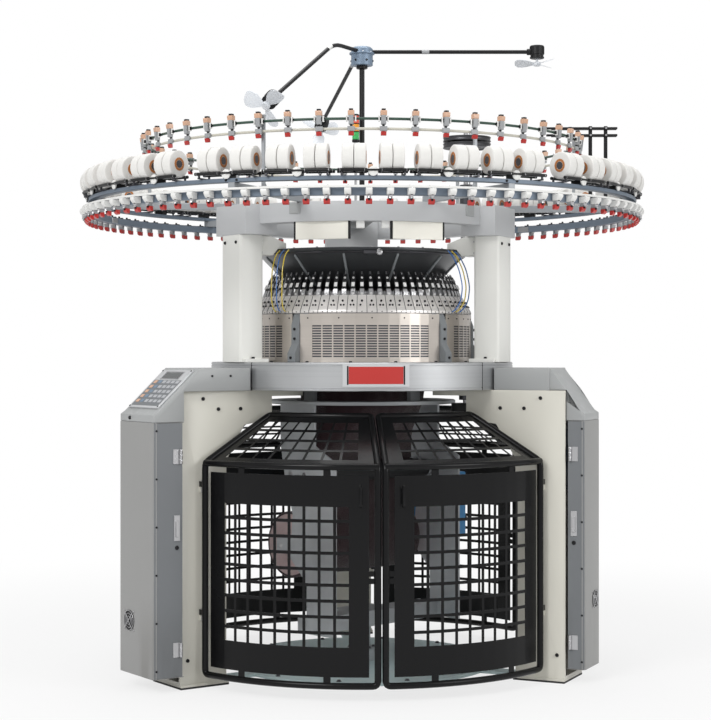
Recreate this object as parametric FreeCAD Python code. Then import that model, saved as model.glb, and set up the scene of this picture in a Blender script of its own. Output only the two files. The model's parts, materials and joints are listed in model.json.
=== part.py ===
import FreeCAD, Part
import math
import os

from FreeCAD import Vector

# A circular knitting machine on three legs, in millimetres.
# The origin is on the floor, on the machine's vertical axis. +Z is up and the front faces -Y.
# An azimuth is counted in degrees from the front, positive towards +X.
# Every piece is drawn at the front and then turned to its azimuth.

# ---- legs and base
LEG_AZIMUTH = {"left": -60, "right": 60, "rear": 180}
LEG_HALF_WIDTH = 115
LEG_OUTER_R = 1015
LEG_INNER_R = 790
LEG_ARM_R = 560
LEG_TONGUE_THICK = 26
LEG_WALL = 12
LEG_TOP_PLATE = 24
FOOT_THICK = 18
FOOT_LIP = 8
BED_BASE_Z = 1258
BASE_R = 600
BASE_THICK = 14
BASE_TIE_HALF_WIDTH = 40
PIVOT_R = 40
PIVOT_BOSS_R = 70
PIVOT_BOSS_TOP_Z = 70

# ---- bed, cylinder and gears
CYLINDER_R = 381
CYLINDER_WALL = 22
BED_R = 690
BED_BORE_R = CYLINDER_R + 74
BED_TOP_Z = 1379
BEARING_IN_R = CYLINDER_R - 29
BEARING_OUT_R = BEARING_IN_R + 78
BEARING_TOP_Z = 1288
RUN_GAP = 0.3
SHAFT_GAP = 0.05
GEAR_TEETH = 36
PINION_TEETH = 9
GEAR_PITCH_R = CYLINDER_R + 31
GEAR_THICK = 44
LEG_TONGUE_R = BEARING_OUT_R - 30
TOOTH_OUT = 9
TOOTH_IN = 12
CYLINDER_TOP_Z = 1690
CAM_BORE_R = CYLINDER_R + 19
CAM_LOW_R = CAM_BORE_R + 100
CAM_TOP_R = CAM_BORE_R + 60
CAM_LOW_Z = 1592
CAM_TOP_Z = 1672
GUIDE_COUNT = 72
GUIDE_TOP_Z = 1777
GUIDE_TOP_R = CYLINDER_R + 24
COVER_THICK = 4
COVER_FLAT_DEG = 14
BRACKET_AZIMUTHS = (-80, -40, 40, 80, 160, 200)
BRACKET_HALF_WIDTH = 20

# ---- columns, top plate and dish
COLUMN_R = 640
COLUMN_WIDTH = 160
COLUMN_DEPTH = 120
COLUMN_FOOT_THICK = 16
COLUMN_TOP_Z = 1935
ARM_IN_R = 440
ARM_HALF_WIDTH = 45
ARM_LOW_Z = 1880
BAND_LOW_Z = 1981
BAND_TOP_Z = 2065
BAND_IN_R = 560
LOBE_HALF_WIDTH = 125
LOBE_OUT_R = 700
SPIDER_HALF_WIDTH = 60
SPIDER_HUB_R = 120
SPIDER_LOW_Z = 2030
DISH_R = 480
DISH_FLANGE = 12
DISH_LOW_R = 205
DISH_LOW_Z = 1694
DISH_WALL = 15

TURN_SIDES = 12
INNER_SIDES = 16
CONE_SIDES = 36
HOLE_SIDES = 8
FAN_SIDES = 6
RING_SIDES = 48

# ---- creel rings
FEEDER_RAIL_HEIGHT = 30
FEEDER_COUNT = 96
FEEDER_WIDTH = 26
FEEDER_LOW_Z = 1998
ARM_AZIMUTHS = (-29.5, 23.6, 84, 145, 215, 276)
ARM_SECTION = 30
SPOOL_RING_R = 1225
FEEDER_RAIL_IN_R = SPOOL_RING_R - 17
FEEDER_RAIL_OUT_R = SPOOL_RING_R + 17
FEEDER_OUT_R = FEEDER_RAIL_OUT_R + 41
SPOOL_RAIL_HALF = 20
SPOOL_RAIL_HEIGHT = 16
SPOOL_R = 56
SPOOL_WIDTH = 46
SPOOL_GAP = 2
SPOOL_Z = 2183
SPOOL_SIDES = 8
SPOOL_PITCH = 6.85
SPOOL_SECTIONS = ((-3, 10), (69, 10), (141, 9), (213, 9), (285, 10))
ROLLER_SIZE = 14
ROLLER_REACH = SPOOL_RING_R * math.radians(SPOOL_PITCH) - 6.5
SPOOL_BOX_HALF = 27
GEARBOX_HALF = 18
SENSOR_R = SPOOL_RING_R - 240
SENSOR_COUNT = 48
SENSOR_RAIL_HALF = 6
SENSOR_LOW_Z = 2325
SENSOR_HIGH_Z = 2366
SENSOR_DEPTH = 28
SENSOR_WIDTH = 26


def direction(azimuth):
    """Level unit vector that points outwards at an azimuth."""
    angle = math.radians(azimuth)
    return Vector(math.sin(angle), -math.cos(angle), 0)


def at_azimuth(shape, azimuth):
    """A piece drawn at the front, turned to its azimuth."""
    copy = shape.copy()
    copy.rotate(Vector(0, 0, 0), Vector(0, 0, 1), azimuth)
    return copy


def block(x_low, x_high, r_low, r_high, z_low, z_high):
    """Box at the front, between two distances from the axis."""
    return Part.makeBox(x_high - x_low, r_high - r_low, z_high - z_low, Vector(x_low, -r_high, z_low))


def prism(sides, radius, z_low, z_high, turn=0.0, at=Vector(0, 0, 0)):
    """Upright prism whose flats lie at the radius from its own axis."""
    corner = radius / math.cos(math.pi / sides)
    angles = [math.radians(turn + 360.0 * (k + 0.5) / sides) for k in range(sides)]
    points = [Vector(at.x + corner * math.sin(a), at.y - corner * math.cos(a), z_low) for a in angles]
    face = Part.Face(Part.makePolygon(points + points[:1]))
    return face.extrude(Vector(0, 0, z_high - z_low))


def disc(radius, z_low, z_high, at=Vector(0, 0, 0), sides=TURN_SIDES):
    """Upright shaft or disc of many flats, with its corners on the radius."""
    return prism(sides, radius * math.cos(math.pi / sides), z_low, z_high, 180.0 / sides, at)


def bore(radius, z_low, z_high, at=Vector(0, 0, 0), sides=TURN_SIDES):
    """Hole of many flats that clears a shaft of the radius all the way round."""
    return prism(sides, radius + SHAFT_GAP, z_low, z_high, 180.0 / sides, at)


def rail(r_in, r_out, z_low, z_high, turn=0.0, sides=RING_SIDES):
    """Ring of straight lengths, one behind each pair of stations."""
    return prism(sides, r_out, z_low, z_high, turn).cut(prism(sides, r_in, z_low, z_high, turn))


def solid_of(faces):
    """Closed solid from flat faces."""
    solid = Part.Solid(Part.Shell(faces))
    if solid.Volume < 0:
        solid.reverse()
    return solid


def faceted_ring(profile, sides):
    """Ring of flats whose section runs through (distance, height) points and closes on itself."""
    loops = []
    for radius, z in profile:
        corner = radius / math.cos(math.pi / sides)
        azimuths = [360.0 * (k + 0.5) / sides for k in range(sides)]
        loops.append([direction(azimuth) * corner + Vector(0, 0, z) for azimuth in azimuths])
    faces = []
    for lower, upper in zip(loops, loops[1:] + loops[:1]):
        for k in range(sides):
            after = (k + 1) % sides
            corners = [lower[k], lower[after], upper[after], upper[k], lower[k]]
            faces.append(Part.Face(Part.makePolygon(corners)))
    return solid_of(faces)


def side_plate(points, x_low, x_high):
    """Side profile of (distance, height) points, extruded across the front."""
    corners = [Vector(x_low, -r, z) for r, z in points]
    face = Part.Face(Part.makePolygon(corners + corners[:1]))
    return face.extrude(Vector(x_high - x_low, 0, 0))


def folded_panel(r_in, r_out, z_low, z_high, azimuths):
    """Upright panel folded at each of the azimuths."""
    points = [direction(a) * r_out + Vector(0, 0, z_low) for a in azimuths]
    points += [direction(a) * r_in + Vector(0, 0, z_low) for a in reversed(azimuths)]
    return Part.Face(Part.makePolygon(points + points[:1])).extrude(Vector(0, 0, z_high - z_low))


def rod(start, end, radius, sides=TURN_SIDES):
    """Straight shaft between two points, with its corners on the radius."""
    run = end - start
    solid = disc(radius, 0, run.Length, Vector(0, 0, 0), sides)
    solid.Placement = FreeCAD.Placement(start, FreeCAD.Rotation(Vector(0, 0, 1), run))
    return solid


def rod_hole(start, end, radius, sides=TURN_SIDES):
    """Straight hole between two points that clears a shaft of the radius."""
    run = end - start
    solid = bore(radius, 0, run.Length, Vector(0, 0, 0), sides)
    solid.Placement = FreeCAD.Placement(start, FreeCAD.Rotation(Vector(0, 0, 1), run))
    return solid


def save(name, *solids):
    """Write one node, as one solid or as a group of them."""
    shape = solids[0] if len(solids) == 1 else Part.makeCompound(list(solids))
    os.makedirs("parts", exist_ok=True)
    shape.exportStep("parts/" + name + ".step")

# ---- cabinets and consoles
CABINETS = {"left": (150, LEG_OUTER_R + 145), "right": (100, LEG_OUTER_R + 85)}
CABINET_LOW_Z = 60
CABINET_TOP_Z = 1130
CABINET_WALL = 3
CONSOLE_TOP_Z = 1355
CONSOLE_FLAT_R = LEG_OUTER_R - 73
CONSOLE_NOSE_Z = 1172
CONSOLE_WALL = 10
PANEL_THICK = 8
COVER_GAP = 0.6

# ---- doors
DOOR_R = 930
DOOR_LOW_Z = 50
DOOR_KNEE_Z = 956
DOOR_TOP_R = 615
DOOR_TOP_Z = 1165
DOOR_TUBE = 28
DOOR_JOINT_GAP = 4
DOOR_SHEET = 3
LEAF_FLATS = 3
DOOR_SLOT = 22
HINGE_OFFSET = 133
HINGE_TUBE_OFFSET = 155
HINGE_HEIGHTS = (311, 853)
HINGE_PIN_R = 6
HINGE_BLOCK = 24
GRID_ROWS = 9
GRID_COLUMNS = 9
GRID_HOLE = 52
GRID_PITCH_Z = 65
GRID_PITCH_DEG = 3.95
GRID_LOW_Z = 221
ROOF_WINDOW_SHARE = 0.68
TAB_WIDTH = 30
HANDLE_OFFSET = 86
HANDLE_LOW_Z = 790
HANDLE_HIGH_Z = 880


def leg(name):
    """Hollow cast leg with its inward arm, foot and the hinge pins of its two door leaves."""
    w = LEG_HALF_WIDTH
    profile = [(LEG_INNER_R, FOOT_THICK), (LEG_OUTER_R, FOOT_THICK), (LEG_OUTER_R, BED_BASE_Z),
               (LEG_TONGUE_R, BED_BASE_Z), (LEG_TONGUE_R, BED_BASE_Z - LEG_TONGUE_THICK),
               (LEG_ARM_R, BED_BASE_Z - LEG_TONGUE_THICK), (LEG_ARM_R, 1130), (700, 1110), (LEG_INNER_R, 960)]
    body = side_plate(profile, -w, w)
    foot = block(-w - FOOT_LIP, w + FOOT_LIP, LEG_INNER_R - FOOT_LIP, LEG_OUTER_R, 0, FOOT_THICK)
    body = body.fuse(foot)
    if name != "rear":
        hollow = block(LEG_WALL - w, w - LEG_WALL, LEG_INNER_R + LEG_WALL, LEG_OUTER_R,
                       FOOT_THICK + LEG_WALL, BED_BASE_Z - LEG_TOP_PLATE)
        body = body.cut(hollow)
    if name == "right":
        body = body.cut(belt_tunnel())
        at = Vector(0, -(GEAR_PITCH_R + pinion_radius()), 0)
        body = body.cut(bore(SHAFT_R, BED_BASE_Z - LEG_TONGUE_THICK, BED_BASE_Z, at))
    for side in (-1, 1):
        for height in HINGE_HEIGHTS:
            body = body.fuse(hinge_lug(side, height))
    return at_azimuth(body.removeSplitter(), LEG_AZIMUTH[name])


def hinge_radius():
    """Distance of the hinge axes from the machine's axis, along the leg's centre plane."""
    return math.sqrt(DOOR_R ** 2 - HINGE_TUBE_OFFSET ** 2)


def hinge_lug(side, height):
    """Lug on a leg's side that stands under a door's hinge block, with its pin."""
    r = hinge_radius()
    past = HINGE_PIN_R - 1
    x = sorted((side * LEG_HALF_WIDTH, side * (HINGE_OFFSET + past)))
    lug = block(x[0], x[1], r - HINGE_BLOCK / 2, r + past, height - HINGE_BLOCK - RUN_GAP, height - RUN_GAP)
    pin = prism(6, HINGE_PIN_R * math.cos(math.pi / 6), height - RUN_GAP, height + HINGE_BLOCK, 0, Vector(side * HINGE_OFFSET, -r, 0))
    return lug.fuse(pin)


def belt_tunnel():
    """Way through the right leg for the drive belt."""
    half = DRIVEN_PULLEY_R + BELT_THICK + 12
    return block(-half, half, LEG_ARM_R - 1, LEG_INNER_R + LEG_WALL + 1, BELT_Z - 8, BELT_Z + BELT_WIDTH + 8)


def base_plate():
    """Round floor plate with the pivot boss of the take-down frame and a tie to each leg."""
    plate = disc(BASE_R, 0, BASE_THICK, Vector(0, 0, 0), CONE_SIDES)
    plate = plate.fuse(disc(PIVOT_BOSS_R, BASE_THICK, PIVOT_BOSS_TOP_Z))
    for azimuth in LEG_AZIMUTH.values():
        tie = block(-BASE_TIE_HALF_WIDTH, BASE_TIE_HALF_WIDTH, BASE_R - 20, LEG_INNER_R - FOOT_LIP, 0, BASE_THICK)
        plate = plate.fuse(at_azimuth(tie, azimuth))
    return plate.cut(bore(PIVOT_R, BASE_THICK, PIVOT_BOSS_TOP_Z + 1)).removeSplitter()


def console(name):
    """Folded cap over a leg's top, with the sloping head of its cabinet."""
    half, outer = CABINETS[name]
    half_cap = max(half, LEG_HALF_WIDTH)
    nose_r = outer - 19
    profile = [(BED_R, BED_BASE_Z), (LEG_OUTER_R, BED_BASE_Z), (LEG_OUTER_R, CABINET_TOP_Z),
               (outer, CABINET_TOP_Z), (outer, CONSOLE_NOSE_Z - 12), (nose_r, CONSOLE_NOSE_Z),
               (CONSOLE_FLAT_R, CONSOLE_TOP_Z), (BED_R, CONSOLE_TOP_Z)]
    shell = side_plate(profile, -half, half)
    if half_cap > half:
        flat = block(-half_cap, half_cap, BED_R, CONSOLE_FLAT_R, BED_BASE_Z, CONSOLE_TOP_Z)
        shell = shell.fuse(flat)
    shell = shell.cut(prism(RING_SIDES, BED_R, BED_BASE_Z, CONSOLE_TOP_Z))
    room = block(CONSOLE_WALL - half, half - CONSOLE_WALL, LEG_OUTER_R + CONSOLE_WALL, outer - CONSOLE_WALL,
                 CABINET_TOP_Z, CONSOLE_NOSE_Z - 14)
    return at_azimuth(shell.cut(room).removeSplitter(), LEG_AZIMUTH[name])


def rear_cap():
    """Folded cap over the rear leg's top."""
    cap = block(-LEG_HALF_WIDTH, LEG_HALF_WIDTH, BED_R - 30, LEG_OUTER_R, BED_BASE_Z, CONSOLE_TOP_Z)
    return at_azimuth(cap.cut(prism(RING_SIDES, BED_R, BED_BASE_Z, CONSOLE_TOP_Z)), LEG_AZIMUTH["rear"])


def operator_panel():
    """Bezel with its display window, on the left console's slope."""
    half, outer = CABINETS["left"]
    rise = CONSOLE_TOP_Z - CONSOLE_NOSE_Z
    run = outer - 19 - CONSOLE_FLAT_R
    length = math.hypot(rise, run)
    plate = Part.makeBox(2 * half - 40, length - 40, PANEL_THICK, Vector(20 - half, 20, 0))
    window = Part.makeBox(150, 40, PANEL_THICK, Vector(-75, 35, PANEL_THICK / 2))
    plate = plate.cut(window)
    plate.rotate(Vector(0, 0, 0), Vector(0, 0, 1), 180)
    plate.rotate(Vector(0, 0, 0), Vector(1, 0, 0), math.degrees(math.atan2(rise, run)))
    plate.translate(Vector(0, -CONSOLE_FLAT_R, CONSOLE_TOP_Z))
    return at_azimuth(plate, LEG_AZIMUTH["left"])


def cabinet(name, open_side):
    """Sheet cabinet on a leg's outer face, open towards the leg and on the side of its cover."""
    half, outer = CABINETS[name]
    wall = CABINET_WALL
    shell = block(-half, half, LEG_OUTER_R, outer, CABINET_LOW_Z, CABINET_TOP_Z)
    far = [e for e in shell.Edges if abs(e.CenterOfMass.y + outer) < 1]
    shell = shell.makeChamfer(12, [e for e in far if abs(e.CenterOfMass.x + open_side * half) < 1])
    x = (wall - half, half + 1) if open_side > 0 else (-half - 1, half - wall)
    room = block(x[0], x[1], LEG_OUTER_R - 1, outer - wall, CABINET_LOW_Z + wall, CABINET_TOP_Z - wall)
    return at_azimuth(shell.cut(room), LEG_AZIMUTH[name])


def cabinet_cover(name, open_side):
    """Hinged side cover of a cabinet, with its knuckles at the leg."""
    half, outer = CABINETS[name]
    low = CABINET_LOW_Z + CABINET_WALL + COVER_GAP
    high = CABINET_TOP_Z - CABINET_WALL - COVER_GAP
    edge = half - 1
    x = sorted((open_side * (edge - CABINET_WALL), open_side * edge))
    sheet = block(x[0], x[1], LEG_OUTER_R + 8, outer - CABINET_WALL - COVER_GAP, low, high)
    for height in (177, 986):
        x = sorted((open_side * edge, open_side * (edge + 12)))
        sheet = sheet.fuse(block(x[0], x[1], LEG_OUTER_R + 8, LEG_OUTER_R + 30, height - 30, height + 30))
    return at_azimuth(sheet.removeSplitter(), LEG_AZIMUTH[name])


def door_azimuth(radius, side, offset):
    """Azimuth, from the middle of an opening, of a point beside the joint or the leg."""
    if side == "joint":
        return math.degrees(math.asin(offset / radius))
    return 60 - math.degrees(math.asin(offset / radius))


def stile(offset):
    """Upright of a leaf with its sloping top stretch, at a distance beside a centre plane."""
    half = DOOR_TUBE / 2
    low_r = math.sqrt(DOOR_R ** 2 - offset ** 2)
    top_r = math.sqrt(DOOR_TOP_R ** 2 - offset ** 2)
    profile = [(low_r - half, DOOR_LOW_Z), (low_r + half, DOOR_LOW_Z), (low_r + half, DOOR_KNEE_Z + half / 2),
               (top_r + half, DOOR_TOP_Z), (top_r - half, DOOR_TOP_Z), (top_r - half, DOOR_TOP_Z - half),
               (low_r - half, DOOR_KNEE_Z - half / 2)]
    return side_plate(profile, offset - half, offset + half)


def leaf_folds():
    """Azimuths where a leaf is folded, from the joint to the leg, between columns of its grid."""
    first = door_azimuth(DOOR_R, "joint", DOOR_JOINT_GAP / 2 + DOOR_TUBE / 2)
    last = door_azimuth(DOOR_R, "leg", HINGE_TUBE_OFFSET)
    step = GRID_PITCH_DEG * GRID_COLUMNS / LEAF_FLATS
    start = (first + last - step * LEAF_FLATS) / 2
    return [first] + [start + k * step for k in range(LEAF_FLATS + 1)] + [last]


def hoop(radius, z_low, z_high):
    """Folded rail of a leaf between its two stiles."""
    half = DOOR_TUBE / 2
    folds = leaf_folds()
    folds[0] = door_azimuth(radius, "joint", DOOR_JOINT_GAP / 2 + half)
    folds[-1] = door_azimuth(radius, "leg", HINGE_TUBE_OFFSET)
    return folded_panel(radius - half, radius + half, z_low, z_high, folds)


def leaf_zone(margin):
    """Wedge between the joint and the leg, inset from both, that trims a leaf's sheets."""
    joint_x = DOOR_JOINT_GAP / 2 + DOOR_TUBE + margin
    slab = block(joint_x, 1200, 0, 1200, 0, 1400)
    leg_side = HINGE_TUBE_OFFSET + DOOR_TUBE / 2 + margin
    other = at_azimuth(block(-1500, -leg_side, 0, 1600, 0, 1400), LEG_AZIMUTH["right"])
    return slab.common(other)


def lower_sheet(detailed):
    """Folded lower sheet with its grid of square holes, or one window where the grid is plain."""
    r_in = DOOR_R - DOOR_SHEET / 2
    low = DOOR_LOW_Z + DOOR_TUBE + DOOR_SLOT
    high = DOOR_KNEE_Z - DOOR_TUBE / 2 - DOOR_SLOT
    folds = leaf_folds()
    sheet = folded_panel(r_in, r_in + DOOR_SHEET, low, high, folds).common(leaf_zone(DOOR_SLOT))
    if not detailed:
        top = GRID_LOW_Z + GRID_PITCH_Z * GRID_ROWS
        return sheet.cut(folded_panel(DOOR_R * 0.8, DOOR_R * 1.2, GRID_LOW_Z, top, [folds[1], folds[-2]]))
    holes = []
    for column in range(GRID_COLUMNS):
        azimuth = folds[1] + (column + 0.5) * GRID_PITCH_DEG
        for row in range(GRID_ROWS):
            z = GRID_LOW_Z + row * GRID_PITCH_Z
            hole = block(-GRID_HOLE / 2, GRID_HOLE / 2, DOOR_R - 20, DOOR_R + 20, z, z + GRID_HOLE)
            holes.append(at_azimuth(hole, azimuth))
    return sheet.cut(Part.makeCompound(holes))


def roof_sheet():
    """Sloping upper sheet of a leaf, with its window."""
    rise = DOOR_TOP_Z - DOOR_TUBE / 2 - DOOR_KNEE_Z
    run = DOOR_R - DOOR_TOP_R
    thick = DOOR_SHEET * math.hypot(rise, run) / run
    low = Vector(0, 0, DOOR_KNEE_Z - thick / 2)
    high = Vector(0, 0, DOOR_KNEE_Z + rise - thick / 2)
    panels = []
    folds = leaf_folds()
    for near, far in zip(folds, folds[1:]):
        near, far = direction(near), direction(far)
        corners = [near * DOOR_R + low, far * DOOR_R + low, far * DOOR_TOP_R + high, near * DOOR_TOP_R + high]
        panels.append(Part.Face(Part.makePolygon(corners + corners[:1])).extrude(Vector(0, 0, thick)))
    sheet = panels[0].fuse(panels[1:]).common(leaf_zone(0))
    middle = DOOR_R - run / 2
    reach = run * ROOF_WINDOW_SHARE / 2
    inset = (folds[-1] - folds[0]) * (1 - ROOF_WINDOW_SHARE) / 2
    sides = [folds[0] + inset, folds[-1] - inset]
    return sheet.cut(folded_panel(middle - reach, middle + reach, DOOR_KNEE_Z, DOOR_TOP_Z + 50, sides))


def sheet_tabs(detailed):
    """Tabs that carry the lower sheet in its frame."""
    low = DOOR_LOW_Z + DOOR_TUBE
    high = DOOR_KNEE_Z - DOOR_TUBE / 2
    half = TAB_WIDTH / 2
    folds = leaf_folds()
    tabs = []
    for first, last in ((folds[1], folds[2]), (folds[-3], folds[-2])):
        r = (DOOR_R - DOOR_SHEET / 2) * math.cos(math.radians(last - first) / 2)
        for z_low, z_high in ((low - 1, low + DOOR_SLOT + 2), (high - DOOR_SLOT - 2, high + 1)):
            tabs.append(at_azimuth(block(-half, half, r, r + DOOR_SHEET, z_low, z_high), (first + last) / 2))
    if not detailed:
        return tabs
    joint_x = DOOR_JOINT_GAP / 2 + DOOR_TUBE
    leg_x = HINGE_TUBE_OFFSET + DOOR_TUBE / 2
    z = (low + high - TAB_WIDTH) / 2
    tabs.append(block(joint_x - 1, joint_x + DOOR_SLOT + 3, DOOR_R - 5, DOOR_R - 1, z, z + TAB_WIDTH))
    side_r = math.sqrt(DOOR_R ** 2 - leg_x ** 2) - 2 * DOOR_SHEET
    tab = block(-leg_x - DOOR_SLOT - 3, 1 - leg_x, side_r, side_r + DOOR_SHEET + 1, z, z + TAB_WIDTH)
    tabs.append(at_azimuth(tab, LEG_AZIMUTH["right"]))
    return tabs


def hinge_blocks():
    """Blocks of a leaf that turn on the leg's pins."""
    half = HINGE_BLOCK / 2
    r = hinge_radius()
    blocks = []
    for height in HINGE_HEIGHTS:
        x_in = HINGE_OFFSET - HINGE_PIN_R - 4
        solid = block(-HINGE_TUBE_OFFSET, -x_in, r - half, r + half, height, height + HINGE_BLOCK)
        hole = prism(HOLE_SIDES, HINGE_PIN_R + SHAFT_GAP, height, height + HINGE_BLOCK, 0,
                     Vector(-HINGE_OFFSET, -r, 0))
        blocks.append((at_azimuth(solid, LEG_AZIMUTH["right"]), at_azimuth(hole, LEG_AZIMUTH["right"])))
    return blocks


def handle():
    """Bar handle of a leaf, on two feet."""
    folds = leaf_folds()
    foot_r = DOOR_R * math.cos(math.radians(folds[1] - folds[0]) / 2) - DOOR_SHEET / 2
    bar = block(-6, 6, DOOR_R + 20, DOOR_R + 30, HANDLE_LOW_Z, HANDLE_HIGH_Z)
    for z in (HANDLE_LOW_Z, HANDLE_HIGH_Z - 10):
        bar = bar.fuse(block(-6, 6, foot_r, DOOR_R + 20, z, z + 10))
    return at_azimuth(bar, math.degrees(HANDLE_OFFSET / DOOR_R))


def leaf(detailed):
    """Right leaf of an opening: tube frame, sheets with tabs, hinge blocks and handle."""
    half = DOOR_TUBE / 2
    frame = stile(DOOR_JOINT_GAP / 2 + half)
    mirrored = stile(HINGE_TUBE_OFFSET).mirror(Vector(0, 0, 0), Vector(1, 0, 0))
    frame = frame.fuse(at_azimuth(mirrored, LEG_AZIMUTH["right"]))
    frame = frame.fuse([hoop(DOOR_R, DOOR_LOW_Z, DOOR_LOW_Z + DOOR_TUBE),
                        hoop(DOOR_R, DOOR_KNEE_Z - half, DOOR_KNEE_Z + half),
                        hoop(DOOR_TOP_R, DOOR_TOP_Z - half, DOOR_TOP_Z)])
    sheet = lower_sheet(detailed).fuse(sheet_tabs(detailed))
    frame = frame.fuse([sheet, roof_sheet(), handle()])
    for solid, hole in hinge_blocks():
        frame = frame.fuse(solid).cut(hole)
    return frame.removeSplitter()

# ---- drive
SHAFT_R = 15
DRIVEN_PULLEY_R = 60
MOTOR_PULLEY_R = 40
BELT_Z = 1160
BELT_WIDTH = 36
BELT_THICK = 5
BELT_FLATS = 6
MOTOR_AT_R = LEG_OUTER_R - 85
MOTOR_R = 88
MOTOR_LOW_Z = 820
MOTOR_HIGH_Z = 1100

# ---- take-down frame, drawn along X and then turned
TAKEDOWN_TURN = 220
HANGER_R = BEARING_IN_R - 27
YOKE_IN_R = HANGER_R - 25
YOKE_OUT_R = HANGER_R + 100
YOKE_THICK = 16
YOKE_SIDES = 16
PLATE_X = YOKE_OUT_R - 31
PLATE_THICK = 12
PLATE_TOP_Z = 1190
ROLL_R = 150
ROLL_HALF = PLATE_X - 44
ROLL_Y = 110
ROLL_Z = 557
ROLLER_R = 40
ROLLER_Z = 880
JOURNAL_R = 12
WEB_THICK = 6
GEARBOX_DEPTH = 110
GEARBOX_LOW_Z = 560
GEARBOX_HIGH_Z = 860
BEAM_LOW_Z = 180
BEAM_HIGH_Z = 250
CLOTH_TOP_R = CYLINDER_R - CYLINDER_WALL - 7
CLOTH_LEVELS = ((1683, 0, 0.0), (1400, 30, 0.0), (1290, 62, 0.0), (1190, 70, 0.06), (1100, 76, 0.28),
                (1010, 76, 0.64), (928, 76, 0.985))
CLOTH_WAVE_SHARE = 0.018
CLOTH_HALF_WIDTH = PLATE_X - 64
WEB_HALF_WIDTH = CLOTH_HALF_WIDTH - 8
CLOTH_WAVES = 9
ROLL_SIDES = 24


def gear(teeth, pitch_r, z_low, z_high, bore_r, fill):
    """Spur gear with straight-sided teeth that fill a share of each pitch."""
    step = 2 * math.pi / teeth
    outer = pitch_r + TOOTH_OUT
    root = pitch_r - TOOTH_IN
    points = []
    for k in range(teeth):
        for radius, share in ((root, -fill * 0.62), (outer, -fill * 0.3), (outer, fill * 0.3), (root, fill * 0.62)):
            angle = (k + share) * step
            points.append(Vector(radius * math.sin(angle), -radius * math.cos(angle), z_low))
    face = Part.Face(Part.makePolygon(points + points[:1]))
    solid = face.extrude(Vector(0, 0, z_high - z_low))
    if bore_r:
        solid = solid.cut(prism(INNER_SIDES, bore_r, z_low, z_high))
    return solid


def pinion_radius():
    """Pitch radius of the pinion that meshes with the cylinder's gear."""
    return GEAR_PITCH_R * PINION_TEETH / GEAR_TEETH


def drive_point():
    """Place of the drive shaft, under the bed beside the right leg."""
    return direction(LEG_AZIMUTH["right"]) * (GEAR_PITCH_R + pinion_radius())


def motor_point():
    """Place of the motor, inside the right leg."""
    return direction(LEG_AZIMUTH["right"]) * MOTOR_AT_R


def gear_z():
    """Underside of the cylinder's gear, on its bearing."""
    return BEARING_TOP_Z + RUN_GAP


def drive_shaft():
    """Upright shaft with the pinion at its top and the belt pulley below the bed."""
    pinion = gear(PINION_TEETH, pinion_radius(), gear_z(), gear_z() + GEAR_THICK, 0, 0.42)
    pinion.rotate(Vector(0, 0, 0), Vector(0, 0, 1), LEG_AZIMUTH["right"] + 180 + 180.0 / PINION_TEETH)
    pinion.translate(drive_point())
    top = gear_z() + GEAR_THICK + 8
    shaft = disc(SHAFT_R, BELT_Z - 12, top, drive_point())
    pulley = disc(DRIVEN_PULLEY_R, BELT_Z, BELT_Z + BELT_WIDTH, drive_point())
    return pinion.fuse([shaft, pulley]).removeSplitter()


def shaft_bearing():
    """Bearing housing of the drive shaft under the bed, with its arm."""
    at = drive_point()
    house = disc(SHAFT_R + 18, BED_BASE_Z - LEG_TONGUE_THICK - 22, BED_BASE_Z - LEG_TONGUE_THICK, at)
    return house.cut(bore(SHAFT_R, BED_BASE_Z - 80, BED_BASE_Z, at))


def bed_ring():
    """Round bed with the gear's pocket and the pinion's recess."""
    body = rail(BED_BORE_R, BED_R, BED_BASE_Z, BED_TOP_Z)
    recess = disc(pinion_radius() + TOOTH_OUT + 10, BED_BASE_Z, BED_TOP_Z - 20, drive_point())
    return body.cut(recess)


def bearing_ring():
    """Lower bearing ring that carries the cylinder's gear."""
    return rail(BEARING_IN_R, BEARING_OUT_R, BED_BASE_Z, BEARING_TOP_Z, 0, INNER_SIDES)


def drive_motor():
    """Flanged motor inside the right leg."""
    at = motor_point()
    body = disc(MOTOR_R, MOTOR_LOW_Z, MOTOR_HIGH_Z, at)
    reach = LEG_HALF_WIDTH - LEG_WALL
    mount = block(-reach, reach, MOTOR_AT_R - 80, MOTOR_AT_R + 60, MOTOR_HIGH_Z, MOTOR_HIGH_Z + 14)
    body = body.fuse(at_azimuth(mount, LEG_AZIMUTH["right"]))
    return body.cut(bore(SHAFT_R, MOTOR_HIGH_Z - 60, MOTOR_HIGH_Z + 20, at))


def motor_pulley():
    """Motor shaft with its belt pulley."""
    at = motor_point()
    shaft = disc(SHAFT_R, MOTOR_HIGH_Z - 59, BELT_Z + BELT_WIDTH + 6, at)
    return shaft.fuse(disc(MOTOR_PULLEY_R, BELT_Z, BELT_Z + BELT_WIDTH, at)).removeSplitter()


def belt_arc(centre, radius, first, last):
    """Corners of the belt round a pulley, with flats that clear the radius."""
    step = (last - first) / BELT_FLATS
    points = [centre + direction(first) * radius]
    for k in range(BELT_FLATS):
        corner = radius / math.cos(math.radians(step / 2))
        points.append(centre + direction(first + (k + 0.5) * step) * corner)
    return points + [centre + direction(last) * radius]


def belt_loop(extra):
    """Outline of the belt round both pulleys, grown by a distance."""
    near = GEAR_PITCH_R + pinion_radius()
    small = MOTOR_PULLEY_R + RUN_GAP + extra
    large = DRIVEN_PULLEY_R + RUN_GAP + extra
    side = 90 + math.degrees(math.asin((large - small) / (MOTOR_AT_R - near)))
    points = belt_arc(Vector(0, -MOTOR_AT_R, BELT_Z), small, -side, side)
    points += belt_arc(Vector(0, -near, BELT_Z), large, side, 360 - side)
    return Part.Face(Part.makePolygon(points + points[:1])).extrude(Vector(0, 0, BELT_WIDTH))


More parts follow.
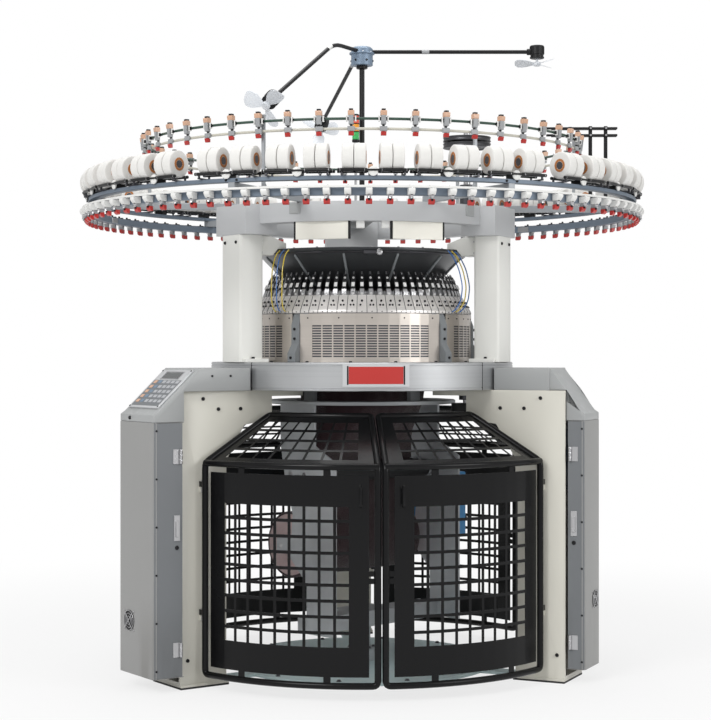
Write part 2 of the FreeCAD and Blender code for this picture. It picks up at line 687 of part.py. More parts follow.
def drive_belt():
    """Flat belt from the motor to the drive shaft."""
    return at_azimuth(belt_loop(BELT_THICK).cut(belt_loop(0)), LEG_AZIMUTH["right"])


def needle_cylinder():
    """Needle cylinder on its gear."""
    low = gear_z() + GEAR_THICK
    return rail(CYLINDER_R - CYLINDER_WALL, CYLINDER_R, low, CYLINDER_TOP_Z, 0, INNER_SIDES)


def cylinder_gear():
    """Ring gear that turns the cylinder and carries the take-down frame."""
    return gear(GEAR_TEETH, GEAR_PITCH_R, gear_z(), gear_z() + GEAR_THICK, BEARING_IN_R - 40, 0.42)


def takedown(shape):
    """A piece of the take-down, drawn along X, turned to its place at rest."""
    return at_azimuth(shape, TAKEDOWN_TURN)


def takedown_plate(side):
    """Side plate with its roller bores and the open arm that holds the roll's shaft."""
    x_in = PLATE_X if side > 0 else -PLATE_X - PLATE_THICK
    outline = [(-110, PLATE_TOP_Z), (110, PLATE_TOP_Z), (110, 1010), (80, 860), (30, 700), (40, 600),
               (ROLL_Y + 26, ROLL_Z + 33), (ROLL_Y + 26, ROLL_Z - 26), (ROLL_Y - 40, ROLL_Z - 26),
               (-60, 400), (-60, BEAM_LOW_Z), (-240, BEAM_LOW_Z), (-240, 940), (-110, 1010)]
    plate = side_plate(outline, x_in, x_in + PLATE_THICK)
    for y in (ROLLER_R + WEB_THICK / 2 + RUN_GAP, -ROLLER_R - WEB_THICK / 2 - RUN_GAP):
        plate = plate.cut(rod_hole(Vector(x_in - 1, y, ROLLER_Z), Vector(x_in + PLATE_THICK + 1, y, ROLLER_Z),
                                   JOURNAL_R, HOLE_SIDES))
    return plate.cut(rod_hole(Vector(x_in - 1, -ROLL_Y, ROLL_Z),
                              Vector(x_in + PLATE_THICK + 1, -ROLL_Y, ROLL_Z), JOURNAL_R, HOLE_SIDES))


def takedown_frame():
    """Yoke ring, hangers, side plates and foot beam of the rotating take-down frame."""
    yoke = rail(YOKE_IN_R, YOKE_OUT_R, PLATE_TOP_Z, PLATE_TOP_Z + YOKE_THICK, 0, YOKE_SIDES)
    frame = yoke.fuse([takedown_plate(-1), takedown_plate(1)])
    for azimuth in (0, 90, 180, 270):
        post = block(-30, 30, HANGER_R - 12, HANGER_R + 12, PLATE_TOP_Z + YOKE_THICK, gear_z())
        frame = frame.fuse(at_azimuth(post, azimuth))
    beam = Part.makeBox(2 * PLATE_X, 120, BEAM_HIGH_Z - BEAM_LOW_Z, Vector(-PLATE_X, -10, BEAM_LOW_Z))
    beam = beam.fuse(Part.makeBox(240, 160, BEAM_HIGH_Z - BEAM_LOW_Z, Vector(-120, -80, BEAM_LOW_Z)))
    pivot = disc(PIVOT_R, BASE_THICK + RUN_GAP, BEAM_LOW_Z)
    return takedown(frame.fuse([beam, pivot]).removeSplitter())


def takedown_gearbox():
    """Drive box of the take-down rollers on the outer face of the far plate."""
    x_out = -PLATE_X - PLATE_THICK - GEARBOX_DEPTH
    box = Part.makeBox(GEARBOX_DEPTH, 260, GEARBOX_HIGH_Z - GEARBOX_LOW_Z, Vector(x_out, -70, GEARBOX_LOW_Z))
    return takedown(box.makeChamfer(14, [e for e in box.Edges if abs(e.CenterOfMass.x - x_out) < 1]))


def takedown_roller(side):
    """Nip roller with its journals."""
    y = side * (ROLLER_R + WEB_THICK / 2 + RUN_GAP)
    body = rod(Vector(RUN_GAP - PLATE_X, y, ROLLER_Z), Vector(PLATE_X - RUN_GAP, y, ROLLER_Z), ROLLER_R)
    end = PLATE_X + PLATE_THICK
    return takedown(body.fuse(rod(Vector(-end, y, ROLLER_Z), Vector(end, y, ROLLER_Z), JOURNAL_R, HOLE_SIDES)))


def fabric_roll():
    """Rolled fabric on its shaft."""
    roll = rod(Vector(-ROLL_HALF, -ROLL_Y, ROLL_Z), Vector(ROLL_HALF, -ROLL_Y, ROLL_Z), ROLL_R, ROLL_SIDES)
    end = PLATE_X + PLATE_THICK
    return takedown(roll.fuse(rod(Vector(-end, -ROLL_Y, ROLL_Z), Vector(end, -ROLL_Y, ROLL_Z), JOURNAL_R,
                              HOLE_SIDES)))


def cloth_ring(z, radius, share):
    """Closed wavy section of the fabric tube, from round at the top to flat at the rollers."""
    points = []
    count = 4 * CLOTH_WAVES
    for k in range(count):
        angle = 2 * math.pi * k / count
        wave = 1 + CLOTH_WAVE_SHARE * math.sin(angle * CLOTH_WAVES)
        x = (radius * (1 - share) + CLOTH_HALF_WIDTH * share) * wave * math.cos(angle)
        y = (radius * (1 - share) + WEB_THICK / 2 * share) * wave * math.sin(angle)
        points.append(Vector(x, y, z))
    return points


def fabric_tube():
    """Knitted tube from the cylinder down to the nip, with its main folds, and the flat web to the roll."""
    loops = [cloth_ring(z, CLOTH_TOP_R - inset, share) for z, inset, share in CLOTH_LEVELS]
    count = len(loops[0])
    faces = [Part.Face(Part.makePolygon(loop + loop[:1])) for loop in (loops[0], loops[-1])]
    for upper, lower in zip(loops, loops[1:]):
        for k in range(count):
            after = (k + 1) % count
            for corners in ((upper[k], upper[after], lower[after]), (upper[k], lower[after], lower[k])):
                faces.append(Part.Face(Part.makePolygon(list(corners) + [corners[0]])))
    half = WEB_THICK / 2
    reach = CLOTH_LEVELS[-1][0] - ROLLER_Z
    web = Part.makeBox(2 * WEB_HALF_WIDTH, WEB_THICK, 2 * reach, Vector(-WEB_HALF_WIDTH, -half, ROLLER_Z - reach))
    low = ROLL_Z + 60
    slant = [(half, ROLLER_Z - reach), (-half, ROLLER_Z - reach), (-24, low), (-18, low)]
    fall = side_plate(slant, -WEB_HALF_WIDTH, WEB_HALF_WIDTH)
    roll = rod_hole(Vector(-ROLL_HALF, -ROLL_Y, ROLL_Z), Vector(ROLL_HALF, -ROLL_Y, ROLL_Z), ROLL_R + RUN_GAP,
                    ROLL_SIDES)
    return takedown(solid_of(faces).fuse([web, fall]).cut(roll).removeSplitter())


def column(azimuth):
    """Box column on its foot plate, with the clamp arm that reaches in to the dish."""
    half_w = COLUMN_WIDTH / 2
    half_d = COLUMN_DEPTH / 2
    post = block(-half_w, half_w, COLUMN_R - half_d, COLUMN_R + half_d, BED_TOP_Z, COLUMN_TOP_Z)
    corners = [e for e in post.Edges if abs(e.CenterOfMass.z - (BED_TOP_Z + COLUMN_TOP_Z) / 2) < 1]
    post = post.makeChamfer(10, corners)
    foot = block(-half_w - 20, half_w + 20, COLUMN_R - half_d - 15, BED_R - 6, BED_TOP_Z,
                 BED_TOP_Z + COLUMN_FOOT_THICK)
    return at_azimuth(post.fuse(foot).removeSplitter(), azimuth)


def column_arm(azimuth):
    """Cast arm with its lug, bolted to a column's inner face over the dish's flange."""
    in_face = COLUMN_R - COLUMN_DEPTH / 2
    profile = [(ARM_IN_R, ARM_LOW_Z), (in_face, ARM_LOW_Z - 30), (in_face, COLUMN_TOP_Z),
               (in_face - 60, COLUMN_TOP_Z), (ARM_IN_R, ARM_LOW_Z + 26)]
    profile[0:1] = [(ARM_IN_R, ARM_LOW_Z), (DISH_R + 4, ARM_LOW_Z), (DISH_R + 30, ARM_LOW_Z - 30)]
    return at_azimuth(side_plate(profile, -ARM_HALF_WIDTH, ARM_HALF_WIDTH), azimuth)


def top_plate():
    """Light band with three lobes over the columns and a spider inside it."""
    body = rail(BAND_IN_R, COLUMN_R, BAND_LOW_Z, BAND_TOP_Z)
    body = body.fuse(disc(SPIDER_HUB_R, SPIDER_LOW_Z, BAND_TOP_Z))
    for azimuth in LEG_AZIMUTH.values():
        lobe = block(-LOBE_HALF_WIDTH, LOBE_HALF_WIDTH, BAND_IN_R - 20, LOBE_OUT_R, COLUMN_TOP_Z, BAND_TOP_Z)
        arm = block(-SPIDER_HALF_WIDTH, SPIDER_HALF_WIDTH, 0, BAND_IN_R, SPIDER_LOW_Z, BAND_TOP_Z)
        body = body.fuse([at_azimuth(lobe, azimuth), at_azimuth(arm, azimuth)])
    return body.removeSplitter()


def dish():
    """Inverted cone with its flange under the clamp arms."""
    profile = [(DISH_LOW_R, DISH_LOW_Z), (DISH_R, ARM_LOW_Z - DISH_FLANGE), (DISH_R, ARM_LOW_Z),
               (DISH_R - 34, ARM_LOW_Z), (DISH_LOW_R - DISH_WALL, DISH_LOW_Z)]
    return faceted_ring(profile, CONE_SIDES)


def cam_ring():
    """Conical ring of cam boxes round the cylinder."""
    profile = [(CAM_BORE_R, CAM_LOW_Z), (CAM_LOW_R, CAM_LOW_Z), (CAM_LOW_R, CAM_LOW_Z + 14), (CAM_TOP_R, CAM_TOP_Z),
               (CAM_BORE_R, CAM_TOP_Z)]
    return faceted_ring(profile, RING_SIDES)


def vent_covers():
    """Curved covers between the brackets under the cam ring."""
    panels = []
    half = math.degrees(BRACKET_HALF_WIDTH / CAM_LOW_R)
    stops = list(BRACKET_AZIMUTHS) + [BRACKET_AZIMUTHS[0] + 360]
    for first, last in zip(stops[:-1], stops[1:]):
        flats = round((last - first) / COVER_FLAT_DEG)
        low = first + half + 0.1
        step = (last - first - 2 * half - 0.2) / flats
        folds = [low + k * step for k in range(flats + 1)]
        panels.append(folded_panel(CAM_LOW_R - COVER_THICK, CAM_LOW_R, BED_TOP_Z, CAM_LOW_Z, folds))
    return panels


def cover_bracket(azimuth):
    """Angular bracket that carries the cam ring and holds the covers' ends."""
    in_r = BED_BORE_R + 3
    out_r = CAM_LOW_R + 12
    foot_r = out_r + 28
    profile = [(in_r, BED_TOP_Z), (foot_r, BED_TOP_Z), (foot_r, BED_TOP_Z + 40), (out_r, BED_TOP_Z + 80),
               (out_r, CAM_LOW_Z - 50), (CAM_LOW_R - 8, CAM_LOW_Z), (in_r, CAM_LOW_Z)]
    return at_azimuth(side_plate(profile, -BRACKET_HALF_WIDTH, BRACKET_HALF_WIDTH), azimuth)


def yarn_guide(azimuth):
    """Leaning guide foot on the cam ring."""
    profile = [(CAM_TOP_R - 5, CAM_TOP_Z), (GUIDE_TOP_R + 2, GUIDE_TOP_Z), (CAM_TOP_R - 25, CAM_TOP_Z)]
    return at_azimuth(side_plate(profile, -6, 6), azimuth)

# ---- mast, fans, lamp, rack
MAST_R = 12
HUB_R = 50
HUB_LOW_Z = 2740
HUB_HIGH_Z = 2827
FAN_ARM_R = 9
FAN_ARM_Z = 2804
FAN_R = 105
FAN_MOTOR_R = 33
FAN_MOTOR_LENGTH = 62
FAN_SPINDLE = 34
FAN_BLADES = 3
# Each fan: azimuth, distance and height of the arm's end, elbow distance, height there, and axis dip in degrees.
FANS = ((85, 805, 2804, 250, 2804, 90), (-35, 762, 2491, 250, 2804, 36), (-170, 780, 2575, 120, 2790, 36))
LAMP_AT = (70, -29)
LAMP_R = 17
LAMP_LOW_Z = 2381
LAMP_HIGH_Z = 2510
RACK_AZIMUTH = 84
RACK_TOP_Z = 2460
FEEDER_SEAT_GAP = 1.15
PULLEY_AT = (600, 45)
PULLEY_DISC_R = 105
PULLEY_LOW_Z = 2315
PULLEY_HIGH_Z = 2363
SIGN_AZIMUTHS = (-21, 17.6)
SIGN_WIDTH = 250
SIGN_HEIGHT = 76
BADGE_HALF_DEG = 11.8
BADGE_LOW_Z = 1277
BADGE_HIGH_Z = 1373


def feeder(azimuth):
    """Yarn feeder clamped on the outer face of its rail."""
    low_z = BAND_TOP_Z - FEEDER_RAIL_HEIGHT
    in_r = FEEDER_RAIL_OUT_R + FEEDER_SEAT_GAP
    profile = [(in_r, FEEDER_LOW_Z), (FEEDER_OUT_R, low_z + 26), (in_r, low_z + 26)]
    return at_azimuth(side_plate(profile, -FEEDER_WIDTH / 2, FEEDER_WIDTH / 2), azimuth)


def spool_units():
    """Azimuths of the pairs of spools, section by section, and of the modules between them."""
    pairs = []
    modules = []
    for centre, count in SPOOL_SECTIONS:
        first = centre - SPOOL_PITCH * (count - 1) / 2
        pairs += [first + k * SPOOL_PITCH for k in range(count)]
        modules += [first + (k + 0.5) * SPOOL_PITCH for k in range(0, count, 2)]
    return pairs, modules


def rail_top_z():
    """Top of the spool rail on the radial arms."""
    return BAND_TOP_Z + ARM_SECTION + SPOOL_RAIL_HEIGHT


def roller_top_z():
    """Top of the driving rollers that the spools rest on."""
    step = math.pi / SPOOL_SIDES
    lean = math.radians(SPOOL_PITCH / 2)
    drift = SPOOL_RING_R * (1 - math.cos(lean)) + (SPOOL_WIDTH + SPOOL_GAP / 2) * math.sin(lean)
    side = SPOOL_BOX_HALF + ROLLER_SIZE / 2 - drift - SPOOL_R * math.sin(step)
    return SPOOL_Z - SPOOL_R * math.cos(step) + side * math.tan(2 * step) - 2 * RUN_GAP


def spool_module(azimuth):
    """Oval gearbox on the spool rail with its two driving rollers."""
    half = GEARBOX_HALF
    box = block(-half, half, SPOOL_RING_R - SPOOL_BOX_HALF, SPOOL_RING_R + SPOOL_BOX_HALF, rail_top_z(), roller_top_z() + 4)
    solids = [box]
    for r in (SPOOL_RING_R - SPOOL_BOX_HALF - ROLLER_SIZE, SPOOL_RING_R + SPOOL_BOX_HALF):
        top = roller_top_z()
        bar = [(r, top - ROLLER_SIZE / 2), (r + ROLLER_SIZE / 2, top), (r + ROLLER_SIZE, top - ROLLER_SIZE / 2)]
        solids.append(side_plate(bar, -ROLLER_REACH, ROLLER_REACH))
    return [at_azimuth(solid, azimuth) for solid in solids]


def spool_pair(azimuth):
    """Two spools side by side on the rollers."""
    length = 2 * SPOOL_WIDTH + SPOOL_GAP
    solid = prism(SPOOL_SIDES, SPOOL_R * math.cos(math.pi / SPOOL_SIDES), -length / 2, length / 2)
    solid.rotate(Vector(0, 0, 0), Vector(0, 1, 0), 90)
    solid.translate(Vector(0, -SPOOL_RING_R, SPOOL_Z))
    return at_azimuth(solid, azimuth)


def stop_sensor(azimuth):
    """Stop sensor with its guide on the outer faces of both sensor rails."""
    r = SENSOR_R + SENSOR_RAIL_HALF
    profile = [(r, SENSOR_LOW_Z - 30), (r + SENSOR_DEPTH, SENSOR_HIGH_Z + 34), (r, SENSOR_HIGH_Z + 34)]
    return at_azimuth(side_plate(profile, -SENSOR_WIDTH / 2, SENSOR_WIDTH / 2), azimuth)


def ring_posts():
    """Radial arms on the top plate and the posts of the sensor rails."""
    solids = []
    top = BAND_TOP_Z + ARM_SECTION
    half = ARM_SECTION / 2
    for azimuth in ARM_AZIMUTHS:
        arm = block(-half, half, BAND_IN_R + 10, SPOOL_RING_R + SPOOL_RAIL_HALF, BAND_TOP_Z, top)
        r = SENSOR_R - SENSOR_RAIL_HALF
        post = block(-7, 7, r - 14, r - 0.4, top, SENSOR_HIGH_Z + 30)
        solids.append(at_azimuth(arm.fuse(post), azimuth))
    return solids


def pipe_rack():
    """Rack of rods over the right side of the rings."""
    base = BAND_TOP_Z + ARM_SECTION
    solids = []
    for r in (SENSOR_R + 55, SENSOR_R + 125):
        post = block(-8, 8, r, r + 16, base, RACK_TOP_Z)
        solids.append(post)
    end_r = SENSOR_R + 185
    for z in (RACK_TOP_Z - 48, RACK_TOP_Z - 16):
        solids.append(block(-20, -8, SENSOR_R - 140, end_r, z, z + 10))
        solids.append(block(8, 20, SENSOR_R - 115, end_r, z, z + 10))
    return [at_azimuth(solid, RACK_AZIMUTH) for solid in solids]


def quality_shaft_point():
    """Place of the quality pulleys' shaft on the top plate."""
    return direction(PULLEY_AT[1]) * PULLEY_AT[0]


def quality_pulleys():
    """Pair of discs of adjustable diameter on their shaft."""
    at = quality_shaft_point()
    middle = (PULLEY_LOW_Z + PULLEY_HIGH_Z) / 2
    shaft = disc(SHAFT_R, BAND_TOP_Z + 30 + RUN_GAP, PULLEY_HIGH_Z + 20, at)
    lower = disc(PULLEY_DISC_R, PULLEY_LOW_Z, middle - 4, at)
    upper = disc(PULLEY_DISC_R, middle + 4, PULLEY_HIGH_Z, at)
    return shaft.fuse([lower, upper]).removeSplitter()


def pulley_bearing():
    """Bearing block of the quality pulleys on the top plate."""
    at = quality_shaft_point()
    house = disc(32, BAND_TOP_Z, BAND_TOP_Z + 90, at)
    return house.cut(bore(SHAFT_R, BAND_TOP_Z + 30, BAND_TOP_Z + 91, at))


def mast():
    """Mast with its base flange on the top plate's hub."""
    tube = disc(MAST_R, BAND_TOP_Z, HUB_LOW_Z + 60)
    return tube.fuse(disc(MAST_R + 34, BAND_TOP_Z, BAND_TOP_Z + 12)).fuse(
        disc(MAST_R + 14, HUB_LOW_Z - 14, HUB_LOW_Z - RUN_GAP)).removeSplitter()


def signal_lamp():
    """Lamp tower on a post beside the mast."""
    at = direction(LAMP_AT[1]) * LAMP_AT[0]
    post = disc(6, BAND_TOP_Z, LAMP_LOW_Z, at)
    return post.fuse(disc(LAMP_R, LAMP_LOW_Z, LAMP_HIGH_Z, at)).removeSplitter()


def fan_points(fan):
    """Elbow, arm end and spin axis of one fan."""
    azimuth, end_r, end_z, elbow_r, elbow_z, dip = fan
    out = direction(azimuth)
    elbow = out * elbow_r + Vector(0, 0, elbow_z)
    end = out * end_r + Vector(0, 0, end_z)
    angle = math.radians(dip)
    axis = out * math.cos(angle) + Vector(0, 0, -math.sin(angle))
    return elbow, end, axis


def fan_carrier():
    """Hub that turns on the mast, with its three arms."""
    body = disc(HUB_R, HUB_LOW_Z, HUB_HIGH_Z).fuse(disc(HUB_R + 8, HUB_LOW_Z + 52, HUB_LOW_Z + 60))
    body = body.cut(bore(MAST_R, HUB_LOW_Z, HUB_LOW_Z + 60 + RUN_GAP))
    arms = []
    for fan in FANS:
        elbow, end, axis = fan_points(fan)
        start = direction(fan[0]) * (HUB_R - 8) + Vector(0, 0, fan[4])
        arm = rod(start, elbow, FAN_ARM_R, FAN_SIDES).fuse(rod(elbow, end, FAN_ARM_R, FAN_SIDES))
        arms.append(arm.cut(fan_motor(fan)))
    return body.fuse(arms)


def fan_motor(fan):
    """Round motor on the end of its arm."""
    elbow, end, axis = fan_points(fan)
    back = end - axis * (FAN_MOTOR_LENGTH / 2)
    front = back + axis * FAN_MOTOR_LENGTH
    return rod(back, front, FAN_MOTOR_R).cut(rod_hole(front - axis * 20, front, 6, FAN_SIDES))


def fan_blades(fan):
    """Spindle, boss and pitched blades of one fan."""
    elbow, end, axis = fan_points(fan)
    face = FAN_MOTOR_LENGTH / 2
    body = disc(6, face - 18, face + FAN_SPINDLE - 4, Vector(0, 0, 0), FAN_SIDES)
    body = body.fuse(disc(18, face + FAN_SPINDLE - 18, face + FAN_SPINDLE, Vector(0, 0, 0), FAN_SIDES))
    for k in range(FAN_BLADES):
        corners = [Vector(12, -10, 0), Vector(50, -36, 0), Vector(FAN_R - 12, -38, 0), Vector(FAN_R, 0, 0),
                   Vector(FAN_R - 16, 30, 0), Vector(45, 26, 0), Vector(12, 10, 0)]
        blade = Part.Face(Part.makePolygon(corners + corners[:1])).extrude(Vector(0, 0, 3))
        blade.rotate(Vector(0, 0, 0), Vector(1, 0, 0), 22)
        blade.translate(Vector(0, 0, face + FAN_SPINDLE - 11))
        blade.rotate(Vector(0, 0, 0), Vector(0, 0, 1), k * 360.0 / FAN_BLADES)
        body = body.fuse(blade)
    body.Placement = FreeCAD.Placement(end, FreeCAD.Rotation(Vector(0, 0, 1), axis))
    return body


def sign_plates():
    """Two bare plates with their end pieces, hung under the band."""
    solids = []
    r = COLUMN_R - 30
    for azimuth in SIGN_AZIMUTHS:
        plate = block(-SIGN_WIDTH / 2, SIGN_WIDTH / 2, r, r + 12, BAND_LOW_Z - SIGN_HEIGHT, BAND_LOW_Z)
        solids.append(at_azimuth(plate, azimuth))
    return solids


def front_badge():
    """Bare plate on the bed's front."""
    outer = rail(BED_R, BED_R + 4, BADGE_LOW_Z, BADGE_HIGH_Z)
    half = BED_R * math.sin(math.radians(BADGE_HALF_DEG))
    return outer.common(block(-half, half, 0, BED_R + 10, BADGE_LOW_Z, BADGE_HIGH_Z))


def build():
    """Write every node."""
    for name in LEG_AZIMUTH:
        save("leg_" + name, leg(name))
    save("base_plate", base_plate())
    save("console_left", console("left"))
    save("console_right", console("right"))
    save("rear_cap", rear_cap())
    save("operator_panel", operator_panel())
    for name, side in (("left", 1), ("right", -1)):
        save("cabinet_" + name, cabinet(name, side))
        save("cabinet_" + name + "_cover", cabinet_cover(name, side))
    right_leaf = leaf(True)
    left_leaf = right_leaf.mirror(Vector(0, 0, 0), Vector(1, 0, 0))
    plain_right = leaf(False)
    plain_left = plain_right.mirror(Vector(0, 0, 0), Vector(1, 0, 0))
    save("door_front_left", left_leaf)
    save("door_front_right", right_leaf)
    save("door_right_front", at_azimuth(plain_left, 120))
    save("door_right_rear", at_azimuth(plain_right, 120))
    save("door_left_front", at_azimuth(plain_right, -120))
    save("door_left_rear", at_azimuth(plain_left, -120))
    save("bed_ring", bed_ring())
    save("bearing_ring", bearing_ring())
    save("drive_shaft", drive_shaft())
    save("drive_motor", drive_motor())
    save("motor_pulley", motor_pulley())
    save("drive_belt", drive_belt())
    save("needle_cylinder", needle_cylinder())
    save("cylinder_gear", cylinder_gear())
    save("takedown_frame", takedown_frame())
    save("takedown_gearbox", takedown_gearbox())
    save("roller_front", takedown_roller(-1))
    save("roller_rear", takedown_roller(1))
    save("fabric_roll", fabric_roll())
    save("fabric_tube", fabric_tube())
    save("columns", *[column(azimuth) for azimuth in LEG_AZIMUTH.values()])
    save("column_arms", *[column_arm(azimuth) for azimuth in LEG_AZIMUTH.values()])
    save("top_plate", top_plate())
    save("dish", dish())
    save("cam_ring", cam_ring())
    save("vent_covers", *vent_covers())
    save("cover_brackets", *[cover_bracket(azimuth) for azimuth in BRACKET_AZIMUTHS])
    save("yarn_guides", *[yarn_guide(k * 360.0 / GUIDE_COUNT) for k in range(GUIDE_COUNT)])
    low_z = BAND_TOP_Z - FEEDER_RAIL_HEIGHT
    quarter = 90.0 / RING_SIDES
    save("feeder_rail", rail(FEEDER_RAIL_IN_R, FEEDER_RAIL_OUT_R, low_z, BAND_TOP_Z, quarter))
    save("yarn_feeders", *[feeder(k * 360.0 / FEEDER_COUNT) for k in range(FEEDER_COUNT)])
    save("spool_rail", rail(SPOOL_RING_R - SPOOL_RAIL_HALF, SPOOL_RING_R + SPOOL_RAIL_HALF,
                            BAND_TOP_Z + ARM_SECTION, rail_top_z()))
    pairs, modules = spool_units()
    save("spool_drives", *[solid for azimuth in modules for solid in spool_module(azimuth)])
    save("spools", *[spool_pair(azimuth) for azimuth in pairs])
    half = SENSOR_RAIL_HALF
    rails = []
    for z in (SENSOR_LOW_Z, SENSOR_HIGH_Z):
        profile = [(SENSOR_R - half, z), (SENSOR_R + half, z - half), (SENSOR_R + half, z + half)]
        rails.append(faceted_ring(profile, RING_SIDES))
    save("sensor_rails", *rails)
    save("stop_sensors", *[stop_sensor(k * 360.0 / SENSOR_COUNT) for k in range(SENSOR_COUNT)])
    save("ring_posts", *ring_posts())
    save("pipe_rack", *pipe_rack())
    save("quality_pulleys", quality_pulleys())
    save("shaft_bearings", shaft_bearing(), pulley_bearing())
    save("mast", mast())
    save("signal_lamp", signal_lamp())
    save("fan_carrier", fan_carrier())
    save("fan_motors", *[fan_motor(fan) for fan in FANS])
    for number, fan in enumerate(FANS, 1):
        save("fan_blades_" + str(number), fan_blades(fan))
    save("sign_plates", *sign_plates())
    save("front_badge", front_badge())


build()
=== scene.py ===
"""Circular knitting machine on three legs: finishes, fine pieces, studio and camera."""

import json
import logging
import math
from dataclasses import dataclass, field
from enum import Enum
from typing import Callable, Iterable, Optional, Sequence

import bmesh
import bpy
from mathutils import Matrix, Vector


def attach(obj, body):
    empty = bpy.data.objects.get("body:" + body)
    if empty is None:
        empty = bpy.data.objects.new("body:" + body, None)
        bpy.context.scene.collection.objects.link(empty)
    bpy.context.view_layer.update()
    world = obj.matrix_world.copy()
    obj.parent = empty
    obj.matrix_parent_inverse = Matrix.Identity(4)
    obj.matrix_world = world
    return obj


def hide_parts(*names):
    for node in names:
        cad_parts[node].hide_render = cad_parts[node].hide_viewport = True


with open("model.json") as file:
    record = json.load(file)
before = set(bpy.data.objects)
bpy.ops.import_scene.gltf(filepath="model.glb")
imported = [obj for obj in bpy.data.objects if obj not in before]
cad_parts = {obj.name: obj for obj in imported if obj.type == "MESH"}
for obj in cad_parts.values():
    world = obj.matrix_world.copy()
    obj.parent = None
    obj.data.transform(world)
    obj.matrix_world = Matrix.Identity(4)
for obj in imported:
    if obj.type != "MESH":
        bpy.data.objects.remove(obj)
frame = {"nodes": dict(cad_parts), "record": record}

LOG = logging.getLogger("knitting_machine")
MACHINE = "machine"
LEGS = (-60.0, 60.0, 180.0)
DOOR_RADIUS = 930.0
HINGE_OFFSET = 155.0
HINGE_RADIUS = math.sqrt(DOOR_RADIUS ** 2 - HINGE_OFFSET ** 2)
HINGE_HEIGHTS = (311.0, 853.0)
BED_LOW = 1258.0
BED_TOP = 1379.0
CAM_LOW = 1592.0
CAM_TOP = 1672.0
DISH_TOP = 1880.0
COLUMN_TOP = 1935.0
BAND_TOP = 2065.0
CREEL_ARM_TOP = 2095.0
SPOOL_RAIL_TOP = 2111.0
FLOOR_WHITENESS = (0.74, 1.0)
FLOOR_FADE = (1.6, 4.5)
AIR_STRENGTH = (0.62, 1.0)


# ---------------------------------------------------------------- places
def front(x: float, r: float, z: float) -> Vector:
    """A point drawn at the machine's front, x to the side and r out from the axis."""
    return Vector((x, -r, z))


def polar(azimuth: float, r: float, z: float) -> Vector:
    """A point at an azimuth in degrees, a distance from the axis and a height."""
    angle = math.radians(azimuth)
    return Vector((r * math.sin(angle), -r * math.cos(angle), z))


def turn(azimuth: float) -> Matrix:
    """The rotation that takes a piece drawn at the front to its azimuth."""
    return Matrix.Rotation(math.radians(azimuth), 4, "Z")


def spaced(first: float, last: float, count: int) -> list[float]:
    """Evenly spaced numbers, both ends included."""
    return [first + (last - first) * k / (count - 1) for k in range(count)]


def evenly(count: int) -> list[float]:
    """Azimuths in degrees, evenly round the machine from its front."""
    return [360.0 * k / count for k in range(count)]


def circle(count: int) -> list[float]:
    """Angles in radians, evenly round a circle."""
    return [2.0 * math.pi * k / count for k in range(count)]


# ---------------------------------------------------------------- node trees
class Graph:
    """Builds a node tree from values and sockets."""

    def __init__(self, tree: bpy.types.NodeTree) -> None:
        """Args: tree: the tree to add to."""
        self.tree = tree

    def node(self, kind: str, **settings: object) -> bpy.types.Node:
        """Adds a node of a kind and sets its properties."""
        node = self.tree.nodes.new(kind)
        for key, value in settings.items():
            setattr(node, key, value)
        return node

    def feed(self, socket: bpy.types.NodeSocket, value: object) -> None:
        """Links a socket to another, or sets its own value."""
        if isinstance(value, bpy.types.NodeSocket):
            self.tree.links.new(value, socket)
            return
        if socket.type == "RGBA" and len(value) == 3:
            value = (*value, 1.0)
        socket.default_value = value

    def call(self, kind: str, inputs: dict, **settings: object) -> bpy.types.Node:
        """Adds a node and feeds its inputs, given by name or by index."""
        node = self.node(kind, **settings)
        for key, value in inputs.items():
            self.feed(node.inputs[key], value)
        return node

    def math(self, operation: str, a: object, b: object = 0.0) -> bpy.types.NodeSocket:
        """One step of arithmetic on values or sockets."""
        return self.call("ShaderNodeMath", {0: a, 1: b}, operation=operation).outputs[0]

    def mix(self, factor: object, a: object, b: object, blend: str = "MIX") -> bpy.types.NodeSocket:
        """A blend of two colours."""
        node = self.node("ShaderNodeMix", data_type="RGBA", blend_type=blend)
        self.feed(node.inputs[0], factor)
        self.feed(node.inputs[6], a)
        self.feed(node.inputs[7], b)
        return node.outputs[2]

    def band(self, value: object, low: float, high: float) -> bpy.types.NodeSocket:
        """The value mapped smoothly from a low and a high mark to 0 and 1."""
        node = self.node("ShaderNodeMapRange", interpolation_type="SMOOTHSTEP")
        self.feed(node.inputs["Value"], value)
        self.feed(node.inputs["From Min"], low)
        self.feed(node.inputs["From Max"], high)
        return node.outputs[0]


def shader_group(name: str, inputs: Sequence[tuple], outputs: Sequence[tuple]) -> tuple:
    """Starts a shader node group.

    Args:
        name: the group's name.
        inputs: (name, socket kind, default) of each input.
        outputs: (name, socket kind) of each output.

    Returns:
        The group's tree, its graph, its input node and its output node.
    """
    tree = bpy.data.node_groups.new(name, "ShaderNodeTree")
    for label, kind, default in inputs:
        socket = tree.interface.new_socket(label, in_out="INPUT", socket_type=kind)
        socket.default_value = default
    for label, kind in outputs:
        tree.interface.new_socket(label, in_out="OUTPUT", socket_type=kind)
    graph = Graph(tree)
    return tree, graph, graph.node("NodeGroupInput"), graph.node("NodeGroupOutput")


NUMBER = "NodeSocketFloat"
COLOUR = "NodeSocketColor"
WHITE = (1.0, 1.0, 1.0, 1.0)


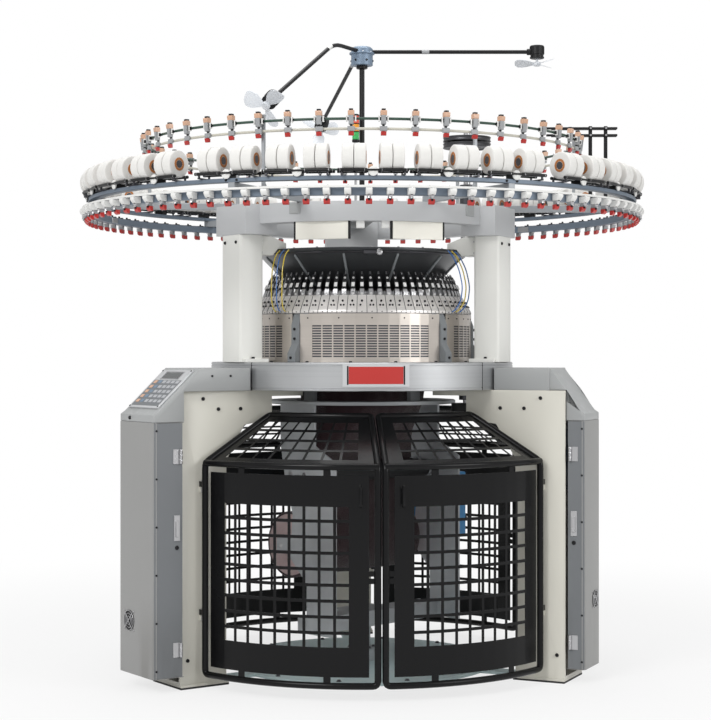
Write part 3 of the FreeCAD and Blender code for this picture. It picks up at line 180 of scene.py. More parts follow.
def enamel_group() -> bpy.types.NodeTree:
    """Paint that varies a little in tone, with fine orange peel."""
    tree, g, given, out = shader_group(
        "enamel_tone", [("Color", COLOUR, WHITE), ("Tone", NUMBER, 0.05), ("Gloss", NUMBER, 0.3)],
        [("Color", COLOUR), ("Roughness", NUMBER), ("Height", NUMBER)])
    place = g.node("ShaderNodeTexCoord").outputs["Object"]
    cloud = g.call("ShaderNodeTexNoise", {"Vector": place, "Scale": 3.1, "Detail": 4.0}).outputs[0]
    peel = g.call("ShaderNodeTexNoise", {"Vector": place, "Scale": 420.0, "Detail": 2.0}).outputs[0]
    tone = g.math("MULTIPLY", g.math("SUBTRACT", cloud, 0.5), given.outputs["Tone"])
    scaled = g.call("ShaderNodeHueSaturation", {"Color": given.outputs["Color"],
                                                "Value": g.math("ADD", tone, 1.0)}).outputs[0]
    g.feed(out.inputs["Color"], scaled)
    smear = g.math("MULTIPLY", g.math("SUBTRACT", cloud, 0.5), 0.25)
    g.feed(out.inputs["Roughness"], g.math("ADD", given.outputs["Gloss"], smear))
    g.feed(out.inputs["Height"], peel)
    return tree


def turned_group() -> bpy.types.NodeTree:
    """Metal turned round the machine's axis: fine rings, faint marks and brighter patches."""
    tree, g, given, out = shader_group(
        "turned_metal", [("Color", COLOUR, WHITE), ("Depth", NUMBER, 0.12), ("Gloss", NUMBER, 0.3)],
        [("Color", COLOUR), ("Roughness", NUMBER), ("Height", NUMBER)])
    place = g.node("ShaderNodeTexCoord").outputs["Object"]
    split = g.call("ShaderNodeSeparateXYZ", {0: place})
    square = g.math("ADD", g.math("MULTIPLY", split.outputs[0], split.outputs[0]),
                    g.math("MULTIPLY", split.outputs[1], split.outputs[1]))
    radius = g.math("SQRT", square)
    around = g.math("MULTIPLY", g.math("ARCTAN2", split.outputs[0], split.outputs[1]), 0.9)
    rings = g.call("ShaderNodeCombineXYZ", {0: g.math("MULTIPLY", radius, 260.0), 1: around,
                                            2: g.math("MULTIPLY", split.outputs[2], 260.0)}).outputs[0]
    lines = g.call("ShaderNodeTexNoise", {"Vector": rings, "Scale": 1.0, "Detail": 3.0}).outputs[0]
    patches = g.call("ShaderNodeTexNoise", {"Vector": place, "Scale": 5.0, "Detail": 3.0}).outputs[0]
    shade = g.math("MULTIPLY", g.math("SUBTRACT", lines, 0.5), given.outputs["Depth"])
    shade = g.math("ADD", shade, g.math("MULTIPLY", g.math("SUBTRACT", patches, 0.5), 0.12))
    g.feed(out.inputs["Color"], g.call("ShaderNodeHueSaturation", {
        "Color": given.outputs["Color"], "Value": g.math("ADD", shade, 1.0)}).outputs[0])
    rough = g.math("ADD", given.outputs["Gloss"], g.math("MULTIPLY", g.math("SUBTRACT", patches, 0.5), 0.3))
    g.feed(out.inputs["Roughness"], rough)
    g.feed(out.inputs["Height"], lines)
    return tree


def lint_group() -> bpy.types.NodeTree:
    """Cotton fly that settles on what faces up."""
    tree, g, given, out = shader_group("cotton_lint", [("Color", COLOUR, WHITE), ("Amount", NUMBER, 0.3)],
                                       [("Color", COLOUR), ("Mask", NUMBER)])
    place = g.node("ShaderNodeTexCoord").outputs["Object"]
    up = g.call("ShaderNodeSeparateXYZ", {0: g.node("ShaderNodeNewGeometry").outputs["Normal"]}).outputs[2]
    fluff = g.call("ShaderNodeTexNoise", {"Vector": place, "Scale": 38.0, "Detail": 5.0}).outputs[0]
    mask = g.math("MULTIPLY", g.band(up, 0.35, 0.95), g.band(fluff, 0.45, 0.75))
    mask = g.math("MULTIPLY", mask, given.outputs["Amount"])
    g.feed(out.inputs["Color"], g.mix(mask, given.outputs["Color"], (0.86, 0.86, 0.85)))
    g.feed(out.inputs["Mask"], mask)
    return tree


def scuff_group() -> bpy.types.NodeTree:
    """Grime and scuffs that fade out above the floor."""
    tree, g, given, out = shader_group("floor_scuffs", [("Color", COLOUR, WHITE), ("Reach", NUMBER, 0.4)],
                                       [("Color", COLOUR)])
    place = g.node("ShaderNodeTexCoord").outputs["Object"]
    height = g.call("ShaderNodeSeparateXYZ", {0: place}).outputs[2]
    streak = g.call("ShaderNodeMapping", {"Vector": place, "Scale": (9.0, 9.0, 2.0)}).outputs[0]
    cloud = g.call("ShaderNodeTexNoise", {"Vector": streak, "Scale": 1.0, "Detail": 6.0}).outputs[0]
    low = g.math("SUBTRACT", 1.0, g.math("DIVIDE", height, given.outputs["Reach"]))
    low = g.math("MAXIMUM", low, 0.0)
    mask = g.math("MULTIPLY", g.math("MULTIPLY", low, g.band(cloud, 0.4, 0.7)), 0.45)
    dark = g.mix(1.0, given.outputs["Color"], (0.42, 0.40, 0.36), "MULTIPLY")
    g.feed(out.inputs["Color"], g.mix(mask, given.outputs["Color"], dark))
    return tree


def knit_group() -> bpy.types.NodeTree:
    """Rows of V stitches on the piece's own UV map, which runs in stitches. Their colour is darker in the
    valleys between stitches, as painted shade, and varies at random in blotches.
    """
    tree, g, given, out = shader_group(
        "knit_stitches", [("Color", COLOUR, WHITE), ("Shade", NUMBER, 0.35)],
        [("Color", COLOUR), ("Height", NUMBER)])
    uv = g.call("ShaderNodeSeparateXYZ", {0: g.node("ShaderNodeUVMap", uv_map="stitches").outputs[0]})
    across = g.math("FRACT", uv.outputs[0])
    lean = g.math("MULTIPLY", g.math("ABSOLUTE", g.math("SUBTRACT", across, 0.5)), 0.9)
    row = g.math("FRACT", g.math("ADD", uv.outputs[1], lean))
    ridge = g.math("SINE", g.math("MULTIPLY", row, math.pi))
    wale = g.math("SINE", g.math("MULTIPLY", across, math.pi))
    height = g.math("MULTIPLY", ridge, wale)
    blotch = g.call("ShaderNodeTexNoise", {"Vector": g.node("ShaderNodeTexCoord").outputs["Object"],
                                           "Scale": 7.0, "Detail": 3.0}).outputs[0]
    # colour darkened where the stitch height is low, as painted shade in the valleys, with random blotches
    # of tone
    shade = g.math("ADD", g.math("SUBTRACT", 1.0, given.outputs["Shade"]),
                   g.math("MULTIPLY", given.outputs["Shade"],
                          g.math("ADD", height, g.math("MULTIPLY", blotch, 0.4))))
    g.feed(out.inputs["Color"], g.call("ShaderNodeHueSaturation", {
        "Color": given.outputs["Color"], "Value": shade}).outputs[0])
    g.feed(out.inputs["Height"], height)
    return tree


def wound_group() -> bpy.types.NodeTree:
    """Fine turns of yarn round a spool, across its UV map. Their colour is darker in the grooves between
    turns, as painted shade.
    """
    tree, g, given, out = shader_group("wound_yarn", [("Color", COLOUR, WHITE), ("Turns", NUMBER, 26.0)],
                                       [("Color", COLOUR), ("Height", NUMBER)])
    uv = g.call("ShaderNodeSeparateXYZ", {0: g.node("ShaderNodeUVMap", uv_map="stitches").outputs[0]})
    slant = g.math("ADD", uv.outputs[1], g.math("MULTIPLY", uv.outputs[0], 0.02))
    wave = g.math("SINE", g.math("MULTIPLY", slant,
                                 g.math("MULTIPLY", given.outputs["Turns"], 2.0 * math.pi)))
    height = g.math("MULTIPLY", g.math("ADD", wave, 1.0), 0.5)
    # colour darkened where the groove is deep, as painted shade between the turns
    g.feed(out.inputs["Color"], g.call("ShaderNodeHueSaturation", {
        "Color": given.outputs["Color"],
        "Value": g.math("ADD", 0.88, g.math("MULTIPLY", height, 0.12))}).outputs[0])
    g.feed(out.inputs["Height"], height)
    return tree


GROUP_MAKERS: dict[str, Callable[[], bpy.types.NodeTree]] = {
    "enamel": enamel_group, "turned": turned_group, "lint": lint_group, "scuff": scuff_group,
    "knit": knit_group, "wound": wound_group}
GROUPS: dict[str, bpy.types.NodeTree] = {}


def group(name: str) -> bpy.types.NodeTree:
    """The shader group of a name, built at its first use."""
    if name not in GROUPS:
        GROUPS[name] = GROUP_MAKERS[name]()
    return GROUPS[name]


# ---------------------------------------------------------------- finishes
class Surface(Enum):
    """Which group gives a finish its fine detail."""

    ENAMEL = "enamel"
    TURNED = "turned"
    KNIT = "knit"
    WOUND = "wound"


@dataclass(frozen=True)
class Finish:
    """One finish of the machine.

    Attributes name the look: colour as rendered, metal from 0 to 1, gloss as roughness, tone as the
    strength of the group's variation, lint and scuff as amounts, bump as the fine relief's depth in metres.
    """

    name: str
    color: tuple[float, float, float]
    metal: float = 0.0
    gloss: float = 0.35
    surface: Surface = Surface.ENAMEL
    tone: float = 0.06
    lint: float = 0.0
    scuff: float = 0.0
    bump: float = 0.00002
    coat: float = 0.0
    alpha: float = 1.0
    glow: float = 0.0
    sheen: float = 0.0
    shine: float = 0.5

    def material(self) -> bpy.types.Material:
        """The finish as a node material, built once."""
        made = bpy.data.materials.get(self.name)
        if made is not None:
            return made
        made = bpy.data.materials.new(self.name)
        made.use_nodes = True
        made.diffuse_color = (*self.color, self.alpha)
        g = Graph(made.node_tree)
        shader = made.node_tree.nodes["Principled BSDF"]
        shader.inputs["Metallic"].default_value = self.metal
        shader.inputs["Roughness"].default_value = self.gloss
        shader.inputs["Coat Weight"].default_value = self.coat
        shader.inputs["Coat Roughness"].default_value = 0.08
        shader.inputs["Alpha"].default_value = self.alpha
        shader.inputs["Sheen Weight"].default_value = self.sheen
        shader.inputs["Specular IOR Level"].default_value = self.shine
        detail = g.node("ShaderNodeGroup", node_tree=group(self.surface.value))
        g.feed(detail.inputs["Color"], self.color)
        if self.surface is Surface.ENAMEL:
            detail.inputs["Tone"].default_value = self.tone * 2.0
            detail.inputs["Gloss"].default_value = self.gloss
        if self.surface is Surface.TURNED:
            detail.inputs["Depth"].default_value = self.tone * 2.0
            detail.inputs["Gloss"].default_value = self.gloss
        colour = detail.outputs["Color"]
        if "Roughness" in detail.outputs:
            g.feed(shader.inputs["Roughness"], detail.outputs["Roughness"])
        if self.scuff > 0.0:
            step = g.node("ShaderNodeGroup", node_tree=group("scuff"))
            g.feed(step.inputs["Color"], colour)
            step.inputs["Reach"].default_value = self.scuff
            colour = step.outputs["Color"]
        if self.lint > 0.0:
            step = g.node("ShaderNodeGroup", node_tree=group("lint"))
            g.feed(step.inputs["Color"], colour)
            step.inputs["Amount"].default_value = self.lint
            colour = step.outputs["Color"]
        g.feed(shader.inputs["Base Color"], colour)
        if self.glow > 0.0:
            g.feed(shader.inputs["Emission Color"], colour)
            shader.inputs["Emission Strength"].default_value = self.glow
        bump = g.call("ShaderNodeBump", {"Height": detail.outputs["Height"], "Distance": self.bump,
                                         "Strength": 1.0})
        g.feed(shader.inputs["Normal"], bump.outputs[0])
        return made


CREAM = Finish("cream_enamel", (0.635, 0.62, 0.55), gloss=0.38, tone=0.05, scuff=0.5, coat=0.15)
CABINET_END = Finish("cabinet_end_grey", (0.29, 0.29, 0.285), gloss=0.42, tone=0.06, scuff=0.4)
# the side cover wears the cabinet end's grey, darker as painted shade on the face turned from the light
SHADED_CABINET_SIDE = Finish("cabinet_side_painted_shade", (0.17, 0.18, 0.19), gloss=0.45, tone=0.06, scuff=0.4)
CONSOLE_GREY = Finish("console_grey", (0.36, 0.37, 0.37), gloss=0.42, tone=0.05, lint=0.12)
AQUA = Finish("floor_disc_aqua", (0.60, 0.74, 0.75), gloss=0.5, tone=0.08, lint=0.25)
BED_STEEL = Finish("bed_turned_steel", (0.50, 0.51, 0.52), metal=0.85, gloss=0.34, surface=Surface.TURNED,
                   tone=0.10)
COLUMN_WHITE = Finish("column_white", (0.80, 0.80, 0.76), gloss=0.4, tone=0.03, coat=0.1)
BAND_GREY = Finish("band_light_grey", (0.50, 0.51, 0.52), gloss=0.42, tone=0.04, lint=0.15)
DISH_DARK = Finish("dish_graphite", (0.055, 0.058, 0.062), metal=0.55, gloss=0.3, tone=0.06)
CAM_STEEL = Finish("cam_bright_steel", (0.80, 0.775, 0.75), metal=0.75, gloss=0.38, tone=0.05)
COVER_NICKEL = Finish("cover_nickel", (0.62, 0.57, 0.52), metal=0.85, gloss=0.33, surface=Surface.TURNED,
                      tone=0.06)
STEEL = Finish("plain_steel", (0.50, 0.50, 0.51), metal=0.9, gloss=0.3, surface=Surface.TURNED, tone=0.08)
DARK_STEEL = Finish("dark_steel", (0.10, 0.10, 0.11), metal=0.8, gloss=0.36, tone=0.08)
SCREW_BLACK = Finish("screw_black", (0.016, 0.016, 0.018), metal=0.4, gloss=0.4, shine=0.3)
DOOR_BLACK = Finish("door_gloss_black", (0.0045, 0.0045, 0.005), gloss=0.24, tone=0.1, shine=0.2)
TAKEDOWN_GREY = Finish("takedown_grey", (0.24, 0.26, 0.28), gloss=0.45, tone=0.08, lint=0.2)
GEARBOX_BLUE = Finish("gearbox_blue", (0.018, 0.10, 0.32), gloss=0.4, tone=0.1, lint=0.1)
CLOTH = Finish("maroon_jersey", (0.040, 0.009, 0.014), gloss=0.9, surface=Surface.KNIT, bump=0.0008,
               sheen=0.35)
ROLL_END = Finish("rolled_jersey_edge", (0.80, 0.62, 0.62), gloss=0.9, surface=Surface.WOUND, bump=0.0006,
                  sheen=0.3)
SLATE = Finish("rail_slate", (0.030, 0.050, 0.070), gloss=0.35, tone=0.1, lint=0.15)
RAIL_GREEN = Finish("sensor_rail_green", (0.035, 0.075, 0.055), gloss=0.4, tone=0.1)
RAIL_CREAM = Finish("sensor_rail_cream", (0.60, 0.58, 0.50), gloss=0.4, tone=0.06)
WHITE_PLASTIC = Finish("white_plastic", (0.78, 0.78, 0.76), gloss=0.32, tone=0.04, lint=0.1)
RED_PLASTIC = Finish("red_plastic", (0.48, 0.030, 0.025), gloss=0.32, tone=0.08)
BLACK_PLASTIC = Finish("black_plastic", (0.010, 0.010, 0.011), gloss=0.4, tone=0.1, shine=0.3)
YARN_WHITE = Finish("yarn_white", (0.82, 0.81, 0.78), gloss=0.85, surface=Surface.WOUND, bump=0.0006,
                    sheen=0.4)
CORE_BROWN = Finish("spool_core_brown", (0.42, 0.16, 0.045), gloss=0.6, tone=0.1)
COPPER = Finish("sensor_copper", (0.50, 0.20, 0.09), metal=0.25, gloss=0.35, tone=0.08)
SENSOR_GREY = Finish("sensor_grey", (0.34, 0.35, 0.36), gloss=0.4, tone=0.06)
POST_GREY = Finish("post_grey", (0.36, 0.38, 0.40), metal=0.2, gloss=0.4, tone=0.06)
PULLEY_DARK = Finish("pulley_dark", (0.07, 0.07, 0.075), metal=0.7, gloss=0.35, tone=0.1)
HUB_BLUE = Finish("hub_blue", (0.11, 0.24, 0.46), gloss=0.35, tone=0.06)
BLADE = Finish("fan_blade_milk", (0.80, 0.83, 0.87), gloss=0.25, tone=0.03, alpha=0.78)
KEY_GREY = Finish("key_grey", (0.42, 0.43, 0.45), gloss=0.4, tone=0.04)
FOIL_GREY = Finish("foil_grey", (0.15, 0.16, 0.17), gloss=0.35, tone=0.06)
BRACKET_GREY = Finish("bracket_grey", (0.20, 0.215, 0.225), gloss=0.4, tone=0.06)
LAMP_RED = Finish("lamp_red", (0.62, 0.03, 0.02), gloss=0.2, coat=0.4, glow=0.15)
LAMP_AMBER = Finish("lamp_amber", (0.80, 0.33, 0.02), gloss=0.2, coat=0.4, glow=0.15)
LAMP_GREEN = Finish("lamp_green", (0.04, 0.42, 0.10), gloss=0.2, coat=0.4, glow=0.15)
SIGN_CREAM = Finish("sign_cream", (0.72, 0.70, 0.60), gloss=0.35, tone=0.03)
PLATE_GREY = Finish("plate_light_grey", (0.58, 0.59, 0.60), metal=0.3, gloss=0.35, tone=0.04)
DISPLAY = Finish("display_glass", (0.012, 0.018, 0.020), gloss=0.08, coat=0.8)
RUBBER = Finish("black_rubber", (0.02, 0.02, 0.021), gloss=0.75, tone=0.12, scuff=0.3)
BELT_WHITE = Finish("white_tape", (0.76, 0.76, 0.74), gloss=0.6, tone=0.05)
OIL_YELLOW = Finish("oil_tube_yellow", (0.66, 0.50, 0.05), gloss=0.25, coat=0.3)
OIL_BLUE = Finish("oil_tube_blue", (0.03, 0.14, 0.42), gloss=0.25, coat=0.3)
EYELET = Finish("eyelet_white", (0.85, 0.85, 0.84), gloss=0.15, coat=0.6)
NEEDLE_STEEL = Finish("needle_steel", (0.52, 0.52, 0.53), metal=0.9, gloss=0.28, surface=Surface.TURNED,
                      tone=0.2)
MOTOR_PAINT = Finish("motor_blue_grey", (0.06, 0.09, 0.13), gloss=0.45, tone=0.08)


# ---------------------------------------------------------------- forms, drawn in millimetres
MM = 0.001
WELD = 0.00002
EASED_FROM = math.radians(30.0)
SHARP_FROM = math.radians(32.0)
STRAIGHT = math.radians(8.0)
CORNER_STEPS = 5
ARC_STEPS = 16
SOCKET_SHARE = 0.5
UP = Vector((0.0, 0.0, 1.0))
OUTWARD = Vector((0.0, -1.0, 0.0))
ACROSS = Vector((1.0, 0.0, 0.0))
UPWARD = -90.0


class Form:
    """The faces of a piece, drawn in millimetres and made into a mesh in metres."""

    def __init__(self) -> None:
        """Starts with no faces."""
        self.points: list[Vector] = []
        self.faces: list[tuple[int, ...]] = []
        self.marks: dict[int, list[tuple[float, float]]] = {}

    def loop_faces(self, rings: Sequence[Sequence[Vector]], closed: bool = False,
                   marks: Optional[Sequence[Sequence[tuple[float, float]]]] = None) -> "Form":
        """Skins rings of equally many points.

        Args:
            rings: the rings, in order along the form.
            closed: the last ring joins the first. Otherwise the two ends are closed with a face each.
            marks: the UV place of each point of each ring, with one more point to close the seam.

        Returns:
            The form itself.
        """
        start = len(self.points)
        count = len(rings[0])
        for ring in rings:
            self.points += [Vector(p) for p in ring]
        spans = len(rings) if closed else len(rings) - 1
        for k in range(spans):
            low = start + k * count
            high = start + ((k + 1) % len(rings)) * count
            for j in range(count):
                after = (j + 1) % count
                self.faces.append((low + j, low + after, high + after, high + j))
                if marks is not None:
                    upper = marks[(k + 1) % len(rings)]
                    self.marks[len(self.faces) - 1] = [marks[k][j], marks[k][j + 1], upper[j + 1], upper[j]]
        if not closed:
            self.faces.append(tuple(range(start + count - 1, start - 1, -1)))
            last = start + (len(rings) - 1) * count
            self.faces.append(tuple(range(last, last + count)))
        return self

    def box(self, x: tuple[float, float], r: tuple[float, float], z: tuple[float, float],
            azimuth: float = 0.0) -> "Form":
        """A block between two sides, in either order, and two distances, turned to an azimuth."""
        left, right = sorted(x)
        rings = [[front(a, b, c) for a, b in ((left, r[0]), (left, r[1]), (right, r[1]), (right, r[0]))]
                 for c in z]
        spin = turn(azimuth)
        return self.loop_faces([[spin @ p for p in ring] for ring in rings])

    def side(self, outline: Sequence[tuple[float, float]], x: tuple[float, float]) -> "Form":
        """A side profile of (distance, height) points, drawn out across the front."""
        return self.loop_faces([[front(a, r, z) for r, z in outline] for a in x])

    def plate(self, outline: Sequence[tuple[float, float]], z: tuple[float, float]) -> "Form":
        """A plan outline of (x, distance) points, raised between two heights."""
        return self.loop_faces([[front(x, r, level) for x, r in outline] for level in z])

    def spun(self, profile: Sequence[tuple[float, float]], sides: int, base: Vector = Vector((0, 0, 0)),
             axis: Vector = UP, closed: bool = False, marked: bool = False) -> "Form":
        """A profile of (radius, distance along) points, spun about an axis.

        Args:
            profile: the points in order. A closed profile makes a ring, another is capped at both ends.
            sides: how many flats it has round.
            base: where the axis starts.
            axis: the way that it points.
            closed: the profile closes on itself.
            marked: the form gets UV places, round and along.

        Returns:
            The form itself.
        """
        tilt = UP.rotation_difference(axis.normalized()).to_matrix()
        rings = []
        for radius, along in profile:
            ring = [Vector((radius * math.sin(a), -radius * math.cos(a), along)) for a in circle(sides)]
            rings.append([tilt @ p + base for p in ring])
        marks = None
        if marked:
            travel = [0.0]
            for (r0, t0), (r1, t1) in zip(profile, profile[1:]):
                travel.append(travel[-1] + math.hypot(r1 - r0, t1 - t0))
            total = travel[-1] or 1.0
            marks = [[(j / sides, t / total) for j in range(sides + 1)] for t in travel]
        return self.loop_faces(rings, closed=closed, marks=marks)

    def ring(self, r: tuple[float, float], z: tuple[float, float], sides: int = 144) -> "Form":
        """A plain ring round the machine's axis."""
        return self.spun([(r[0], z[0]), (r[1], z[0]), (r[1], z[1]), (r[0], z[1])], sides, closed=True)

    def rod(self, start: Vector, end: Vector, radius: float, sides: int = 16, tip: float = 0.0) -> "Form":
        """A round rod between two points, with its ends eased by a tip."""
        length = (end - start).length
        profile = [(radius, 0.0), (radius, length)]
        if tip > 0.0:
            profile = [(radius - tip, 0.0), (radius, tip), (radius, length - tip), (radius - tip, length)]
        return self.spun(profile, sides, start, end - start)

    def tube(self, path: Sequence[Vector], radius: float, sides: int = 10, closed: bool = False) -> "Form":
        """A round tube that follows points."""
        rings = []
        count = len(path)
        normal: Optional[Vector] = None
        for k, point in enumerate(path):
            before = path[(k - 1) % count] if closed or k > 0 else point
            after = path[(k + 1) % count] if closed or k < count - 1 else point
            ahead = (after - before).normalized()
            if normal is None:
                normal = ahead.orthogonal().normalized()
            normal = (normal - ahead * normal.dot(ahead)).normalized()
            side = ahead.cross(normal)
            rings.append([point + (normal * math.cos(a) + side * math.sin(a)) * radius
                          for a in circle(sides)])
        return self.loop_faces(rings, closed=closed)

    def add(self, other: "Form", matrix: Matrix = Matrix.Identity(4)) -> "Form":
        """Adds another form's faces, moved by a matrix."""
        start = len(self.points)
        self.points += [matrix @ p for p in other.points]
        for k, face in enumerate(other.faces):
            if k in other.marks:
                self.marks[len(self.faces)] = other.marks[k]
            self.faces.append(tuple(start + i for i in face))
        return self

    def mesh(self, name: str, ease: float = 0.0) -> bpy.types.Mesh:
        """The form as a mesh in metres.

        Args:
            name: the mesh's name.
            ease: how far sharp edges are cut back, in millimetres.

        Returns:
            The mesh, smooth but for its sharp edges.
        """
        work = bmesh.new()
        corners = [work.verts.new(p * MM) for p in self.points]
        uv = work.loops.layers.uv.new("stitches") if self.marks else None
        for k, face in enumerate(self.faces):
            made = work.faces.new([corners[i] for i in face])
            if uv is not None and k in self.marks:
                for loop, place in zip(made.loops, self.marks[k]):
                    loop[uv].uv = place
        bmesh.ops.recalc_face_normals(work, faces=work.faces)
        return finished_mesh(work, name, ease)


def finished_mesh(work: bmesh.types.BMesh, name: str, ease: float, segments: int = 1) -> bpy.types.Mesh:
    """Eases the sharp edges of a worked mesh, shades it and frees the work.

    Args:
        work: the mesh at work, in metres.
        name: the finished mesh's name.
        ease: how far sharp edges are cut back, in millimetres.
        segments: how many faces each eased edge gets.

    Returns:
        The finished mesh.
    """
    if ease > 0.0:
        sharp = [e for e in work.edges if len(e.link_faces) == 2 and e.calc_face_angle(0.0) > EASED_FROM]
        bmesh.ops.bevel(work, geom=sharp, offset=ease * MM, segments=segments, affect="EDGES",
                        clamp_overlap=True, profile=0.5)
    mesh = bpy.data.meshes.new(name)
    work.to_mesh(mesh)
    work.free()
    for polygon in mesh.polygons:
        polygon.use_smooth = True
    mesh.set_sharp_from_angle(angle=SHARP_FROM)
    return mesh


# ---------------------------------------------------------------- repeats and perforated sheets
@dataclass(frozen=True)
class Place:
    """A place for one copy: a point in millimetres, its azimuth and its tilt in degrees."""

    at: Vector = Vector()
    azimuth: float = 0.0
    tilt: float = 0.0


def around(azimuths: Iterable[float]) -> list[Place]:
    """Places on the machine's axis for a piece that is drawn at the front."""
    return [Place(azimuth=azimuth) for azimuth in azimuths]


def facing_up(azimuth: float, radius: float, z: float) -> Place:
    """A place on a level face, at an azimuth and a distance, for a piece that is drawn facing out."""
    return Place(polar(azimuth, radius, z), azimuth, UPWARD)


def facing_up_beside(azimuth: float, x: float, radius: float, z: float) -> Place:
    """A place on a level face, beside the middle plane of an azimuth."""
    return Place(turn(azimuth) @ front(x, radius, z), azimuth, UPWARD)


def geometry_tree(name: str, inputs: Sequence[tuple]) -> tuple:
    """Starts a geometry tree with named inputs.

    Args:
        name: the tree's name.
        inputs: (name, socket kind, default or None) of each input after the geometry.

    Returns:
        The tree, its graph, its input node and its output node.
    """
    tree = bpy.data.node_groups.new(name, "GeometryNodeTree")
    tree.interface.new_socket("Geometry", in_out="INPUT", socket_type="NodeSocketGeometry")
    tree.interface.new_socket("Geometry", in_out="OUTPUT", socket_type="NodeSocketGeometry")
    for label, kind, default in inputs:
        socket = tree.interface.new_socket(label, in_out="INPUT", socket_type=kind)
        if default is not None:
            socket.default_value = default
    graph = Graph(tree)
    return tree, graph, graph.node("NodeGroupInput"), graph.node("NodeGroupOutput")


def close_tree(g: Graph, geometry: bpy.types.NodeSocket, given: bpy.types.Node,
               out: bpy.types.Node) -> None:
    """Ends a tree in real geometry that wears its finish."""
    real = g.call("GeometryNodeRealizeInstances", {0: geometry}).outputs[0]
    dressed = g.call("GeometryNodeSetMaterial", {"Geometry": real, "Material": given.outputs["Finish"]})
    g.feed(out.inputs[0], dressed.outputs[0])


def repeat_tree() -> bpy.types.NodeTree:
    """One copy of a source at each point, turned by the point's own values."""
    tree, g, given, out = geometry_tree("repeat_at_places", [
        ("Source", "NodeSocketObject", None), ("Finish", "NodeSocketMaterial", None)])
    turned = g.call("GeometryNodeInputNamedAttribute", {"Name": "turn"}, data_type="FLOAT").outputs[0]
    tilted = g.call("GeometryNodeInputNamedAttribute", {"Name": "tilt"}, data_type="FLOAT").outputs[0]
    angles = g.call("ShaderNodeCombineXYZ", {0: tilted, 1: 0.0, 2: turned}).outputs[0]
    spin = g.call("FunctionNodeEulerToRotation", {0: angles}).outputs[0]
    source = g.call("GeometryNodeObjectInfo", {"Object": given.outputs["Source"]})
    copies = g.call("GeometryNodeInstanceOnPoints", {"Points": given.outputs["Geometry"],
                                                     "Instance": source.outputs["Geometry"],
                                                     "Rotation": spin})
    close_tree(g, copies.outputs[0], given, out)
    return tree


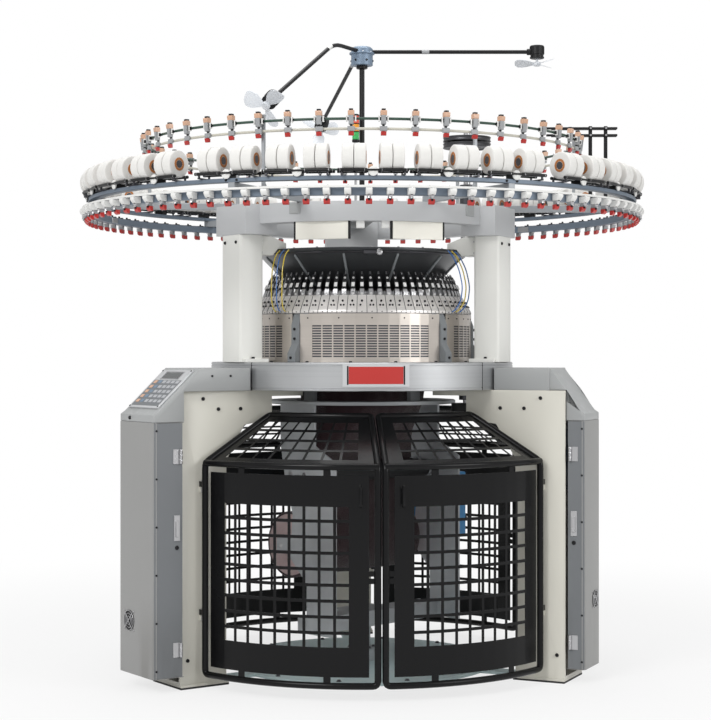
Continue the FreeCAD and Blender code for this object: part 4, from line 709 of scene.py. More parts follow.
def sheet_tree() -> bpy.types.NodeTree:
    """A sheet with a grid of windows, bent round the machine's axis and given a thickness."""
    tree, g, given, out = geometry_tree("perforated_sheet", [
        ("Finish", "NodeSocketMaterial", None), ("Columns", "NodeSocketInt", 9),
        ("Rows", "NodeSocketInt", 9),
        ("Low From", NUMBER, 0.0), ("Low To", NUMBER, 0.7), ("High From", NUMBER, 0.0),
        ("High To", NUMBER, 0.7), ("Low Radius", NUMBER, 0.9), ("High Radius", NUMBER, 0.9),
        ("Low Height", NUMBER, 0.1), ("High Height", NUMBER, 0.9), ("First Column", NUMBER, 0.1),
        ("Column Pitch", NUMBER, 0.09), ("Window Width", NUMBER, 0.05), ("First Row", NUMBER, 0.1),
        ("Row Pitch", NUMBER, 0.09), ("Window Height", NUMBER, 0.05), ("Thickness", NUMBER, 0.003)])
    value = given.outputs

    def steps(count: bpy.types.NodeSocket) -> bpy.types.NodeSocket:
        """How many cells a number of windows needs."""
        return g.math("ADD", g.math("MULTIPLY", count, 2.0), 1.0)

    def marked(index: bpy.types.NodeSocket, last: bpy.types.NodeSocket, first: bpy.types.NodeSocket,
               pitch: bpy.types.NodeSocket, window: bpy.types.NodeSocket) -> bpy.types.NodeSocket:
        """The place, from 0 to 1, of a grid line."""
        inner = g.math("SUBTRACT", index, 1.0)
        number = g.math("FLOOR", g.math("DIVIDE", inner, 2.0))
        rest = g.math("SUBTRACT", inner, g.math("MULTIPLY", number, 2.0))
        inside = g.math("ADD", first, g.math("ADD", g.math("MULTIPLY", number, pitch),
                                             g.math("MULTIPLY", rest, window)))
        at_start = g.math("LESS_THAN", index, 0.5)
        at_end = g.math("GREATER_THAN", index, g.math("SUBTRACT", last, 0.5))
        kept = g.math("MULTIPLY", inside, g.math("SUBTRACT", 1.0, g.math("MAXIMUM", at_start, at_end)))
        return g.math("ADD", kept, at_end)

    across, along = steps(value["Columns"]), steps(value["Rows"])
    grid = g.call("GeometryNodeMeshGrid", {"Size X": 1.0, "Size Y": 1.0,
                                           "Vertices X": g.math("ADD", across, 1.0),
                                           "Vertices Y": g.math("ADD", along, 1.0)}).outputs[0]
    place = g.call("ShaderNodeSeparateXYZ", {0: g.node("GeometryNodeInputPosition").outputs[0]})
    column = g.math("MULTIPLY", g.math("ADD", place.outputs[0], 0.5), across)
    row = g.math("MULTIPLY", g.math("ADD", place.outputs[1], 0.5), along)
    odd = [g.math("GREATER_THAN", g.math("MODULO", g.math("FLOOR", cell), 2.0), 0.5)
           for cell in (column, row)]
    window = g.call("FunctionNodeCompare", {0: g.math("MULTIPLY", odd[0], odd[1]), 1: 0.5},
                    data_type="FLOAT", operation="GREATER_THAN").outputs[0]
    cut = g.call("GeometryNodeDeleteGeometry", {"Geometry": grid, "Selection": window},
                 domain="FACE").outputs[0]
    u = marked(g.math("ROUND", column), across, value["First Column"], value["Column Pitch"],
               value["Window Width"])
    v = marked(g.math("ROUND", row), along, value["First Row"], value["Row Pitch"], value["Window Height"])

    def between(low: bpy.types.NodeSocket, high: bpy.types.NodeSocket, share: bpy.types.NodeSocket
                ) -> bpy.types.NodeSocket:
        """A size part of the way from one to another."""
        return g.math("ADD", low, g.math("MULTIPLY", share, g.math("SUBTRACT", high, low)))

    angle = between(between(value["Low From"], value["High From"], v),
                    between(value["Low To"], value["High To"], v), u)
    radius = between(value["Low Radius"], value["High Radius"], v)
    bent = g.call("ShaderNodeCombineXYZ", {
        0: g.math("MULTIPLY", radius, g.math("SINE", angle)),
        1: g.math("MULTIPLY", g.math("MULTIPLY", radius, g.math("COSINE", angle)), -1.0),
        2: between(value["Low Height"], value["High Height"], v)}).outputs[0]
    sheet = g.call("GeometryNodeSetPosition", {"Geometry": cut, "Position": bent}).outputs[0]
    outer = g.node("GeometryNodeExtrudeMesh", mode="FACES")
    outer.inputs["Individual"].default_value = False
    g.feed(outer.inputs["Mesh"], sheet)
    g.feed(outer.inputs["Offset Scale"], value["Thickness"])
    inner = g.call("GeometryNodeFlipFaces", {0: sheet}).outputs[0]
    joined = g.node("GeometryNodeJoinGeometry")
    g.feed(joined.inputs[0], outer.outputs[0])
    g.feed(joined.inputs[0], inner)
    merged = g.call("GeometryNodeMergeByDistance", {"Geometry": joined.outputs[0],
                                                    "Distance": 0.00001}).outputs[0]
    close_tree(g, merged, given, out)
    return tree


TREE_MAKERS: dict[str, Callable[[], bpy.types.NodeTree]] = {"repeat": repeat_tree, "sheet": sheet_tree}
TREES: dict[str, bpy.types.NodeTree] = {}


def grown(carrier: bpy.types.Object, name: str, inputs: dict[str, object]) -> bpy.types.Mesh:
    """Runs a geometry tree on a carrier and returns the result as a plain mesh.

    Args:
        carrier: the object whose mesh the tree starts from.
        name: which tree, repeat or sheet.
        inputs: the value of each named input.

    Returns:
        The result. The carrier and its modifier are gone.
    """
    if name not in TREES:
        TREES[name] = TREE_MAKERS[name]()
    modifier = carrier.modifiers.new(name, "NODES")
    modifier.node_group = TREES[name]
    sockets = {s.name: s.identifier for s in TREES[name].interface.items_tree if s.in_out == "INPUT"}
    for label, value in inputs.items():
        modifier[sockets[label]] = value
    bpy.context.view_layer.update()
    evaluated = carrier.evaluated_get(bpy.context.evaluated_depsgraph_get())
    mesh = bpy.data.meshes.new_from_object(evaluated)
    carrier.modifiers.clear()
    old = carrier.data
    bpy.data.objects.remove(carrier)
    bpy.data.meshes.remove(old)
    return mesh


def perforated(name: str, finish: Finish, count: tuple[int, int], low: tuple[float, float, float, float],
               high: tuple[float, float, float, float], columns: tuple[float, float, float],
               rows: tuple[float, float, float], thickness: float) -> bpy.types.Mesh:
    """A bent sheet with a grid of windows.

    Args:
        name: the piece's name.
        finish: what it wears.
        count: how many columns and rows of windows it has.
        low: its lower edge: first and last azimuth in degrees, radius and height in millimetres.
        high: its upper edge, in the same way.
        columns: first window, pitch and window width, in degrees from the lower edge's first azimuth.
        rows: first window, pitch and window height, in millimetres along the height.
        thickness: how thick it is, in millimetres, outwards.

    Returns:
        The mesh.
    """
    seed = bpy.data.meshes.new(name + "_seed")
    wide = low[1] - low[0]
    tall = high[3] - low[3]
    return grown(linked(name + "_carrier", seed), "sheet", {
        "Finish": finish.material(), "Columns": count[0], "Rows": count[1],
        "Low From": math.radians(low[0]), "Low To": math.radians(low[1]),
        "High From": math.radians(high[0]), "High To": math.radians(high[1]),
        "Low Radius": low[2] * MM, "High Radius": high[2] * MM, "Low Height": low[3] * MM,
        "High Height": high[3] * MM, "First Column": columns[0] / wide, "Column Pitch": columns[1] / wide,
        "Window Width": columns[2] / wide,
        "First Row": rows[0] / tall, "Row Pitch": rows[1] / tall, "Window Height": rows[2] / tall,
        "Thickness": thickness * MM})


def linked(name: str, mesh: bpy.types.Mesh) -> bpy.types.Object:
    """A new object in the scene."""
    made = bpy.data.objects.new(name, mesh)
    bpy.context.scene.collection.objects.link(made)
    return made


def repeated(name: str, source: bpy.types.Mesh, places: Sequence[Place],
             finish: Finish) -> bpy.types.Mesh:
    """Copies of one mesh at many places, as one mesh.

    Args:
        name: the piece's name.
        source: the mesh to copy, which is used up.
        places: where the copies go.
        finish: what they wear.

    Returns:
        The mesh of all copies.
    """
    points = bpy.data.meshes.new(name + "_places")
    points.from_pydata([place.at * MM for place in places], [], [])
    for label in ("turn", "tilt"):
        points.attributes.new(label, "FLOAT", "POINT")
    points.attributes["turn"].data.foreach_set("value", [math.radians(p.azimuth) for p in places])
    points.attributes["tilt"].data.foreach_set("value", [math.radians(p.tilt) for p in places])
    model = linked(name + "_source", source)
    mesh = grown(linked(name + "_carrier", points), "repeat", {
        "Source": model, "Finish": finish.material()})
    bpy.data.objects.remove(model)
    return mesh


# ---------------------------------------------------------------- pieces
def softened(node: str, ease: float, segments: int = 2) -> bpy.types.Mesh:
    """A copy of a CAD node with its faces merged and its edges eased.

    Args:
        node: the CAD node.
        ease: how far its edges are cut back, in millimetres.
        segments: how many faces each eased edge gets.

    Returns:
        The mesh.
    """
    work = bmesh.new()
    work.from_mesh(frame["nodes"][node].data)
    bmesh.ops.remove_doubles(work, verts=work.verts, dist=WELD)
    bmesh.ops.dissolve_limit(work, angle_limit=math.radians(1.0), verts=work.verts, edges=work.edges)
    return finished_mesh(work, node + "_eased", ease, segments)


@dataclass
class Assembly:
    """Pieces that are built and reported together."""

    title: str = "assembly"
    count: int = field(default=0, init=False)

    def piece(self, name: str, mesh: bpy.types.Mesh, finish: Finish, slot: str, body: str = MACHINE,
              replaces: Sequence[str] = ()) -> bpy.types.Object:
        """Shows a mesh as a piece of the object.

        Args:
            name: the piece's name.
            mesh: its mesh, in metres and in its place.
            finish: what it wears.
            slot: the record's material slot that it stands for; not used.
            body: the CAD body that it rides on.
            replaces: the CAD nodes that it stands for.

        Returns:
            The piece.
        """
        mesh.materials.clear()
        mesh.materials.append(finish.material())
        made = linked(name, mesh)
        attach(made, body)
        if replaces:
            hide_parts(*replaces)
        self.count += 1
        LOG.info("%s: %s, %d faces", self.title, name, len(mesh.polygons))
        return made

    def form(self, name: str, form: Form, finish: Finish, slot: str, body: str = MACHINE,
             replaces: Sequence[str] = (), ease: float = 0.0) -> bpy.types.Object:
        """Shows a form as a piece, with its edges eased."""
        return self.piece(name, form.mesh(name, ease), finish, slot, body, replaces)

    def repeat(self, name: str, form: Form, places: Sequence[Place], finish: Finish, slot: str,
               body: str = MACHINE, replaces: Sequence[str] = (), ease: float = 0.0) -> bpy.types.Object:
        """Shows copies of a form at many places as one piece."""
        mesh = repeated(name, form.mesh(name + "_one", ease), places, finish)
        return self.piece(name, mesh, finish, slot, body, replaces)

    def softer(self, name: str, node: str, finish: Finish, slot: str, ease: float, segments: int = 2,
               body: str = MACHINE) -> bpy.types.Object:
        """Adds a copy of a CAD node with softened edges, in the place of that node."""
        return self.piece(name, softened(node, ease, segments), finish, slot, body, (node,))


def screw_head(radius: float, height: float, sides: int = 10) -> Form:
    """A cap screw at the origin that faces the front, with a sunk socket."""
    hollow = radius * SOCKET_SHARE
    profile = [(radius, -0.5), (radius, height * 0.75), (radius * 0.86, height), (hollow, height),
               (hollow * 0.9, height * 0.45)]
    return Form().spun(profile, sides, Vector(), OUTWARD)


def hex_head(radius: float, height: float) -> Form:
    """A hexagon bolt head on a washer, at the origin and facing the front."""
    washer = [(radius * 1.45, -0.5), (radius * 1.45, 1.6), (radius * 0.9, 1.6)]
    head = [(radius, 1.2), (radius, height * 0.8), (radius * 0.82, height)]
    return Form().spun(washer, 16, Vector(), OUTWARD).spun(head, 6, Vector(), OUTWARD)


# ---------------------------------------------------------------- studio
@dataclass
class Studio(Assembly):
    """The pale floor, the soft lamps and the camera at the photograph's angle."""

    title: str = "studio"
    camera_at: tuple[float, float, float] = (-0.6972, -7.9696, 1.424)
    camera_turn: float = -5.0
    lens: float = 86.95
    shift: tuple[float, float] = (-0.0090, -0.0111)
    floor_half: float = 14.0

    def build(self) -> None:
        """Makes the floor, the lamps and the camera."""
        self.floor()
        self.lamps()
        self.camera()
        bpy.context.scene.view_settings.view_transform = "Standard"

    def floor(self) -> None:
        """A level floor that fades to white all round, so that the machine can be seen from every side."""
        half = self.floor_half
        work = bmesh.new()
        work.faces.new([work.verts.new(Vector(p)) for p in ((-half, -half, 0.0), (half, -half, 0.0),
                                                            (half, half, 0.0), (-half, half, 0.0))])
        mesh = bpy.data.meshes.new("studio_floor")
        work.to_mesh(mesh)
        work.free()
        for polygon in mesh.polygons:
            polygon.use_smooth = True
        material = bpy.data.materials.new("studio_paper")
        material.use_nodes = True
        g = Graph(material.node_tree)
        paper = material.node_tree.nodes["Principled BSDF"]
        paper.inputs["Base Color"].default_value = (0.80, 0.80, 0.80, 1.0)
        paper.inputs["Roughness"].default_value = 0.9
        paper.inputs["Specular IOR Level"].default_value = 0.1
        glow = g.call("ShaderNodeEmission", {"Color": (1.0, 1.0, 1.0), "Strength": 1.0})
        rays = g.node("ShaderNodeLightPath")
        seen = g.math("MAXIMUM", rays.outputs["Is Camera Ray"],
                      g.math("MAXIMUM", rays.outputs["Is Glossy Ray"], rays.outputs["Is Transmission Ray"]))
        away = g.call("ShaderNodeVectorMath", {0: g.node("ShaderNodeNewGeometry").outputs["Position"]},
                      operation="LENGTH").outputs["Value"]
        near, far = FLOOR_WHITENESS
        whiteness = g.math("ADD", near, g.math("MULTIPLY", g.band(away, *FLOOR_FADE), far - near))
        mixed = g.call("ShaderNodeMixShader", {0: g.math("MULTIPLY", seen, whiteness),
                                               1: paper.outputs[0], 2: glow.outputs[0]})
        g.feed(material.node_tree.nodes["Material Output"].inputs["Surface"], mixed.outputs[0])
        mesh.materials.append(material)
        linked("studio_floor", mesh)

    def lamps(self) -> None:
        """A pale world and three large soft lamps."""
        world = bpy.data.worlds.new("studio_air")
        bpy.context.scene.world = world
        world.use_nodes = True
        g = Graph(world.node_tree)
        air = world.node_tree.nodes["Background"]
        air.inputs["Color"].default_value = (1.0, 1.0, 1.0, 1.0)
        seen = g.node("ShaderNodeLightPath").outputs["Is Camera Ray"]
        unseen, shown = AIR_STRENGTH
        g.feed(air.inputs["Strength"], g.math("ADD", unseen, g.math("MULTIPLY", seen, shown - unseen)))
        for name, at, aim, size, power in (
                ("key_lamp", (-4.2, -5.6, 5.6), (0.0, 0.0, 1.2), 3.6, 260.0),
                ("fill_lamp", (5.2, -4.6, 3.4), (0.0, 0.0, 1.2), 3.6, 130.0),
                ("top_lamp", (0.0, 0.6, 6.6), (0.0, 0.0, 0.0), 4.0, 120.0)):
            light = bpy.data.lights.new(name, "AREA")
            light.shape = "DISK"
            light.size = size
            light.energy = power
            lamp = bpy.data.objects.new(name, light)
            lamp.location = at
            lamp.rotation_euler = (Vector(aim) - Vector(at)).to_track_quat("-Z", "Y").to_euler()
            bpy.context.scene.collection.objects.link(lamp)

    def camera(self) -> None:
        """The camera, a long lens at the machine's front."""
        lens = bpy.data.cameras.new("camera")
        lens.lens = self.lens
        lens.sensor_width = 36.0
        lens.sensor_fit = "AUTO"
        lens.shift_x, lens.shift_y = self.shift
        lens.clip_end = 60.0
        camera = bpy.data.objects.new("camera", lens)
        camera.location = self.camera_at
        camera.rotation_euler = (math.radians(90.0), 0.0, math.radians(self.camera_turn))
        bpy.context.scene.collection.objects.link(camera)
        bpy.context.scene.camera = camera


# ---------------------------------------------------------------- doors
def eased(path: Sequence[Vector], reach: float, closed: bool = False) -> list[Vector]:
    """A path whose corners are rounded.

    Args:
        path: its corner points.
        reach: how far from a corner the rounding starts.
        closed: the path closes on itself.

    Returns:
        The points of the eased path.
    """
    points: list[Vector] = []
    count = len(path)
    for k, corner in enumerate(path):
        if not closed and k in (0, count - 1):
            points.append(corner)
            continue
        back = path[k - 1] - corner
        ahead = path[(k + 1) % count] - corner
        if back.angle(-ahead) < STRAIGHT:
            points.append(corner)
            continue
        enter = corner + back.normalized() * min(reach, back.length * 0.45)
        leave = corner + ahead.normalized() * min(reach, ahead.length * 0.45)
        for t in spaced(0.0, 1.0, CORNER_STEPS):
            points.append(enter * (1 - t) ** 2 + corner * 2 * t * (1 - t) + leave * t ** 2)
    return points


@dataclass
class DoorLeaf(Assembly):
    """One leaf of the guard round the take-down: a tube frame, a perforated sheet and a windowed roof."""

    title: str = "door"
    node: str = "door_front_right"
    centre: float = 0.0
    hand: int = 1
    radius: float = DOOR_RADIUS
    low: float = 50.0
    knee: float = 956.0
    top_radius: float = 615.0
    top: float = 1165.0
    tube: float = 28.0
    joint_offset: float = 16.0
    leg_offset: float = HINGE_OFFSET
    sheet: float = 3.0
    hole: float = 52.0
    pitch_z: float = 65.0
    pitch_deg: float = 3.95
    grid_from: float = 7.92
    grid_low: float = 221.0
    handle_arc: float = 86.0
    handle_heights: tuple[float, float] = (790.0, 880.0)

    def at(self, local: float) -> float:
        """The azimuth of a local azimuth, counted from the joint towards the leg."""
        return self.centre + self.hand * local

    def beside(self, radius: float, offset: float, z: float, leg: bool) -> Vector:
        """A point at a distance beside the joint's or the leg's centre plane."""
        local = math.degrees(math.asin(offset / radius))
        return polar(self.at(60.0 - local if leg else local), radius, z)

    def arc(self, radius: float, z: float) -> list[Vector]:
        """Points from the joint stile to the leg stile."""
        first = math.degrees(math.asin(self.joint_offset / radius))
        last = 60.0 - math.degrees(math.asin(self.leg_offset / radius))
        return [polar(self.at(a), radius, z) for a in spaced(first, last, ARC_STEPS)]

    def tubes(self) -> Form:
        """The outer loop of tube with its eased corners, and the rail at the knee."""
        half = self.tube / 2.0
        upright = self.low + half
        top = self.top - half
        loop = self.arc(self.radius, upright)
        for leg in (True, False):
            offset = self.leg_offset if leg else self.joint_offset
            climb = [self.beside(self.radius, offset, upright + 60.0, leg),
                     self.beside(self.radius, offset, self.knee, leg),
                     self.beside(self.top_radius + 30.0, offset, top - 17.0, leg)]
            if leg:
                loop += climb + list(reversed(self.arc(self.top_radius, top)))
            else:
                loop += list(reversed(climb))
        form = Form().tube(eased(loop, 22.0, closed=True), half, 12, closed=True)
        return form.tube(self.arc(self.radius, self.knee), half, 12)

    def fittings(self) -> Form:
        """The tabs that carry the sheet, the hinge blocks and the handle's feet."""
        form = Form()
        r = self.radius - 2.0
        for local in (self.grid_from + 5.9, self.grid_from + 29.6):
            for z in ((self.low + 24.0, self.low + 54.0), (self.knee - 40.0, self.knee - 10.0)):
                form.box((-15.0, 15.0), (r, r + 4.0), z, self.at(local))
        for z in HINGE_HEIGHTS:
            x = (-self.hand * 157.0, -self.hand * 123.5)
            form.box(x, (HINGE_RADIUS - 11.5, HINGE_RADIUS + 11.5), (z + 0.5, z + 23.5), self.at(60.0))
        for z in (480.0, 510.0):
            x = (self.hand * 28.0, self.hand * 55.0)
            form.box(x, (r - 3.0, r), (z, z + 22.0), self.centre)
        return form

    def build(self) -> None:
        """Makes the leaf: its tubes, its fittings, its two sheets and its handle."""
        form = self.tubes().add(self.fittings())
        self.form(self.node + "_frame", form, DOOR_BLACK, "door_black", self.node, (self.node,))
        first, last = 3.2, 48.15
        low, high = self.low + 50.0, self.knee - 36.0
        window = math.degrees(self.hole / self.radius)
        start = self.grid_from + (self.pitch_deg - window) / 2.0 - first
        mesh = perforated(self.node + "_sheet", DOOR_BLACK, (9, 9), (first, last, self.radius - 1.5, low),
                          (first, last, self.radius - 1.5, high), (start, self.pitch_deg, window),
                          (self.grid_low - low, self.pitch_z, self.hole), self.sheet)
        self.piece(self.node + "_sheet", self.placed(mesh), DOOR_BLACK, "door_black", self.node)
        mesh = perforated(self.node + "_roof", DOOR_BLACK, (8, 4),
                          (1.4, 50.0, self.radius - 8.0, self.knee + 2.0),
                          (2.2, 45.2, self.top_radius + 8.0, self.top - 17.0), (4.6, 5.1, 4.35),
                          (22.0, 38.0, 30.0), 2.0)
        self.piece(self.node + "_roof", self.placed(mesh), DOOR_BLACK, "door_black", self.node)
        self.grip()

    def placed(self, mesh: bpy.types.Mesh) -> bpy.types.Mesh:
        """Turns or mirrors a sheet that was made as the right leaf of the front opening."""
        mesh.transform(turn(self.centre) @ Matrix.Diagonal((self.hand, 1.0, 1.0, 1.0)))
        if self.hand < 0:
            mesh.flip_normals()
        return mesh

    def grip(self) -> None:
        """The bar handle, on two feet with flanges."""
        local = math.degrees(self.handle_arc / self.radius)
        low, high = self.handle_heights
        spin = turn(self.at(local))
        path = [front(0.0, r, z) for r, z in ((self.radius - 2.0, low + 6.0),
                                              (self.radius + 24.0, low + 6.0),
                                              (self.radius + 24.0, high - 6.0),
                                              (self.radius - 2.0, high - 6.0))]
        form = Form().tube(eased(path, 9.0), 5.5, 10)
        for z in (low + 6.0, high - 6.0):
            form.spun([(9.0, 0.0), (9.0, 2.0), (6.5, 3.5)], 14, front(0.0, self.radius + 0.5, z), OUTWARD)
        self.form(self.node + "_handle", Form().add(form, spin), DOOR_BLACK, "door_black", self.node)


# ---------------------------------------------------------------- stand
def socket_screws(places: Sequence[tuple[float, float, float]], azimuth: float,
                  side: int = 0) -> list[Place]:
    """Places for screw heads on a leg's faces.

    Args:
        places: (x, distance, height) of each.
        azimuth: the leg's azimuth.
        side: 0 for screws that face out, 1 or -1 for screws on the faces to its sides.

    Returns:
        The places.
    """
    spin = turn(azimuth)
    return [Place(spin @ front(*p), azimuth + 90.0 * side) for p in places]


@dataclass
class Legs(Assembly):
    """Three cast legs with their screws, foot pads and hinge pins, and the round floor plate."""

    title: str = "legs"
    half: float = 115.0
    outer: float = 1015.0
    inner: float = 790.0
    base_r: float = 600.0
    base_thick: float = 14.0

    def build(self) -> None:
        """Makes the legs and the floor plate."""
        for name, azimuth in zip(("left", "right", "rear"), LEGS):
            node = "leg_" + name
            self.softer(node + "_casting", node, CREAM, "leg_paint", 3.0)
        pads = Form()
        for azimuth in LEGS:
            pads.box((-self.half - 9.0, self.half + 9.0), (self.inner - 9.0, self.outer + 1.0), (0.0, 9.0),
                     azimuth)
        self.form("foot_pads", pads, RUBBER, "leg_paint", ease=1.5)
        self.fasteners()
        self.floor_plate()

    def fasteners(self) -> None:
        """Black cap screws on the legs and bright pins in the hinge lugs."""
        places: list[Place] = []
        for azimuth in LEGS:
            for side in (-1, 1):
                spots = [(side * self.half, r, z) for r, z in ((830.0, 120.0), (980.0, 120.0),
                                                               (830.0, 1180.0),
                                                               (720.0, 1180.0), (905.0, 1225.0))]
                places += socket_screws(spots, azimuth, side)
        for z in (140.0, 640.0, 1100.0):
            places += socket_screws([(x, self.outer, z) for x in (-90.0, 90.0)], LEGS[2])
        self.repeat("leg_screws", screw_head(8.0, 6.0), places, SCREW_BLACK, "leg_paint")
        pins = Form()
        for azimuth in LEGS:
            for side in (-1, 1):
                for z in HINGE_HEIGHTS:
                    foot = turn(azimuth) @ front(side * 133.0, HINGE_RADIUS, z - 26.0)
                    pins.rod(foot, foot + Vector((0, 0, 55.0)), 7.5, 14, 1.5)
        self.form("hinge_pins", pins, STEEL, "leg_paint")

    def floor_plate(self) -> None:
        """The round plate, its ties to the legs and the pivot boss."""
        plate = Form().spun([(self.base_r - 3.0, 0.0), (self.base_r, 3.0),
                             (self.base_r, self.base_thick - 3.0),
                             (self.base_r - 3.0, self.base_thick)], 120)
        for azimuth in LEGS:
            plate.box((-40.0, 40.0), (570.0, self.inner - 9.0), (0.5, self.base_thick - 0.4), azimuth)
        self.form("floor_plate", plate, AQUA, "base_paint", replaces=("base_plate",))
        boss = [(70.0, self.base_thick - 0.5), (70.0, 64.0), (64.0, 70.0), (40.6, 70.0),
                (40.6, self.base_thick - 0.5)]
        self.form("pivot_boss", Form().spun(boss, 48, closed=True), TAKEDOWN_GREY, "base_paint")
        bolts = [facing_up(a, 55.0, 70.0) for a in range(30, 390, 60)]
        bolts += [facing_up(a, self.base_r - 32.0, self.base_thick) for a in range(15, 375, 30)]
        self.repeat("floor_plate_bolts", hex_head(8.0, 8.0), bolts, DARK_STEEL, "base_paint")


@dataclass
class Cabinet(Assembly):
    """One cabinet on a leg with its cover, hinges, latch and round vent, and the console over it."""

    title: str = "cabinet"
    side: str = "left"
    azimuth: float = -60.0
    half: float = 150.0
    outer: float = 1160.0
    open_side: int = 1
    vent_at: tuple[float, float] = (-66.0, 285.0)
    vent_r: float = 44.0

    def build(self) -> None:
        """Makes the shell, the cover and what is on them."""
        node = "cabinet_" + self.side
        cover = node + "_cover"
        self.form(node + "_shell", self.shell(), CABINET_END, "cabinet_paint", MACHINE, (node,), ease=1.2)
        # the cover's darker grey is painted shade on the shell's grey
        self.form(cover + "_sheet", self.cover(), SHADED_CABINET_SIDE, "cover_paint", cover, (cover,), ease=0.9)
        self.softer("console_" + self.side + "_cap", "console_" + self.side, CONSOLE_GREY, "cabinet_paint",
                    3.0)
        self.hinges(cover)
        self.latch(cover)
        self.vent()
        self.screws(cover)

    def shell(self) -> Form:
        """The folded sheet round three sides, with its floor and lid."""
        h, far, near, way = self.half, self.outer, 1015.5, self.open_side
        bend = [(-h, near), (-h, far), (h - 12.0, far), (h, far - 12.0), (h, far - 15.5),
                (h - 13.5, far - 3.0), (3.0 - h, far - 3.0), (3.0 - h, near)]
        form = Form().plate([(x * way, r) for x, r in bend], (60.0, 1129.5))
        floor = [(1.0 - h, near), (1.0 - h, far - 1.0), (h - 12.5, far - 1.0), (h - 1.0, far - 12.5),
                 (h - 1.0, near)]
        for z in ((60.5, 63.0), (1127.0, 1129.0)):
            form.plate([(x * way, r) for x, r in floor], z)
        return Form().add(form, turn(self.azimuth))

    def cover(self) -> Form:
        """The flat side cover with a folded rim."""
        x = self.face()
        out = self.open_side
        low, high = 63.6, 1126.4
        near, far = 1023.0, self.outer - 3.6
        flat = (x - out * 3.0, x)
        form = Form().box(flat, (near, far), (low, high), self.azimuth)
        rim = (x - out * 16.0, x - out * 2.5)
        form.box(rim, (far - 14.0, far - 12.0), (low + 4.0, high - 4.0), self.azimuth)
        return form

    def face(self) -> float:
        """Where the cover's face lies beside the leg's centre plane."""
        return self.open_side * (self.half - 1.0)

    def hinges(self, cover: str) -> None:
        """Bright barrels on the cover's knuckles, each of three rings."""
        form = Form()
        for z in (177.0, 986.0):
            x = self.face() + self.open_side * 8.0
            foot = turn(self.azimuth) @ front(x, 1034.0, z - 31.0)
            profile = [(5.0, 0.0), (7.5, 2.0), (7.5, 19.5), (6.6, 20.0), (6.6, 21.0), (7.5, 21.5),
                       (7.5, 40.5), (6.6, 41.0), (6.6, 42.0), (7.5, 42.5), (7.5, 60.0), (5.0, 62.0)]
            form.spun(profile, 18, foot)
            x_pair = (self.face(), self.face() + self.open_side * 3.0)
            form.box(x_pair, (1030.0, 1068.0), (z - 31.0, z + 31.0), self.azimuth)
        self.form(cover + "_hinges", form, STEEL, "cover_paint", cover, ease=0.5)

    def latch(self, cover: str) -> None:
        """A bright latch plate with its lever near the hinge side, and a quarter-turn lock below it."""
        plate = Form()
        x = self.face()
        out = self.open_side
        pair = (x - out * 1.0, x + out * 4.0)
        plate.box(pair, (1036.0, 1064.0), (633.0, 741.0), self.azimuth)
        pair = (x + out * 3.0, x + out * 10.0)
        plate.box(pair, (1043.0, 1057.0), (650.0, 716.0), self.azimuth)
        self.form(cover + "_latch", plate, STEEL, "cover_paint", cover, ease=1.2)
        lock = Form().spun([(9.0, -1.0), (9.0, 3.0), (7.0, 5.0), (3.5, 5.0), (3.0, 3.5)], 18,
                           turn(self.azimuth) @ front(x, 1050.0, 605.0),
                           turn(self.azimuth) @ Vector((out, 0, 0)))
        self.form(cover + "_lock", lock, SCREW_BLACK, "cover_paint", cover)

    def vent(self) -> None:
        """A round opening with a dark fan behind a crossed wire guard."""
        x, z = self.vent_at
        out = turn(self.azimuth) @ OUTWARD
        centre = turn(self.azimuth) @ front(x, self.outer, z)
        spin = turn(self.azimuth)
        well = Form().spun([(self.vent_r, -1.0), (self.vent_r, 0.8), (self.vent_r - 3.0, 1.0)], 36, centre,
                           out)
        self.form(self.side + "_vent_well", well, BLACK_PLASTIC, "cabinet_paint")
        wires = Form()
        for radius in (self.vent_r - 2.0, self.vent_r * 0.68, self.vent_r * 0.4):
            loop = [spin @ front(x + radius * math.cos(a), self.outer + 4.0, z + radius * math.sin(a))
                    for a in circle(32)]
            wires.tube(loop, 1.3, 6, closed=True)
        for angle in (45.0, 135.0):
            reach = self.vent_r + 6.0
            a = math.radians(angle)
            ends = [spin @ front(x + s * reach * math.cos(a), self.outer + 5.5, z + s * reach * math.sin(a))
                    for s in (-1, 1)]
            wires.rod(ends[0], ends[1], 1.8, 8)
        self.form(self.side + "_vent_guard", wires, STEEL, "cabinet_paint")
        screws = [Place(spin @ front(x + sx * (self.vent_r - 4.0), self.outer,
                                     z + sz * (self.vent_r - 4.0)),
                        self.azimuth) for sx in (-1, 1) for sz in (-1, 1)]
        self.repeat(self.side + "_vent_screws", screw_head(3.5, 3.0), screws, STEEL, "cabinet_paint")

    def screws(self, cover: str) -> None:
        """Small screws down the cover's outer edge and along the console's seam."""
        x = self.face()
        far = self.outer - 14.0
        spots = [(x, far, z) for z in spaced(95.0, 1095.0, 6)]
        self.repeat(cover + "_screws", screw_head(4.5, 3.0),
                    socket_screws(spots, self.azimuth, self.open_side), SCREW_BLACK, "cover_paint", cover)
        wide = self.half
        spots = [(s * wide, r, 1322.0) for s in (-1, 1) for r in (790.0, 880.0)]
        places = [p for s in (-1, 1) for p in socket_screws([q for q in spots if q[0] * s > 0],
                                                            self.azimuth, s)]
        self.repeat("console_" + self.side + "_screws", screw_head(5.0, 3.5), places, SCREW_BLACK,
                    "cabinet_paint")


